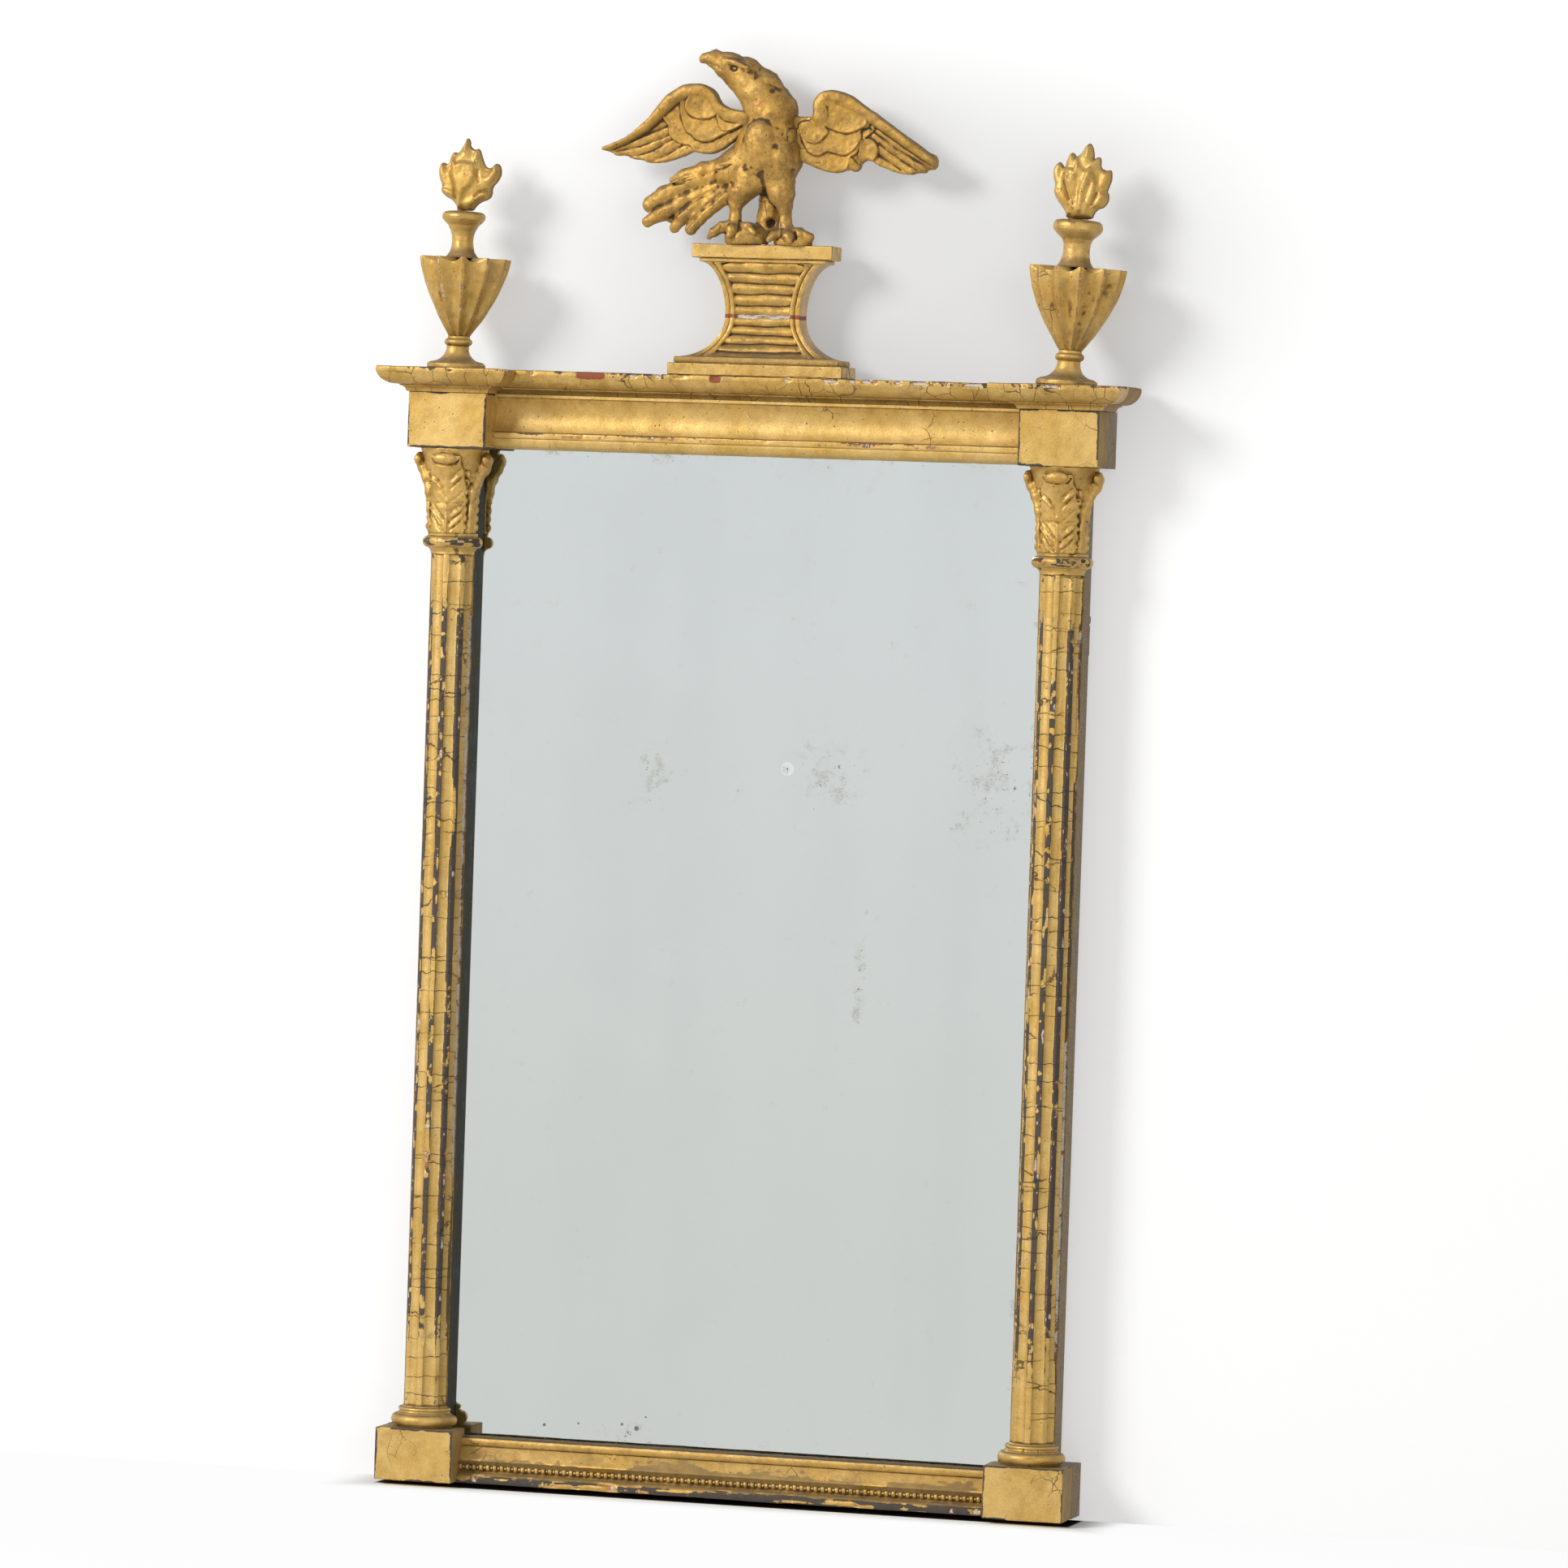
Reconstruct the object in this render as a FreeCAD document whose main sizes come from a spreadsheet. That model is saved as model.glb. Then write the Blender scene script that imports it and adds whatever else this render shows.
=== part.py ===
import FreeCAD, Part
import math
import os
import Sketcher

# Carved giltwood wall mirror. Millimetres. +Z is up, the front faces -Y, and the plane of the wall is Y = 0.
# The origin is on the wall plane, on the centre line, at the underside of the bottom rail.

Vector = FreeCAD.Vector

frameSizes = {
    "clearWidth": 432,
    "blockWidth": 64,
    "blockDepth": 32,
    "railDepth": 28,
    "bottomBlockHeight": 41.5,
    "topBlockHeight": 44,
    "columnHeight": 775.5,
    "stileWidth": 36,
    "stileDepth": 22,
    "stileProud": 4,
    "glassSetback": 12,
    "rebateWidth": 8,
    "rebateDepth": 5,
    "bottomLipHeight": 34,
    "topLipInset": 3,
    "tenonWidth": 22,
    "tenonThickness": 8,
    "tenonLength": 20,
    "tenonInset": 6,
    "fitGap": 0.1,
    "looseGap": 0.5,
    "overrun": 2,
}

columnSizes = {
    "shaftRadius": 17.25,
    "baseRadius": 27,
    "baseHeight": 17,
    "ringRadius": 24.5,
    "ringHeight": 16.5,
    "capitalReach": 32,
    "capitalHeight": 67,
}

mouldingSizes = {
    "friezeProud": 10,
    "friezeStep": 1,
    "railMouldingProud": 18,
    "railMouldingHeight": 36,
    "beadRadius": 2.3,
    "corniceHeight": 19,
    "corniceReach": 21,
}

plinthSizes = {
    "plinthBaseWidth": 142,
    "plinthBaseDepth": 42,
    "plinthBaseHeight": 9.5,
    "plinthFootWidth": 133,
    "plinthFootDepth": 38,
    "plinthFootHeight": 5,
    "plinthLowerHeight": 33,
    "plinthWaistWidth": 60,
    "plinthWaistDepth": 22,
    "plinthUpperHeight": 42,
    "plinthNeckWidth": 103,
    "plinthNeckDepth": 26,
    "plinthNeckHeight": 3,
    "plinthCapWidth": 114,
    "plinthCapDepth": 29,
    "plinthCapHeight": 11,
    "plinthBackInset": 2,
}

eagleSizes = {
    "eagleHeight": 148,
    "wingReach": 137,
    "wingThickness": 14,
    "tailThickness": 12,
    "eagleInset": 17,
}

urnSizes = {
    "urnInset": 40,
    "leftFootRadius": 23.2,
    "leftFootHeight": 25.5,
    "leftBowlRadius": 36.3,
    "leftBowlHeight": 62,
    "leftCoverRadius": 17.3,
    "leftCoverHeight": 37,
    "leftFlameRadius": 26.5,
    "leftFlameHeight": 58.5,
    "rightFootRadius": 24,
    "rightFootHeight": 27,
    "rightBowlRadius": 37.7,
    "rightBowlHeight": 64.5,
    "rightCoverRadius": 19.7,
    "rightCoverHeight": 37.2,
    "rightFlameRadius": 22.6,
    "rightFlameHeight": 59.8,
}

dowelSizes = {
    "dowelRadius": 3,
    "spigotDepth": 12,
    "eagleDowelRadius": 2.2,
    "eagleDowelDepth": 7,
    "eagleLegX": 19,
    "wingDowelLength": 26,
    "plinthDowelX": 25,
}

backSizes = {
    "glassThickness": 3.5,
    "glassGap": 1,
    "boardThickness": 7,
    "boardBearing": 9,
    "nailRadius": 0.9,
    "nailLength": 14,
    "nailHeadRadius": 2.4,
    "nailHeadHeight": 0.8,
    "nailInset": 4.5,
    "blockLength": 40,
    "blockThickness": 6,
}

hangerSizes = {
    "hangerDrop": 118,
    "hangerWidth": 16,
    "hangerEdge": 1,
    "plateThickness": 2,
    "plateHeight": 46,
    "knuckleRadius": 3,
    "knuckleLength": 4.5,
    "pinRadius": 1.4,
    "runningGap": 0.08,
    "eyeSideGap": 0.3,
    "eyeThickness": 2,
    "eyeLength": 34,
    "eyeNeck": 4.6,
    "eyeHoleRadius": 4.5,
    "screwRadius": 1.5,
    "screwLength": 12,
    "screwHeadRadius": 3.2,
    "screwHeadHeight": 1.2,
    "screwInset": 8,
}

doc = FreeCAD.newDocument("carved_mirror")
sheet = doc.addObject("Spreadsheet::Sheet", "Sizes")


class Size:
    # A number that remembers the sheet formula it came from, so that sums of sizes stay bound to the sheet.
    def __init__(self, number, formula):
        self.number = number
        self.formula = formula

    def __float__(self):
        return float(self.number)

    def __neg__(self):
        return Size(-self.number, f"(-1 * {self.formula})")

    def __add__(self, other):
        other = asSize(other)
        return Size(self.number + other.number, f"({self.formula} + {other.formula})")

    def __sub__(self, other):
        other = asSize(other)
        return Size(self.number - other.number, f"({self.formula} - {other.formula})")

    def __mul__(self, other):
        other = asSize(other)
        return Size(self.number * other.number, f"({self.formula} * {other.formula})")

    def __truediv__(self, other):
        other = asSize(other)
        return Size(self.number / other.number, f"({self.formula} / {other.formula})")

    def __radd__(self, other):
        return asSize(other) + self

    def __rsub__(self, other):
        return asSize(other) - self

    def __rmul__(self, other):
        return asSize(other) * self


def asSize(value):
    return value if isinstance(value, Size) else Size(value, f"({value:.9f})")


def root(size):
    return Size(math.sqrt(size.number), f"sqrt({size.formula})")


def fillSheet(groups):
    named = {}
    row = 0
    for sizes in groups:
        for alias, number in sizes.items():
            row += 1
            sheet.set(f"A{row}", alias)
            sheet.set(f"B{row}", str(number))
            sheet.setAlias(f"B{row}", alias)
            named[alias] = number
    doc.recompute()
    return {alias: Size(float(sheet.get(alias)), f"Sizes.{alias}") for alias in named}


dim = fillSheet([frameSizes, columnSizes, mouldingSizes, plinthSizes, eagleSizes,
                 urnSizes, dowelSizes, backSizes, hangerSizes])

# Places that several pieces share.
outerX = dim["clearWidth"] / 2 + dim["blockWidth"]
innerX = dim["clearWidth"] / 2
columnX = (dim["clearWidth"] + dim["blockWidth"]) / 2
railFrontY = -dim["railDepth"]
blockFrontY = -dim["railDepth"] - dim["blockDepth"]
stileFrontY = -dim["railDepth"] - dim["stileProud"]
stileBackY = stileFrontY + dim["stileDepth"]
glassFrontY = stileFrontY + dim["glassSetback"]
glassBackY = glassFrontY + dim["glassThickness"]
sightX = columnX - dim["stileWidth"] / 2
rebateX = sightX + dim["rebateWidth"]
columnZ = dim["bottomBlockHeight"]
topBlockZ = columnZ + dim["columnHeight"]
corniceZ = topBlockZ + dim["topBlockHeight"]
topZ = corniceZ + dim["corniceHeight"]
glassBottomZ = dim["bottomLipHeight"] - dim["rebateDepth"]
rebateTopZ = topBlockZ + dim["topLipInset"] + dim["rebateDepth"]
sides = {"left": -1, "right": 1}

subParts = []


def keep(item, label):
    item.Label = label
    subParts.append(item)
    return item


def bind(item, path, size):
    item.setExpression(path, asSize(size).formula)


def place(item, x, y, z):
    for axis, size in zip("xyz", (x, y, z)):
        bind(item, f"Placement.Base.{axis}", size)


def box(name, length, depth, height, x, y, z):
    item = doc.addObject("Part::Box", name)
    bind(item, "Length", length)
    bind(item, "Width", depth)
    bind(item, "Height", height)
    place(item, x, y, z)
    return item


turns = {
    "x": FreeCAD.Rotation(Vector(0, 1, 0), 90),
    "y": FreeCAD.Rotation(Vector(1, 0, 0), -90),
    "z": FreeCAD.Rotation(),
}


def rod(name, radius, length, x, y, z, axis):
    item = doc.addObject("Part::Cylinder", name)
    item.Placement = FreeCAD.Placement(Vector(), turns[axis])
    bind(item, "Radius", radius)
    bind(item, "Height", length)
    place(item, x, y, z)
    return item


def fuse(name, items):
    joined = doc.addObject("Part::MultiFuse", name)
    joined.Shapes = items
    return joined


def cut(name, base, tools):
    result = doc.addObject("Part::Cut", name)
    result.Base = base
    result.Tool = tools[0] if len(tools) == 1 else fuse(name + "_tools", tools)
    return result


def group(name, items):
    gathered = doc.addObject("Part::Compound", name)
    gathered.Links = items
    return gathered


def feature(name, shape):
    item = doc.addObject("Part::Feature", name)
    item.Shape = shape
    item.Placement = FreeCAD.Placement()
    return item


def arcMiddle(start, end, bulge):
    # The middle of an arc whose rise is bulge times half its chord, to the right of the way it runs.
    across = end - start
    middle = (start + end) * 0.5
    return middle + Vector(across.y, -across.x, 0) * (bulge / 2)


def sketchOutline(body, name, role, corners):
    # Each corner is (u, v) or (u, v, bulge): the bulge bends the edge from that corner to the next.
    plane = next(item for item in body.Origin.OriginFeatures if item.Role == role)
    sketch = body.newObject("Sketcher::SketchObject", name)
    sketch.AttachmentSupport = [(plane, "")]
    sketch.MapMode = "FlatFace"
    count = len(corners)
    ends = []
    for index, corner in enumerate(corners):
        following = corners[(index + 1) % count]
        start = Vector(float(corner[0]), float(corner[1]), 0)
        end = Vector(float(following[0]), float(following[1]), 0)
        bulge = corner[2] if len(corner) > 2 else 0
        if not bulge:
            sketch.addGeometry(Part.LineSegment(start, end), False)
            ends.append((1, 2))
            continue
        middle = arcMiddle(start, end, bulge)
        first, last = (start, end) if bulge > 0 else (end, start)
        bent = Part.Arc(first, middle, last).toShape().Curve
        centre = bent.Center
        startAngle = math.atan2(first.y - centre.y, first.x - centre.x)
        endAngle = math.atan2(last.y - centre.y, last.x - centre.x)
        if endAngle < startAngle:
            endAngle += 2 * math.pi
        flat = Part.Circle(centre, Vector(0, 0, 1), bent.Radius)
        sketch.addGeometry(Part.ArcOfCircle(flat, startAngle, endAngle), False)
        ends.append((1, 2) if bulge > 0 else (2, 1))
    for index in range(count):
        after = (index + 1) % count
        sketch.addConstraint(Sketcher.Constraint("Coincident", index, ends[index][1], after, ends[after][0]))
    for index, corner in enumerate(corners):
        for kind, size in zip(("DistanceX", "DistanceY"), corner[:2]):
            rule = Sketcher.Constraint(kind, -1, 1, index, ends[index][0], float(size))
            number = sketch.addConstraint(rule)
            if isinstance(size, Size):
                bind(sketch, f"Constraints[{number}]", size)
        bulge = corner[2] if len(corner) > 2 else 0
        if bulge:
            following = corners[(index + 1) % count]
            acrossU = asSize(following[0]) - corner[0]
            acrossV = asSize(following[1]) - corner[1]
            radiusShare = (1 + bulge * bulge) / (4 * abs(bulge))
            radius = root(acrossU * acrossU + acrossV * acrossV) * radiusShare
            number = sketch.addConstraint(Sketcher.Constraint("Radius", index, float(radius)))
            bind(sketch, f"Constraints[{number}]", radius)
    return sketch


def padBody(name, role, corners, length, x, y, z):
    body = doc.addObject("PartDesign::Body", name)
    sketch = sketchOutline(body, name + "_outline", role, corners)
    pad = body.newObject("PartDesign::Pad", name + "_pad")
    pad.Profile = sketch
    bind(pad, "Length", length)
    place(body, x, y, z)
    return body


def turnedBody(name, corners, angle, x, y, z):
    # Turned about its own Z axis; half a turn makes the front half, with its flat back on the axis.
    body = doc.addObject("PartDesign::Body", name)
    sketch = sketchOutline(body, name + "_outline", "XZ_Plane", corners)
    turned = body.newObject("PartDesign::Revolution", name + "_turned")
    turned.Profile = sketch
    turned.ReferenceAxis = (sketch, ["V_Axis"])
    turned.Angle = angle
    turned.Reversed = True
    place(body, x, y, z)
    return body


def scaled(shares, width, height):
    return [(width * row[0], height * row[1], *row[2:]) for row in shares]


# Back frame: two rails with the stiles tenoned between them, all rebated for the glass.
tenonX = columnX + dim["rebateWidth"] / 2
tenonFrontY = stileFrontY + dim["tenonInset"]
boardX = rebateX + dim["boardBearing"]
boardBackY = stileBackY + dim["boardThickness"]
boardCount = 3
boardHeight = (dim["columnHeight"] - dim["looseGap"] * (boardCount + 1)) / boardCount
nailX = boardX - dim["nailInset"]
nailShares = (0.2, 0.8)


def boardZ(index):
    return columnZ + dim["looseGap"] + (boardHeight + dim["looseGap"]) * index


hangerX = columnX + dim["stileWidth"] / 2 - dim["hangerWidth"] / 2 - dim["hangerEdge"]
hangerZ = topBlockZ - dim["hangerDrop"]
hingeY = stileBackY + dim["plateThickness"] + dim["knuckleRadius"]
screwHeights = (hangerZ + dim["knuckleRadius"] + dim["screwInset"],
                hangerZ + dim["plateHeight"] - dim["screwInset"])


def railCuts(name, lipZ, lipHeight, rebateZ, rebateHeight, mortiseZ):
    lip = box(name + "_lip", sightX * 2, dim["railDepth"] + glassFrontY + dim["overrun"], lipHeight,
              -sightX, railFrontY - dim["overrun"], lipZ)
    rebate = box(name + "_rebate", rebateX * 2, dim["overrun"] - glassFrontY, rebateHeight,
                 -rebateX, glassFrontY, rebateZ)
    mortises = [box(f"{name}_mortise_{side}", dim["tenonWidth"], dim["tenonThickness"],
                    dim["tenonLength"] + dim["looseGap"] + dim["overrun"],
                    tenonX * sign - dim["tenonWidth"] / 2, tenonFrontY, mortiseZ)
                for side, sign in sides.items()]
    return [lip, rebate] + mortises


def makeRails():
    bottom = box("bottom_rail_board", outerX * 2, dim["railDepth"], dim["bottomBlockHeight"],
                 -outerX, railFrontY, 0)
    bottomCuts = railCuts("bottom_rail", dim["bottomLipHeight"],
                          columnZ - dim["bottomLipHeight"] + dim["overrun"],
                          glassBottomZ, columnZ - glassBottomZ + dim["overrun"],
                          columnZ - dim["tenonLength"] - dim["looseGap"])
    keep(cut("rear_bottom_rail", bottom, bottomCuts), "rear_bottom_rail")
    top = box("top_rail_board", outerX * 2, dim["railDepth"], dim["topBlockHeight"],
              -outerX, railFrontY, topBlockZ)
    topCuts = railCuts("top_rail", topBlockZ - dim["overrun"], dim["topLipInset"] + dim["overrun"],
                       topBlockZ - dim["overrun"], rebateTopZ - topBlockZ + dim["overrun"],
                       topBlockZ - dim["overrun"])
    keep(cut("rear_top_rail", top, topCuts), "rear_top_rail")


def makeStiles():
    for side, sign in sides.items():
        name = f"stile_{side}"
        post = box(name + "_post", dim["stileWidth"], dim["stileDepth"], dim["columnHeight"],
                   columnX * sign - dim["stileWidth"] / 2, stileFrontY, columnZ)
        tenon = box(name + "_tenon", dim["tenonWidth"], dim["tenonThickness"],
                    dim["columnHeight"] + dim["tenonLength"] * 2,
                    tenonX * sign - dim["tenonWidth"] / 2, tenonFrontY, columnZ - dim["tenonLength"])
        rebateStart = sightX - dim["overrun"] if sign > 0 else -rebateX
        rebate = box(name + "_rebate", dim["rebateWidth"] + dim["overrun"], dim["stileDepth"],
                     dim["columnHeight"] + dim["overrun"] * 2,
                     rebateStart, glassFrontY, columnZ - dim["overrun"])
        holes = [rod(f"{name}_nail_hole_{index}_{step}", dim["nailRadius"] + dim["fitGap"],
                     dim["nailLength"] + dim["looseGap"], nailX * sign,
                     boardBackY - dim["nailLength"] - dim["looseGap"],
                     boardZ(index) + boardHeight * share, "y")
                 for index in range(boardCount) for step, share in enumerate(nailShares)]
        holes += [rod(f"{name}_screw_hole_{step}", dim["screwRadius"] + dim["fitGap"],
                      dim["screwLength"] + dim["looseGap"], hangerX * sign,
                      stileBackY + dim["plateThickness"] - dim["screwLength"] - dim["looseGap"],
                      height, "y")
                  for step, height in enumerate(screwHeights)]
        keep(cut(name, fuse(name + "_wood", [post, tenon]), [rebate] + holes), name)


# Corner blocks, applied to the front of the rails.
def makeBlocks():
    for side, sign in sides.items():
        left = columnX * sign - dim["blockWidth"] / 2
        keep(box(f"bottom_block_{side}", dim["blockWidth"], dim["blockDepth"], dim["bottomBlockHeight"],
                 left, blockFrontY, 0), f"bottom_block_{side}")
        keep(box(f"top_block_{side}", dim["blockWidth"], dim["blockDepth"], dim["topBlockHeight"],
                 left, blockFrontY, topBlockZ), f"top_block_{side}")


# Half columns: base, fluted shaft, ring and leaf capital, flat at the back. A fillet runs down the front of the shaft.
shaftFluteCount = 4
fluteMarginTurn = 4
fluteFilletShare = 0.52
fluteBulge = 0.5
baseShares = ((0, 0), (0.84, 0, 0.85), (0.82, 0.62), (0.76, 0.62), (0.76, 0.74, -0.4), (0.66, 1), (0, 1))
ringShares = ((0, 0), (0.73, 0, -0.35), (0.82, 0.26), (0.84, 0.28, 0.7), (0.84, 0.97), (0.8, 1), (0, 1))
capitalShares = ((0, 0.64, 0.64), (0.2, 0.61, 0.61), (0.5, 0.68, 0.66), (0.8, 0.86, 0.78), (0.92, 0.98, 0.84),
                 (1, 0.98, 0.84))


def shaftOutline():
    radius = dim["shaftRadius"]

    def onShaft(degrees):
        angle = math.radians(degrees)
        return radius * math.sin(angle), radius * -math.cos(angle)

    def bend(fromTurn, toTurn):
        return math.tan(math.radians(toTurn - fromTurn) / 4)

    fluteTurn = (180 - 2 * fluteMarginTurn) / (shaftFluteCount + (shaftFluteCount - 1) * fluteFilletShare)
    pitch = fluteTurn * (1 + fluteFilletShare)
    starts = [fluteMarginTurn - 90 + pitch * step for step in range(shaftFluteCount)]
    edges = [turn for start in starts for turn in (start, start + fluteTurn)]
    corners = [(-radius, 0, bend(-90, edges[0]))]
    for step, turn in enumerate(edges):
        inFlute = step % 2 == 0
        following = edges[step + 1] if step + 1 < len(edges) else 90
        corners.append((*onShaft(turn), -fluteBulge if inFlute else bend(turn, following)))
    corners.append((radius, 0))
    return corners


def halfOval(width, depth, height):
    # A closed half ellipse at the given height, with its flat side along X.
    oval = Part.Ellipse(Vector(0, 0, height), width, depth)
    front = oval.toShape(math.pi, 2 * math.pi)
    back = Part.LineSegment(Vector(width, 0, height), Vector(-width, 0, height)).toShape()
    return Part.Wire([front, back])


def capitalShape():
    reach = float(dim["capitalReach"])
    height = float(dim["capitalHeight"])
    rings = [halfOval(reach * wide, reach * deep, height * level) for level, wide, deep in capitalShares]
    return Part.makeLoft(rings, True, False)


def makeColumns():
    shaftHeight = dim["columnHeight"] - dim["baseHeight"] - dim["ringHeight"] - dim["capitalHeight"]
    shaftZ = columnZ + dim["baseHeight"]
    ringZ = shaftZ + shaftHeight
    capitalZ = ringZ + dim["ringHeight"]
    for side, sign in sides.items():
        x = columnX * sign
        base = turnedBody(f"column_base_{side}", scaled(baseShares, dim["baseRadius"], dim["baseHeight"]),
                          180, x, stileFrontY, columnZ)
        keep(base, f"column_base_{side}")
        shaft = padBody(f"column_shaft_{side}", "XY_Plane", shaftOutline(), shaftHeight,
                        x, stileFrontY, shaftZ)
        keep(shaft, f"column_shaft_{side}")
        ring = turnedBody(f"column_ring_{side}", scaled(ringShares, dim["ringRadius"], dim["ringHeight"]),
                          180, x, stileFrontY, ringZ)
        keep(ring, f"column_ring_{side}")
        capital = feature(f"capital_{side}", capitalShape())
        place(capital, x, stileFrontY, capitalZ)
        keep(capital, f"capital_{side}")


# Mouldings between the blocks.
friezeShares = ((0, 0), (0, 1), (-0.9, 1), (-0.9, 0.95), (-0.78, 0.95, -0.32), (-0.78, 0.3), (-1, 0.3), (-1, 0.2),
                (-0.92, 0.2, 0.4), (-0.35, 0))
railShares = ((0, 0), (0, 1), (-0.12, 1, 0.75), (-0.3, 0.78, -0.12), (-0.72, 0.5), (-0.72, 0.48, -0.67),
              (-0.72, 0.2), (-0.8, 0.18, 0.4), (-0.97, 0))
beadDepthShare = 0.675
beadHeightShare = 0.34


def makeMouldings():
    friezeHeight = dim["topBlockHeight"] - dim["friezeStep"]
    frieze = padBody("frieze_moulding", "YZ_Plane", scaled(friezeShares, dim["friezeProud"], friezeHeight),
                     dim["clearWidth"], -innerX, railFrontY, topBlockZ + dim["friezeStep"])
    keep(frieze, "frieze_moulding")
    outline = scaled(railShares, dim["railMouldingProud"], dim["railMouldingHeight"])
    keep(padBody("bottom_rail_moulding", "YZ_Plane", outline, dim["clearWidth"], -innerX, railFrontY, 0),
         "bottom_rail_moulding")
    keep(rod("bead_strip", dim["beadRadius"], dim["clearWidth"], -innerX,
             railFrontY - dim["railMouldingProud"] * beadDepthShare,
             dim["railMouldingHeight"] * beadHeightShare, "x"), "bead_strip")


# Cornice: a board that steps forward over the blocks, edged with mitred lengths of one moulding.
corniceShares = ((0, 0), (0.07, 0, -0.35), (0.27, 0.27, 0.38), (0.95, 0.74), (1, 0.8), (1, 1), (0, 1))
urnY = -dim["urnInset"]
plinthBackY = stileBackY - dim["plinthBackInset"]
plinthDowelY = plinthBackY - dim["plinthWaistDepth"] / 2


def corniceLength(name, ends, along):
    # The moulding runs along its foot line between two ends in plan; the prism above its plan cuts the mitres.
    reach = float(dim["corniceReach"])
    height = float(dim["corniceHeight"])
    low = float(corniceZ)
    footStart, footEnd, tipEnd, tipStart = [Vector(float(x), float(y), low) for x, y in ends]
    run = (footEnd - footStart).normalize()
    out = Vector(0, 0, 1).cross(run) * along
    begin = min(run.dot(corner - footStart) for corner in (footStart, tipStart))
    finish = max(run.dot(corner - footStart) for corner in (footEnd, tipEnd))
    origin = footStart + run * begin

    def inProfile(share):
        return origin + out * (reach * share[0]) + Vector(0, 0, height * share[1])

    edges = []
    for step, share in enumerate(corniceShares):
        following = corniceShares[(step + 1) % len(corniceShares)]
        start, end = inProfile(share), inProfile(following)
        if len(share) == 2:
            edges.append(Part.LineSegment(start, end).toShape())
            continue
        flatStart = Vector(reach * share[0], height * share[1], 0)
        flatEnd = Vector(reach * following[0], height * following[1], 0)
        flatMiddle = arcMiddle(flatStart, flatEnd, share[2])
        middle = origin + out * flatMiddle.x + Vector(0, 0, flatMiddle.y)
        edges.append(Part.Arc(start, middle, end).toShape())
    moulding = Part.Face(Part.Wire(edges)).extrude(run * (finish - begin))
    plan = Part.makePolygon([footStart, footEnd, tipEnd, tipStart, footStart])
    prism = Part.Face(plan).extrude(Vector(0, 0, height))
    return feature(name, moulding.common(prism).Solids[0])


def makeCornice():
    reach = dim["corniceReach"]
    outline = [(-outerX, stileBackY), (-outerX, blockFrontY), (-innerX, blockFrontY), (-innerX, stileFrontY),
               (innerX, stileFrontY), (innerX, blockFrontY), (outerX, blockFrontY), (outerX, stileBackY)]
    board = padBody("cornice_board_blank", "XY_Plane", outline, dim["corniceHeight"], 0, 0, corniceZ)
    holeRadius = dim["dowelRadius"] + dim["fitGap"]
    holeLength = dim["spigotDepth"] + dim["looseGap"] + dim["overrun"]
    holeZ = topZ - dim["spigotDepth"] - dim["looseGap"]
    holes = [rod(f"cornice_board_urn_hole_{side}", holeRadius, holeLength, columnX * sign, urnY, holeZ, "z")
             for side, sign in sides.items()]
    holes += [rod(f"cornice_board_plinth_hole_{side}", holeRadius, holeLength, dim["plinthDowelX"] * sign,
                  plinthDowelY, holeZ, "z") for side, sign in sides.items()]
    keep(cut("cornice_board", board, holes), "cornice_board")
    centre = ((-innerX, stileFrontY), (innerX, stileFrontY),
              (innerX - reach, stileFrontY - reach), (reach - innerX, stileFrontY - reach))
    keep(corniceLength("cornice_centre", centre, -1), "cornice_centre")
    for side, sign in sides.items():
        outer = outerX * sign
        inner = innerX * sign
        outerTip = (outerX + reach) * sign
        innerTip = (innerX - reach) * sign
        frontTip = blockFrontY - reach
        front = ((inner, blockFrontY), (outer, blockFrontY), (outerTip, frontTip), (innerTip, frontTip))
        keep(corniceLength(f"cornice_front_{side}", front, -sign), f"cornice_front_{side}")
        outerReturn = ((outer, blockFrontY), (outer, stileBackY), (outerTip, stileBackY), (outerTip, frontTip))
        keep(corniceLength(f"cornice_outer_return_{side}", outerReturn, -sign), f"cornice_outer_return_{side}")
        innerReturn = ((inner, stileFrontY), (inner, blockFrontY), (innerTip, frontTip),
                       (innerTip, stileFrontY - reach))
        keep(corniceLength(f"cornice_inner_return_{side}", innerReturn, -sign), f"cornice_inner_return_{side}")


# Plinth under the eagle: base slab, two hollowed halves that meet at the waist, and a cap.
hollowBulge = 0.3
plinthBodyZ = topZ + dim["plinthBaseHeight"] + dim["plinthFootHeight"]
waistZ = plinthBodyZ + dim["plinthLowerHeight"]
plinthNeckZ = waistZ + dim["plinthUpperHeight"]
plinthCapZ = plinthNeckZ + dim["plinthNeckHeight"]
eagleZ = plinthCapZ + dim["plinthCapHeight"]
footTopWidthShare = 0.9
footTopDepthShare = 0.92
neckFootShare = 0.95


def hollowedBlock(name, lowWidth, highWidth, lowDepth, highDepth, height, z):
    # The front outline and the side outline each padded through, and what they have in common kept.
    bend = hollowBulge
    front = [(lowWidth / -2, 0), (lowWidth / 2, 0, -bend), (highWidth / 2, height),
             (highWidth / -2, height, -bend)]
    side = [(0, 0), (0, height), (-highDepth, height, -bend), (-lowDepth, 0)]
    frontDepth = lowDepth + highDepth
    sideWidth = lowWidth + highWidth
    wide = padBody(name + "_front", "XZ_Plane", front, frontDepth, 0, plinthBackY, z)
    deep = padBody(name + "_side", "YZ_Plane", side, sideWidth, sideWidth / -2, plinthBackY, z)
    common = doc.addObject("Part::MultiCommon", name)
    common.Shapes = [wide, deep]
    return common


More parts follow.
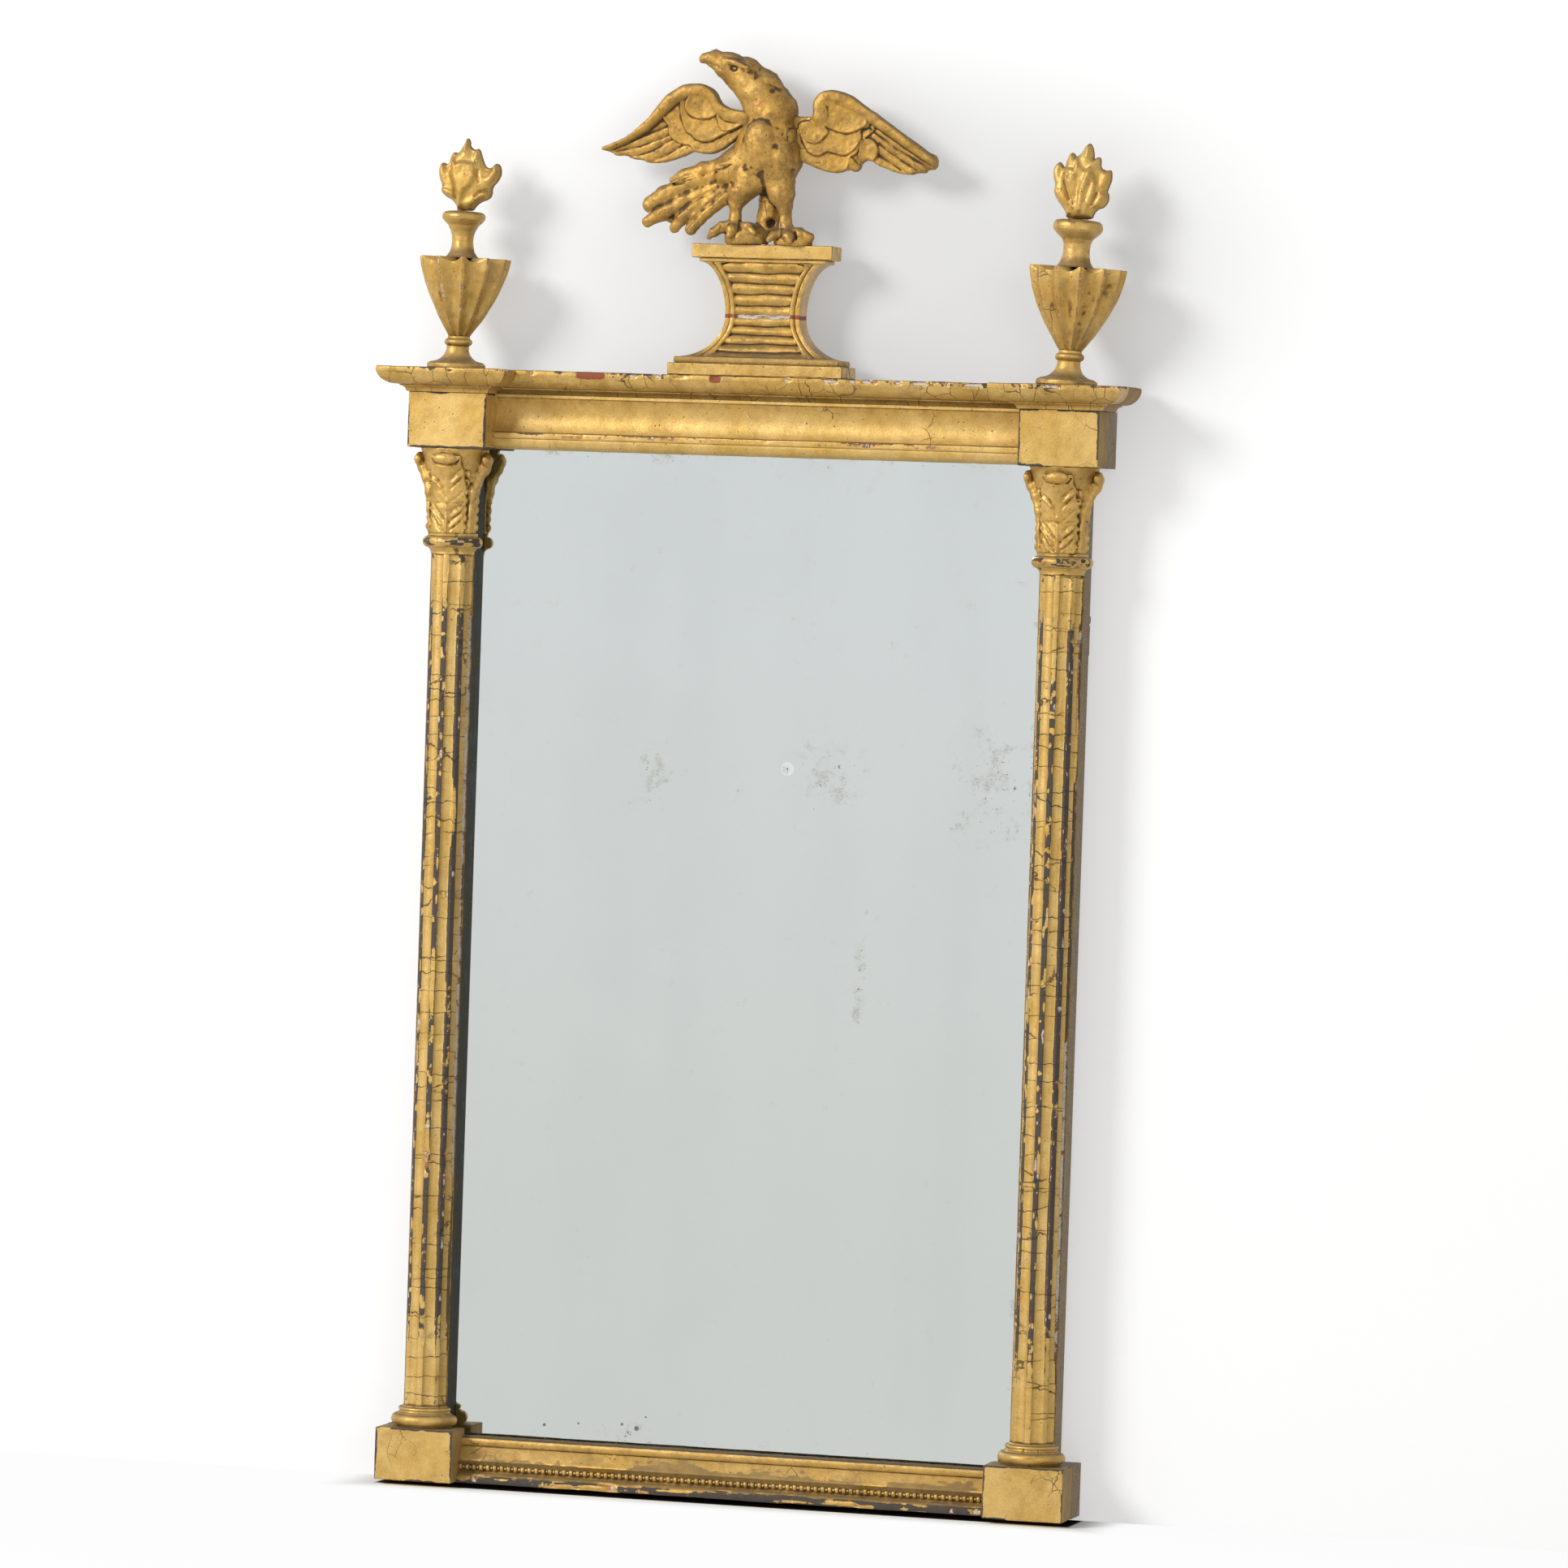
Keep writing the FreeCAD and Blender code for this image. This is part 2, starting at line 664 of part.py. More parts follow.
def makePlinth():
    holeRadius = dim["dowelRadius"] + dim["fitGap"]
    base = box("plinth_base_slab", dim["plinthBaseWidth"], dim["plinthBaseDepth"], dim["plinthBaseHeight"],
               dim["plinthBaseWidth"] / -2, stileBackY - dim["plinthBaseDepth"], topZ)
    baseHoles = [rod(f"plinth_base_hole_{side}", holeRadius, dim["plinthBaseHeight"] + dim["overrun"] * 2,
                     dim["plinthDowelX"] * sign, plinthDowelY, topZ - dim["overrun"], "z")
                 for side, sign in sides.items()]
    keep(cut("plinth_base", base, baseHoles), "plinth_base")
    footZ = topZ + dim["plinthBaseHeight"]
    foot = box("plinth_foot", dim["plinthFootWidth"], dim["plinthFootDepth"], dim["plinthFootHeight"],
               dim["plinthFootWidth"] / -2, plinthBackY - dim["plinthFootDepth"], footZ)
    lower = hollowedBlock("plinth_lower_hollow", dim["plinthFootWidth"] * footTopWidthShare,
                          dim["plinthWaistWidth"], dim["plinthFootDepth"] * footTopDepthShare,
                          dim["plinthWaistDepth"], dim["plinthLowerHeight"], plinthBodyZ)
    spigotLength = dim["plinthFootHeight"] + dim["spigotDepth"] + dim["looseGap"] + dim["overrun"]
    lowerHoles = [rod(f"plinth_lower_hole_{side}", holeRadius, spigotLength, dim["plinthDowelX"] * sign,
                      plinthDowelY, footZ - dim["overrun"], "z") for side, sign in sides.items()]
    waistLength = dim["spigotDepth"] + dim["looseGap"] + dim["overrun"]
    lowerHoles.append(rod("plinth_lower_waist_hole", holeRadius, waistLength, 0, plinthDowelY,
                          waistZ - dim["spigotDepth"] - dim["looseGap"], "z"))
    keep(cut("plinth_lower_body", fuse("plinth_lower_wood", [foot, lower]), lowerHoles), "plinth_lower_body")
    upper = hollowedBlock("plinth_upper_hollow", dim["plinthWaistWidth"], dim["plinthNeckWidth"] * neckFootShare,
                          dim["plinthWaistDepth"], dim["plinthNeckDepth"] * neckFootShare,
                          dim["plinthUpperHeight"], waistZ)
    upperHole = rod("plinth_upper_waist_hole", holeRadius, waistLength, 0, plinthDowelY,
                    waistZ - dim["overrun"], "z")
    keep(cut("plinth_upper_body", upper, [upperHole]), "plinth_upper_body")
    neck = box("plinth_neck", dim["plinthNeckWidth"], dim["plinthNeckDepth"], dim["plinthNeckHeight"],
               dim["plinthNeckWidth"] / -2, plinthBackY - dim["plinthNeckDepth"], plinthNeckZ)
    slab = box("plinth_cap_slab", dim["plinthCapWidth"], dim["plinthCapDepth"], dim["plinthCapHeight"],
               dim["plinthCapWidth"] / -2, plinthBackY - dim["plinthCapDepth"], plinthCapZ)
    capHoles = [rod(f"plinth_cap_hole_{side}", dim["eagleDowelRadius"] + dim["fitGap"],
                    dim["eagleDowelDepth"] + dim["looseGap"] + dim["overrun"], dim["eagleLegX"] * sign,
                    eagleY, eagleZ - dim["eagleDowelDepth"] - dim["looseGap"], "z")
                for side, sign in sides.items()]
    keep(cut("plinth_cap", fuse("plinth_cap_wood", [neck, slab]), capHoles), "plinth_cap")


# Eagle: shares of its height, measured from the middle of the cap's top.
eagleY = plinthBackY - dim["eagleInset"]
spineShares = ((-0.014, 0.095, 0.068, 0.061), (0, 0.209, 0.135, 0.115), (0.014, 0.378, 0.169, 0.142),
               (0.02, 0.527, 0.176, 0.149), (0.007, 0.669, 0.155, 0.128), (-0.054, 0.791, 0.128, 0.108),
               (-0.135, 0.872, 0.105, 0.088), (-0.223, 0.919, 0.081, 0.074), (-0.284, 0.946, 0.057, 0.054))
beakStartShares = (-0.27, 0.942)
beakTipShares = (-0.385, 0.993)
beakRootShare = 0.045
beakEndShare = 0.008
tailShares = ((-0.07, 0.43), (-0.277, 0.473), (-0.39, 0.4), (-0.54, 0.33), (-0.534, 0.297), (-0.63, 0.264),
              (-0.696, 0.17), (-0.69, 0.068), (-0.588, 0.06), (-0.52, 0.095), (-0.5, 0.047), (-0.378, 0.04),
              (-0.29, 0.142), (-0.19, 0.18), (-0.054, 0.23))
legShares = (((-0.06, 0.26, 0.1), (-0.13, 0.1, 0.05)), ((0.08, 0.3, 0.095), (0.128, 0.1, 0.045)))
ankleDepthShare = 0.03
ankleFlareShare = 1.25
footBlockShares = ((-0.27, 0.05, 0.065), (0.02, 0.29, 0.055))
footDepthShare = 0.16
rightWingShares = ((0.1, 0.716), (0.26, 0.757), (0.345, 0.818), (0.41, 0.811), (0.525, 0.757), (0.715, 0.655),
                   (0.87, 0.547), (1, 0.466), (0.98, 0.405), (0.847, 0.382), (0.76, 0.392), (0.62, 0.432),
                   (0.51, 0.389), (0.41, 0.385), (0.29, 0.405), (0.1, 0.486))
leftWingShares = ((0.1, 0.71), (0.277, 0.743), (0.32, 0.804), (0.41, 0.84), (0.547, 0.829), (0.635, 0.768),
                  (0.708, 0.676), (0.796, 0.584), (0.92, 0.514), (1, 0.48), (0.927, 0.46), (0.832, 0.432),
                  (0.715, 0.412), (0.577, 0.426), (0.453, 0.483), (0.365, 0.473), (0.1, 0.486))
wingDowelShare = 0.6
wingDowelStartShare = 0.09


def smoothPlate(points, thickness, y):
    curve = Part.BSplineCurve()
    curve.interpolate([Vector(x, y - thickness / 2, z) for x, z in points], True)
    return Part.Face(Part.Wire([curve.toShape()])).extrude(Vector(0, thickness, 0))


def flatPlate(points, thickness, y):
    corners = [Vector(x, y - thickness / 2, z) for x, z in points]
    return Part.Face(Part.makePolygon(corners + corners[:1])).extrude(Vector(0, thickness, 0))


def taper(start, end, startRadius, endRadius):
    along = end - start
    return Part.makeCone(startRadius, endRadius, along.Length, start, along)


def eagleBodyShape():
    tall = float(dim["eagleHeight"])
    y = float(eagleY)
    z = float(eagleZ)

    def at(xShare, zShare, yShare=0.0):
        return Vector(tall * xShare, y + tall * yShare, z + tall * zShare)

    centres = [at(row[0], row[1]) for row in spineShares]
    rings = []
    for step, row in enumerate(spineShares):
        before = centres[max(step - 1, 0)]
        after = centres[min(step + 1, len(centres) - 1)]
        along = (after - before).normalize()
        across = Vector(along.z, 0, -along.x)
        centre = centres[step]
        oval = Part.Ellipse(centre + across * (tall * row[2]), centre + Vector(0, tall * row[3], 0), centre)
        rings.append(Part.Wire([oval.toShape()]))
    body = Part.makeLoft(rings, True, False)
    beak = taper(at(*beakStartShares), at(*beakTipShares), tall * beakRootShare, tall * beakEndShare)
    tail = flatPlate([(tall * u, z + tall * v) for u, v in tailShares], float(dim["tailThickness"]), y)
    legs = []
    for (hipX, hipZ, hipRadius), (ankleX, ankleZ, ankleRadius) in legShares:
        hip = at(hipX, hipZ)
        ankle = at(ankleX, ankleZ, -ankleDepthShare)
        legs.append(taper(hip, ankle, tall * hipRadius, tall * ankleRadius))
        sole = at(ankleX, 0, -ankleDepthShare)
        legs.append(taper(ankle, sole, tall * ankleRadius, tall * ankleRadius * ankleFlareShare))
    feet = []
    for startX, endX, height in footBlockShares:
        corner = Vector(tall * startX, y - tall * footDepthShare / 2, z)
        feet.append(Part.makeBox(tall * (endX - startX), tall * footDepthShare, tall * height, corner))
    whole = body.multiFuse([beak, tail] + legs + feet)
    return whole.removeSplitter()


def makeEagle():
    body = eagleBodyShape()
    tall = float(dim["eagleHeight"])
    y = float(eagleY)
    z = float(eagleZ)
    legHoles = [Part.makeCylinder(float(dim["eagleDowelRadius"] + dim["fitGap"]),
                                  float(dim["eagleDowelDepth"] + dim["looseGap"]),
                                  Vector(float(dim["eagleLegX"]) * sign, y, z)) for sign in sides.values()]
    wingHoles = {side: Part.makeCylinder(float(dim["eagleDowelRadius"] + dim["fitGap"]),
                                         float(dim["wingDowelLength"] + dim["looseGap"]),
                                         Vector(tall * wingDowelStartShare * sign, y, z + tall * wingDowelShare),
                                         Vector(sign, 0, 0)) for side, sign in sides.items()}
    carved = body
    for hole in legHoles + list(wingHoles.values()):
        carved = carved.cut(hole)
    keep(feature("eagle_body", carved.Solids[0]), "eagle_body")
    outlines = {"left": leftWingShares, "right": rightWingShares}
    for side, sign in sides.items():
        reach = float(dim["wingReach"]) * sign
        points = [(reach * u, z + tall * v) for u, v in outlines[side]]
        wing = smoothPlate(points, float(dim["wingThickness"]), y).cut(body).cut(wingHoles[side])
        largest = max(wing.Solids, key=lambda solid: solid.Volume)
        keep(feature(f"eagle_wing_{side}", largest), f"eagle_wing_{side}")
    eagleDowels = [rod(f"eagle_dowel_{side}", dim["eagleDowelRadius"], dim["eagleDowelDepth"] * 2,
                       dim["eagleLegX"] * sign, eagleY, eagleZ - dim["eagleDowelDepth"], "z")
                   for side, sign in sides.items()]
    keep(group("eagle_dowels", eagleDowels), "eagle_dowels")
    wingDowels = []
    for side, sign in sides.items():
        start = dim["eagleHeight"] * wingDowelStartShare
        dowelX = start if sign > 0 else -start - dim["wingDowelLength"]
        wingDowels.append(rod(f"wing_dowel_{side}", dim["eagleDowelRadius"], dim["wingDowelLength"], dowelX,
                              eagleY, eagleZ + dim["eagleHeight"] * wingDowelShare, "x"))
    keep(group("wing_dowels", wingDowels), "wing_dowels")


# Urn finials: turned foot, bowl and cover on dowels, with a carved flame.
footShares = ((1, 0), (1, 0.14), (0.86, 0.2, -0.35), (0.36, 0.56), (0.36, 0.7), (0.47, 0.76, 0.8), (0.47, 0.92),
              (0.41, 1))
bowlShares = ((0, 0.25), (0.12, 0.38), (0.26, 0.54), (0.45, 0.735), (0.62, 0.85), (0.82, 0.95), (1, 1))
bowlFlutes = {"leftFluteCount": 11, "rightFluteCount": 12}
bowlFluteBulge = 0.35
coverShares = ((0.84, 0, -0.15), (0.66, 0.2, -0.2), (0.47, 0.47, -0.3), (0.66, 0.72), (1, 0.76, 0.7), (1, 0.93),
               (0.4, 1))
# A flame is its front outline, in shares of its radius and height, cut from an oval whose depth changes with height.
flameOutlineShares = {
    "left": ((-0.19, 0), (-0.26, 0.08), (-0.4, 0.147), (-0.62, 0.19), (-0.756, 0.26), (-0.71, 0.327), (-0.82, 0.43),
             (-0.856, 0.564), (-0.746, 0.655), (-0.545, 0.605), (-0.498, 0.734), (-0.388, 0.797), (-0.258, 0.767),
             (-0.1, 0.9), (0, 1), (0.1, 0.937), (0.086, 0.876), (0.254, 0.824), (0.388, 0.858), (0.507, 0.7),
             (0.612, 0.605), (0.77, 0.587), (0.914, 0.666), (1.057, 0.643), (1.12, 0.53), (1.033, 0.43),
             (0.842, 0.327), (0.856, 0.237), (0.77, 0.17), (0.507, 0.124), (0.34, 0.056), (0.29, 0)),
    "right": ((-0.435, 0), (-0.47, 0.08), (-0.6, 0.15), (-0.806, 0.234), (-0.95, 0.343), (-0.906, 0.425),
              (-0.98, 0.516), (-1.01, 0.636), (-0.894, 0.71), (-0.765, 0.733), (-0.6, 0.642), (-0.553, 0.777),
              (-0.41, 0.868), (-0.276, 0.842), (-0.235, 0.8), (-0.04, 0.868), (0.076, 0.961), (0.224, 1),
              (0.34, 0.94), (0.4, 0.84), (0.39, 0.787), (0.56, 0.83), (0.647, 0.8), (0.653, 0.68), (0.9, 0.65),
              (1.035, 0.672), (1.076, 0.55), (0.99, 0.43), (0.94, 0.375), (1.02, 0.347), (1.02, 0.256),
              (0.87, 0.17), (0.665, 0.147), (0.547, 0.093), (0.47, 0)),
}
flameDepthShares = {
    "left": ((0, 0.25), (0.12, 0.32), (0.3, 0.5), (0.5, 0.54), (0.7, 0.42), (0.87, 0.25), (1, 0.05)),
    "right": ((0, 0.4), (0.15, 0.55), (0.4, 0.68), (0.65, 0.54), (0.85, 0.31), (1, 0.05)),
}
flameSpreadShare = 1.35


def flameShape(side, radius, height, x, y, z, holeRadius, holeDepth):
    rings = []
    for level, deep in flameDepthShares[side]:
        oval = Part.Ellipse(Vector(x, y, z + height * level), radius * flameSpreadShare, radius * deep)
        rings.append(Part.Wire([oval.toShape()]))
    outline = [(x + radius * u, z + height * v) for u, v in flameOutlineShares[side]]
    flame = Part.makeLoft(rings, True, False).common(flatPlate(outline, radius * 2, y))
    return flame.cut(Part.makeCylinder(holeRadius, holeDepth, Vector(x, y, z)))


def flutedRing(radius, flutes, x, y, z):
    turn = 2 * math.pi / flutes
    corners = [Vector(x + radius * math.sin(turn * step), y - radius * math.cos(turn * step), z)
               for step in range(flutes)]
    edges = []
    for step, start in enumerate(corners):
        end = corners[(step + 1) % flutes]
        edges.append(Part.Arc(start, arcMiddle(start, end, -bowlFluteBulge), end).toShape())
    return Part.Wire(edges)


def bowlShape(side, radius, height, x, y, z, holeRadius, holeDepth):
    flutes = bowlFlutes[f"{side}FluteCount"]
    rings = [flutedRing(radius * wide, flutes, x, y, z + height * level) for level, wide in bowlShares]
    bowl = Part.makeLoft(rings, True, True)
    for low in (z, z + height - holeDepth):
        bowl = bowl.cut(Part.makeCylinder(holeRadius, holeDepth, Vector(x, y, low)))
    return bowl


def throughBored(shares, radius, height, hole):
    return [(hole, 0)] + scaled(shares, radius, height) + [(hole, height)]


def makeUrns():
    hole = dim["dowelRadius"] + dim["fitGap"]
    depth = dim["spigotDepth"] + dim["looseGap"]
    dowels = []
    for side, sign in sides.items():
        x = columnX * sign
        bowlZ = topZ + dim[f"{side}FootHeight"]
        coverZ = bowlZ + dim[f"{side}BowlHeight"]
        flameZ = coverZ + dim[f"{side}CoverHeight"]
        foot = throughBored(footShares, dim[f"{side}FootRadius"], dim[f"{side}FootHeight"], hole)
        keep(turnedBody(f"urn_foot_{side}", foot, 360, x, urnY, topZ), f"urn_foot_{side}")
        bowl = bowlShape(side, float(dim[f"{side}BowlRadius"]), float(dim[f"{side}BowlHeight"]),
                         float(x), float(urnY), float(bowlZ), float(hole), float(depth))
        keep(feature(f"urn_bowl_{side}", bowl.Solids[0]), f"urn_bowl_{side}")
        cover = throughBored(coverShares, dim[f"{side}CoverRadius"], dim[f"{side}CoverHeight"], hole)
        keep(turnedBody(f"urn_cover_{side}", cover, 360, x, urnY, coverZ), f"urn_cover_{side}")
        flame = flameShape(side, float(dim[f"{side}FlameRadius"]), float(dim[f"{side}FlameHeight"]),
                           float(x), float(urnY), float(flameZ), float(hole), float(depth))
        keep(feature(f"urn_flame_{side}", flame.Solids[0]), f"urn_flame_{side}")
        dowels.append(rod(f"urn_foot_dowel_{side}", dim["dowelRadius"],
                          dim[f"{side}FootHeight"] + dim["spigotDepth"] * 2, x, urnY,
                          topZ - dim["spigotDepth"], "z"))
        dowels.append(rod(f"urn_cover_dowel_{side}", dim["dowelRadius"],
                          dim[f"{side}CoverHeight"] + dim["spigotDepth"] * 2, x, urnY,
                          coverZ - dim["spigotDepth"], "z"))
    keep(group("urn_dowels", dowels), "urn_dowels")


def makePlinthDowels():
    low = topZ - dim["spigotDepth"]
    length = dim["plinthBaseHeight"] + dim["plinthFootHeight"] + dim["spigotDepth"] * 2
    dowels = [rod(f"plinth_dowel_{side}", dim["dowelRadius"], length, dim["plinthDowelX"] * sign,
                  plinthDowelY, low, "z") for side, sign in sides.items()]
    dowels.append(rod("plinth_waist_dowel", dim["dowelRadius"], dim["spigotDepth"] * 2, 0, plinthDowelY,
                      waistZ - dim["spigotDepth"], "z"))
    keep(group("plinth_dowels", dowels), "plinth_dowels")


# Mirror glass, the glue blocks that hold it, and the boards nailed over its back.
sideBlockShares = (0.12, 0.37, 0.63, 0.88)
endBlockShares = (-0.7, 0, 0.7)


def makeGlass():
    glassX = rebateX - dim["glassGap"]
    glassHeight = rebateTopZ - dim["glassGap"] - glassBottomZ
    keep(box("mirror_glass", glassX * 2, dim["glassThickness"], glassHeight, -glassX, glassFrontY, glassBottomZ),
         "mirror_glass")
    size = dim["blockThickness"]
    blocks = []
    for side, sign in sides.items():
        for step, share in enumerate(sideBlockShares):
            x = rebateX - size if sign > 0 else -rebateX
            blocks.append(box(f"side_block_{side}_{step}", size, size, dim["blockLength"], x, glassBackY,
                              columnZ + dim["columnHeight"] * share - dim["blockLength"] / 2))
    for step, share in enumerate(endBlockShares):
        x = rebateX * share - dim["blockLength"] / 2
        blocks.append(box(f"bottom_end_block_{step}", dim["blockLength"], size, size, x, glassBackY, glassBottomZ))
        blocks.append(box(f"top_end_block_{step}", dim["blockLength"], size, size, x, glassBackY,
                          rebateTopZ - size))
    keep(group("glass_blocks", blocks), "glass_blocks")


def makeBackboards():
    names = ("backboard_lower", "backboard_middle", "backboard_upper")
    nails = []
    for index, name in enumerate(names):
        board = box(name + "_plank", boardX * 2, dim["boardThickness"], boardHeight, -boardX, stileBackY,
                    boardZ(index))
        holes = []
        for side, sign in sides.items():
            for step, share in enumerate(nailShares):
                z = boardZ(index) + boardHeight * share
                holes.append(rod(f"{name}_hole_{side}_{step}", dim["nailRadius"] + dim["fitGap"],
                                 dim["boardThickness"] + dim["overrun"] * 2, nailX * sign,
                                 stileBackY - dim["overrun"], z, "y"))
                shank = rod(f"{name}_nail_shank_{side}_{step}", dim["nailRadius"], dim["nailLength"],
                            nailX * sign, boardBackY - dim["nailLength"], z, "y")
                head = rod(f"{name}_nail_head_{side}_{step}", dim["nailHeadRadius"], dim["nailHeadHeight"],
                           nailX * sign, boardBackY, z, "y")
                nails.append(fuse(f"{name}_nail_{side}_{step}", [shank, head]))
        keep(cut(name, board, holes), name)
    keep(group("backboard_nails", nails), "backboard_nails")


# Hangers: a plate screwed to each stile, with an eye that swings on a pin between its two knuckles.
def makeHangers():
    half = dim["hangerWidth"] / 2
    plateBackY = stileBackY + dim["plateThickness"]
    pins = []
    screws = []
    for side, sign in sides.items():
        x = hangerX * sign
        name = f"hanger_plate_{side}"
        solids = [box(name + "_strap", dim["hangerWidth"], dim["plateThickness"], dim["plateHeight"],
                      x - half, stileBackY, hangerZ)]
        for end, start in (("near", x - half), ("far", x + half - dim["knuckleLength"])):
            solids.append(rod(f"{name}_knuckle_{end}", dim["knuckleRadius"], dim["knuckleLength"], start,
                              hingeY, hangerZ, "x"))
            solids.append(box(f"{name}_web_{end}", dim["knuckleLength"], dim["knuckleRadius"],
                              dim["knuckleRadius"], start, plateBackY, hangerZ))
        cuts = [rod(name + "_pin_hole", dim["pinRadius"] + dim["fitGap"],
                    dim["hangerWidth"] + dim["overrun"] * 2, x - half - dim["overrun"], hingeY, hangerZ, "x")]
        for step, height in enumerate(screwHeights):
            cuts.append(rod(f"{name}_screw_hole_{step}", dim["screwRadius"] + dim["fitGap"],
                            dim["plateThickness"] + dim["overrun"] * 2, x, stileBackY - dim["overrun"],
                            height, "y"))
            shank = rod(f"hanger_screw_shank_{side}_{step}", dim["screwRadius"], dim["screwLength"], x,
                        plateBackY - dim["screwLength"], height, "y")
            head = rod(f"hanger_screw_head_{side}_{step}", dim["screwHeadRadius"], dim["screwHeadHeight"], x,
                       plateBackY, height, "y")
            screws.append(fuse(f"hanger_screw_{side}_{step}", [shank, head]))
        keep(cut(name, fuse(name + "_iron", solids), cuts), name)
        pins.append(rod(f"hanger_pin_{side}", dim["pinRadius"], dim["hangerWidth"], x - half, hingeY,
                        hangerZ, "x"))
        makeEye(side, x, half)
    keep(group("hanger_pins", pins), "hanger_pins")
    keep(group("hanger_screws", screws), "hanger_screws")


def makeEye(side, x, half):
    name = f"hanger_eye_{side}"
    knuckle = dim["hangerWidth"] - dim["knuckleLength"] * 2 - dim["eyeSideGap"] * 2
    eyeY = hingeY - dim["eyeThickness"] / 2
    holeZ = hangerZ - dim["eyeLength"] + half
    barrel = rod(name + "_barrel", dim["knuckleRadius"], knuckle, x - knuckle / 2, hingeY, hangerZ, "x")
    neck = box(name + "_neck", knuckle, dim["eyeThickness"], hangerZ - holeZ, x - knuckle / 2, eyeY, holeZ)
    leaf = box(name + "_leaf", dim["hangerWidth"], dim["eyeThickness"], hangerZ - dim["eyeNeck"] - holeZ,
               x - half, eyeY, holeZ)
    roundEnd = rod(name + "_round", half, dim["eyeThickness"], x, eyeY, holeZ, "y")
    bore = rod(name + "_bore", dim["pinRadius"] + dim["runningGap"], knuckle + dim["overrun"] * 2,
               x - knuckle / 2 - dim["overrun"], hingeY, hangerZ, "x")
    hole = rod(name + "_hole", dim["eyeHoleRadius"], dim["eyeThickness"] + dim["overrun"] * 2, x,
               eyeY - dim["overrun"], holeZ, "y")
    keep(cut(name, fuse(name + "_iron", [barrel, neck, leaf, roundEnd]), [bore, hole]), name)


def writeParts():
    doc.recompute()
    for item in doc.Objects:
        if "Invalid" in item.State or "Error" in item.State:
            raise RuntimeError(f"{item.Name} did not recompute: {item.State}")
    for item in subParts:
        if item.Shape.isNull() or not item.Shape.isValid():
            raise RuntimeError(f"{item.Label} has no valid shape")
    os.makedirs("parts", exist_ok=True)
    for item in subParts:
        item.Shape.exportStep(f"parts/{item.Label}.step")
    print(len(subParts), "sub-parts written")


makeRails()
makeStiles()
makeBlocks()
makeColumns()
makeMouldings()
makeCornice()
makePlinth()
makeEagle()
makeUrns()
makePlinthDowels()
makeGlass()
makeBackboards()
makeHangers()
writeParts()
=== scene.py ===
import bmesh
import bpy
import math
import numpy as np
from functools import reduce
from mathutils import Matrix, Vector


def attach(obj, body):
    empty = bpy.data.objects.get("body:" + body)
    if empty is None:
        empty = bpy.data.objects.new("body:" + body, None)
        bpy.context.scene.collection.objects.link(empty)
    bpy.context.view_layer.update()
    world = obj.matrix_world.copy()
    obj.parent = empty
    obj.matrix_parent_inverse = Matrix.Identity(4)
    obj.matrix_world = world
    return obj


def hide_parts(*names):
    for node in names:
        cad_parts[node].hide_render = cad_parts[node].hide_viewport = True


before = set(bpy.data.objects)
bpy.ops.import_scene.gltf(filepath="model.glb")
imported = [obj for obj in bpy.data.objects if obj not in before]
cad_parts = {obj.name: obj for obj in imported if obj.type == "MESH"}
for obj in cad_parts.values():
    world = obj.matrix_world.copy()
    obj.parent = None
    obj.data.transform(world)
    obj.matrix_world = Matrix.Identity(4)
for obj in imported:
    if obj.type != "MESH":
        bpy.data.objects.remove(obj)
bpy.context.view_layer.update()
print("frame loaded:", len(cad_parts), "nodes")

# Sizes below are in millimetres; meshFrom turns them into metres. The stage, the glass and the inputs of the node trees
# are in metres.
sides = {"left": -1, "right": 1}
columnX = 248
axisY = -32  # plane of the column axes, the front of the stiles


# camera and stage

photoView = {
    "lens": 191.66, "sensor": 36, "reach": 60, "place": (1.7657, -6.3327, 0.74675),
    "turns": (("X", 1.616), ("Y", 1.921), ("Z", -15.456)),
}
studio = {
    "floorZ": -0.004, "floorHalf": 9, "wallY": 0.002, "wallHalf": 6, "wallLow": -0.1, "wallHigh": 6,
    "paper": (0.93, 0.93, 0.925), "mottle": 0.985, "worldTone": (1.0, 1.0, 1.0), "ambient": 0.38, "shown": 1.0,
    "floorGlow": 0.92, "wallGlow": 0.42, "wallLift": 1.15, "slit": (0.020, 0.016, 0.012),
    "footprint": (0.282, -0.024, 0.024),  # half width, middle and half depth of what stands on the floor
    "halo": (0.08, 0.97, 0.45, 0.24, 0.74),  # middle x and z, reach x and z, and tone of the painted shade on the wall behind the crest
    "aim": (0, 0, 0.55),
    "lamps": {"keyLamp": ((-3.0, -3.3, 2.7), 1.7, 186), "fillLamp": ((3.4, -4.2, 1.4), 2.5, 38)},
}


def placed(name, data):
    item = bpy.data.objects.new(name, data)
    bpy.context.scene.collection.objects.link(item)
    return item


def makeCamera():
    turned = Matrix.Identity(3)
    for axis, degrees in photoView["turns"]:
        turned = turned @ Matrix.Rotation(math.radians(degrees), 3, axis)
    right, ahead, up = turned
    stand = Matrix((right, up, -ahead)).transposed().to_4x4()
    stand.translation = photoView["place"]
    data = bpy.data.cameras.new("photoCamera")
    data.lens, data.sensor_width, data.clip_end = photoView["lens"], photoView["sensor"], photoView["reach"]
    item = placed("photoCamera", data)
    item.matrix_world = stand
    bpy.context.scene.camera = item


def makeLamps():
    for name, (place, size, power) in studio["lamps"].items():
        data = bpy.data.lights.new(name, "AREA")
        data.shape, data.size, data.energy = "DISK", size, power
        away = Vector(place) - Vector(studio["aim"])
        placed(name, data).matrix_world = Matrix.Translation(place) @ away.to_track_quat("Z", "Y").to_matrix().to_4x4()


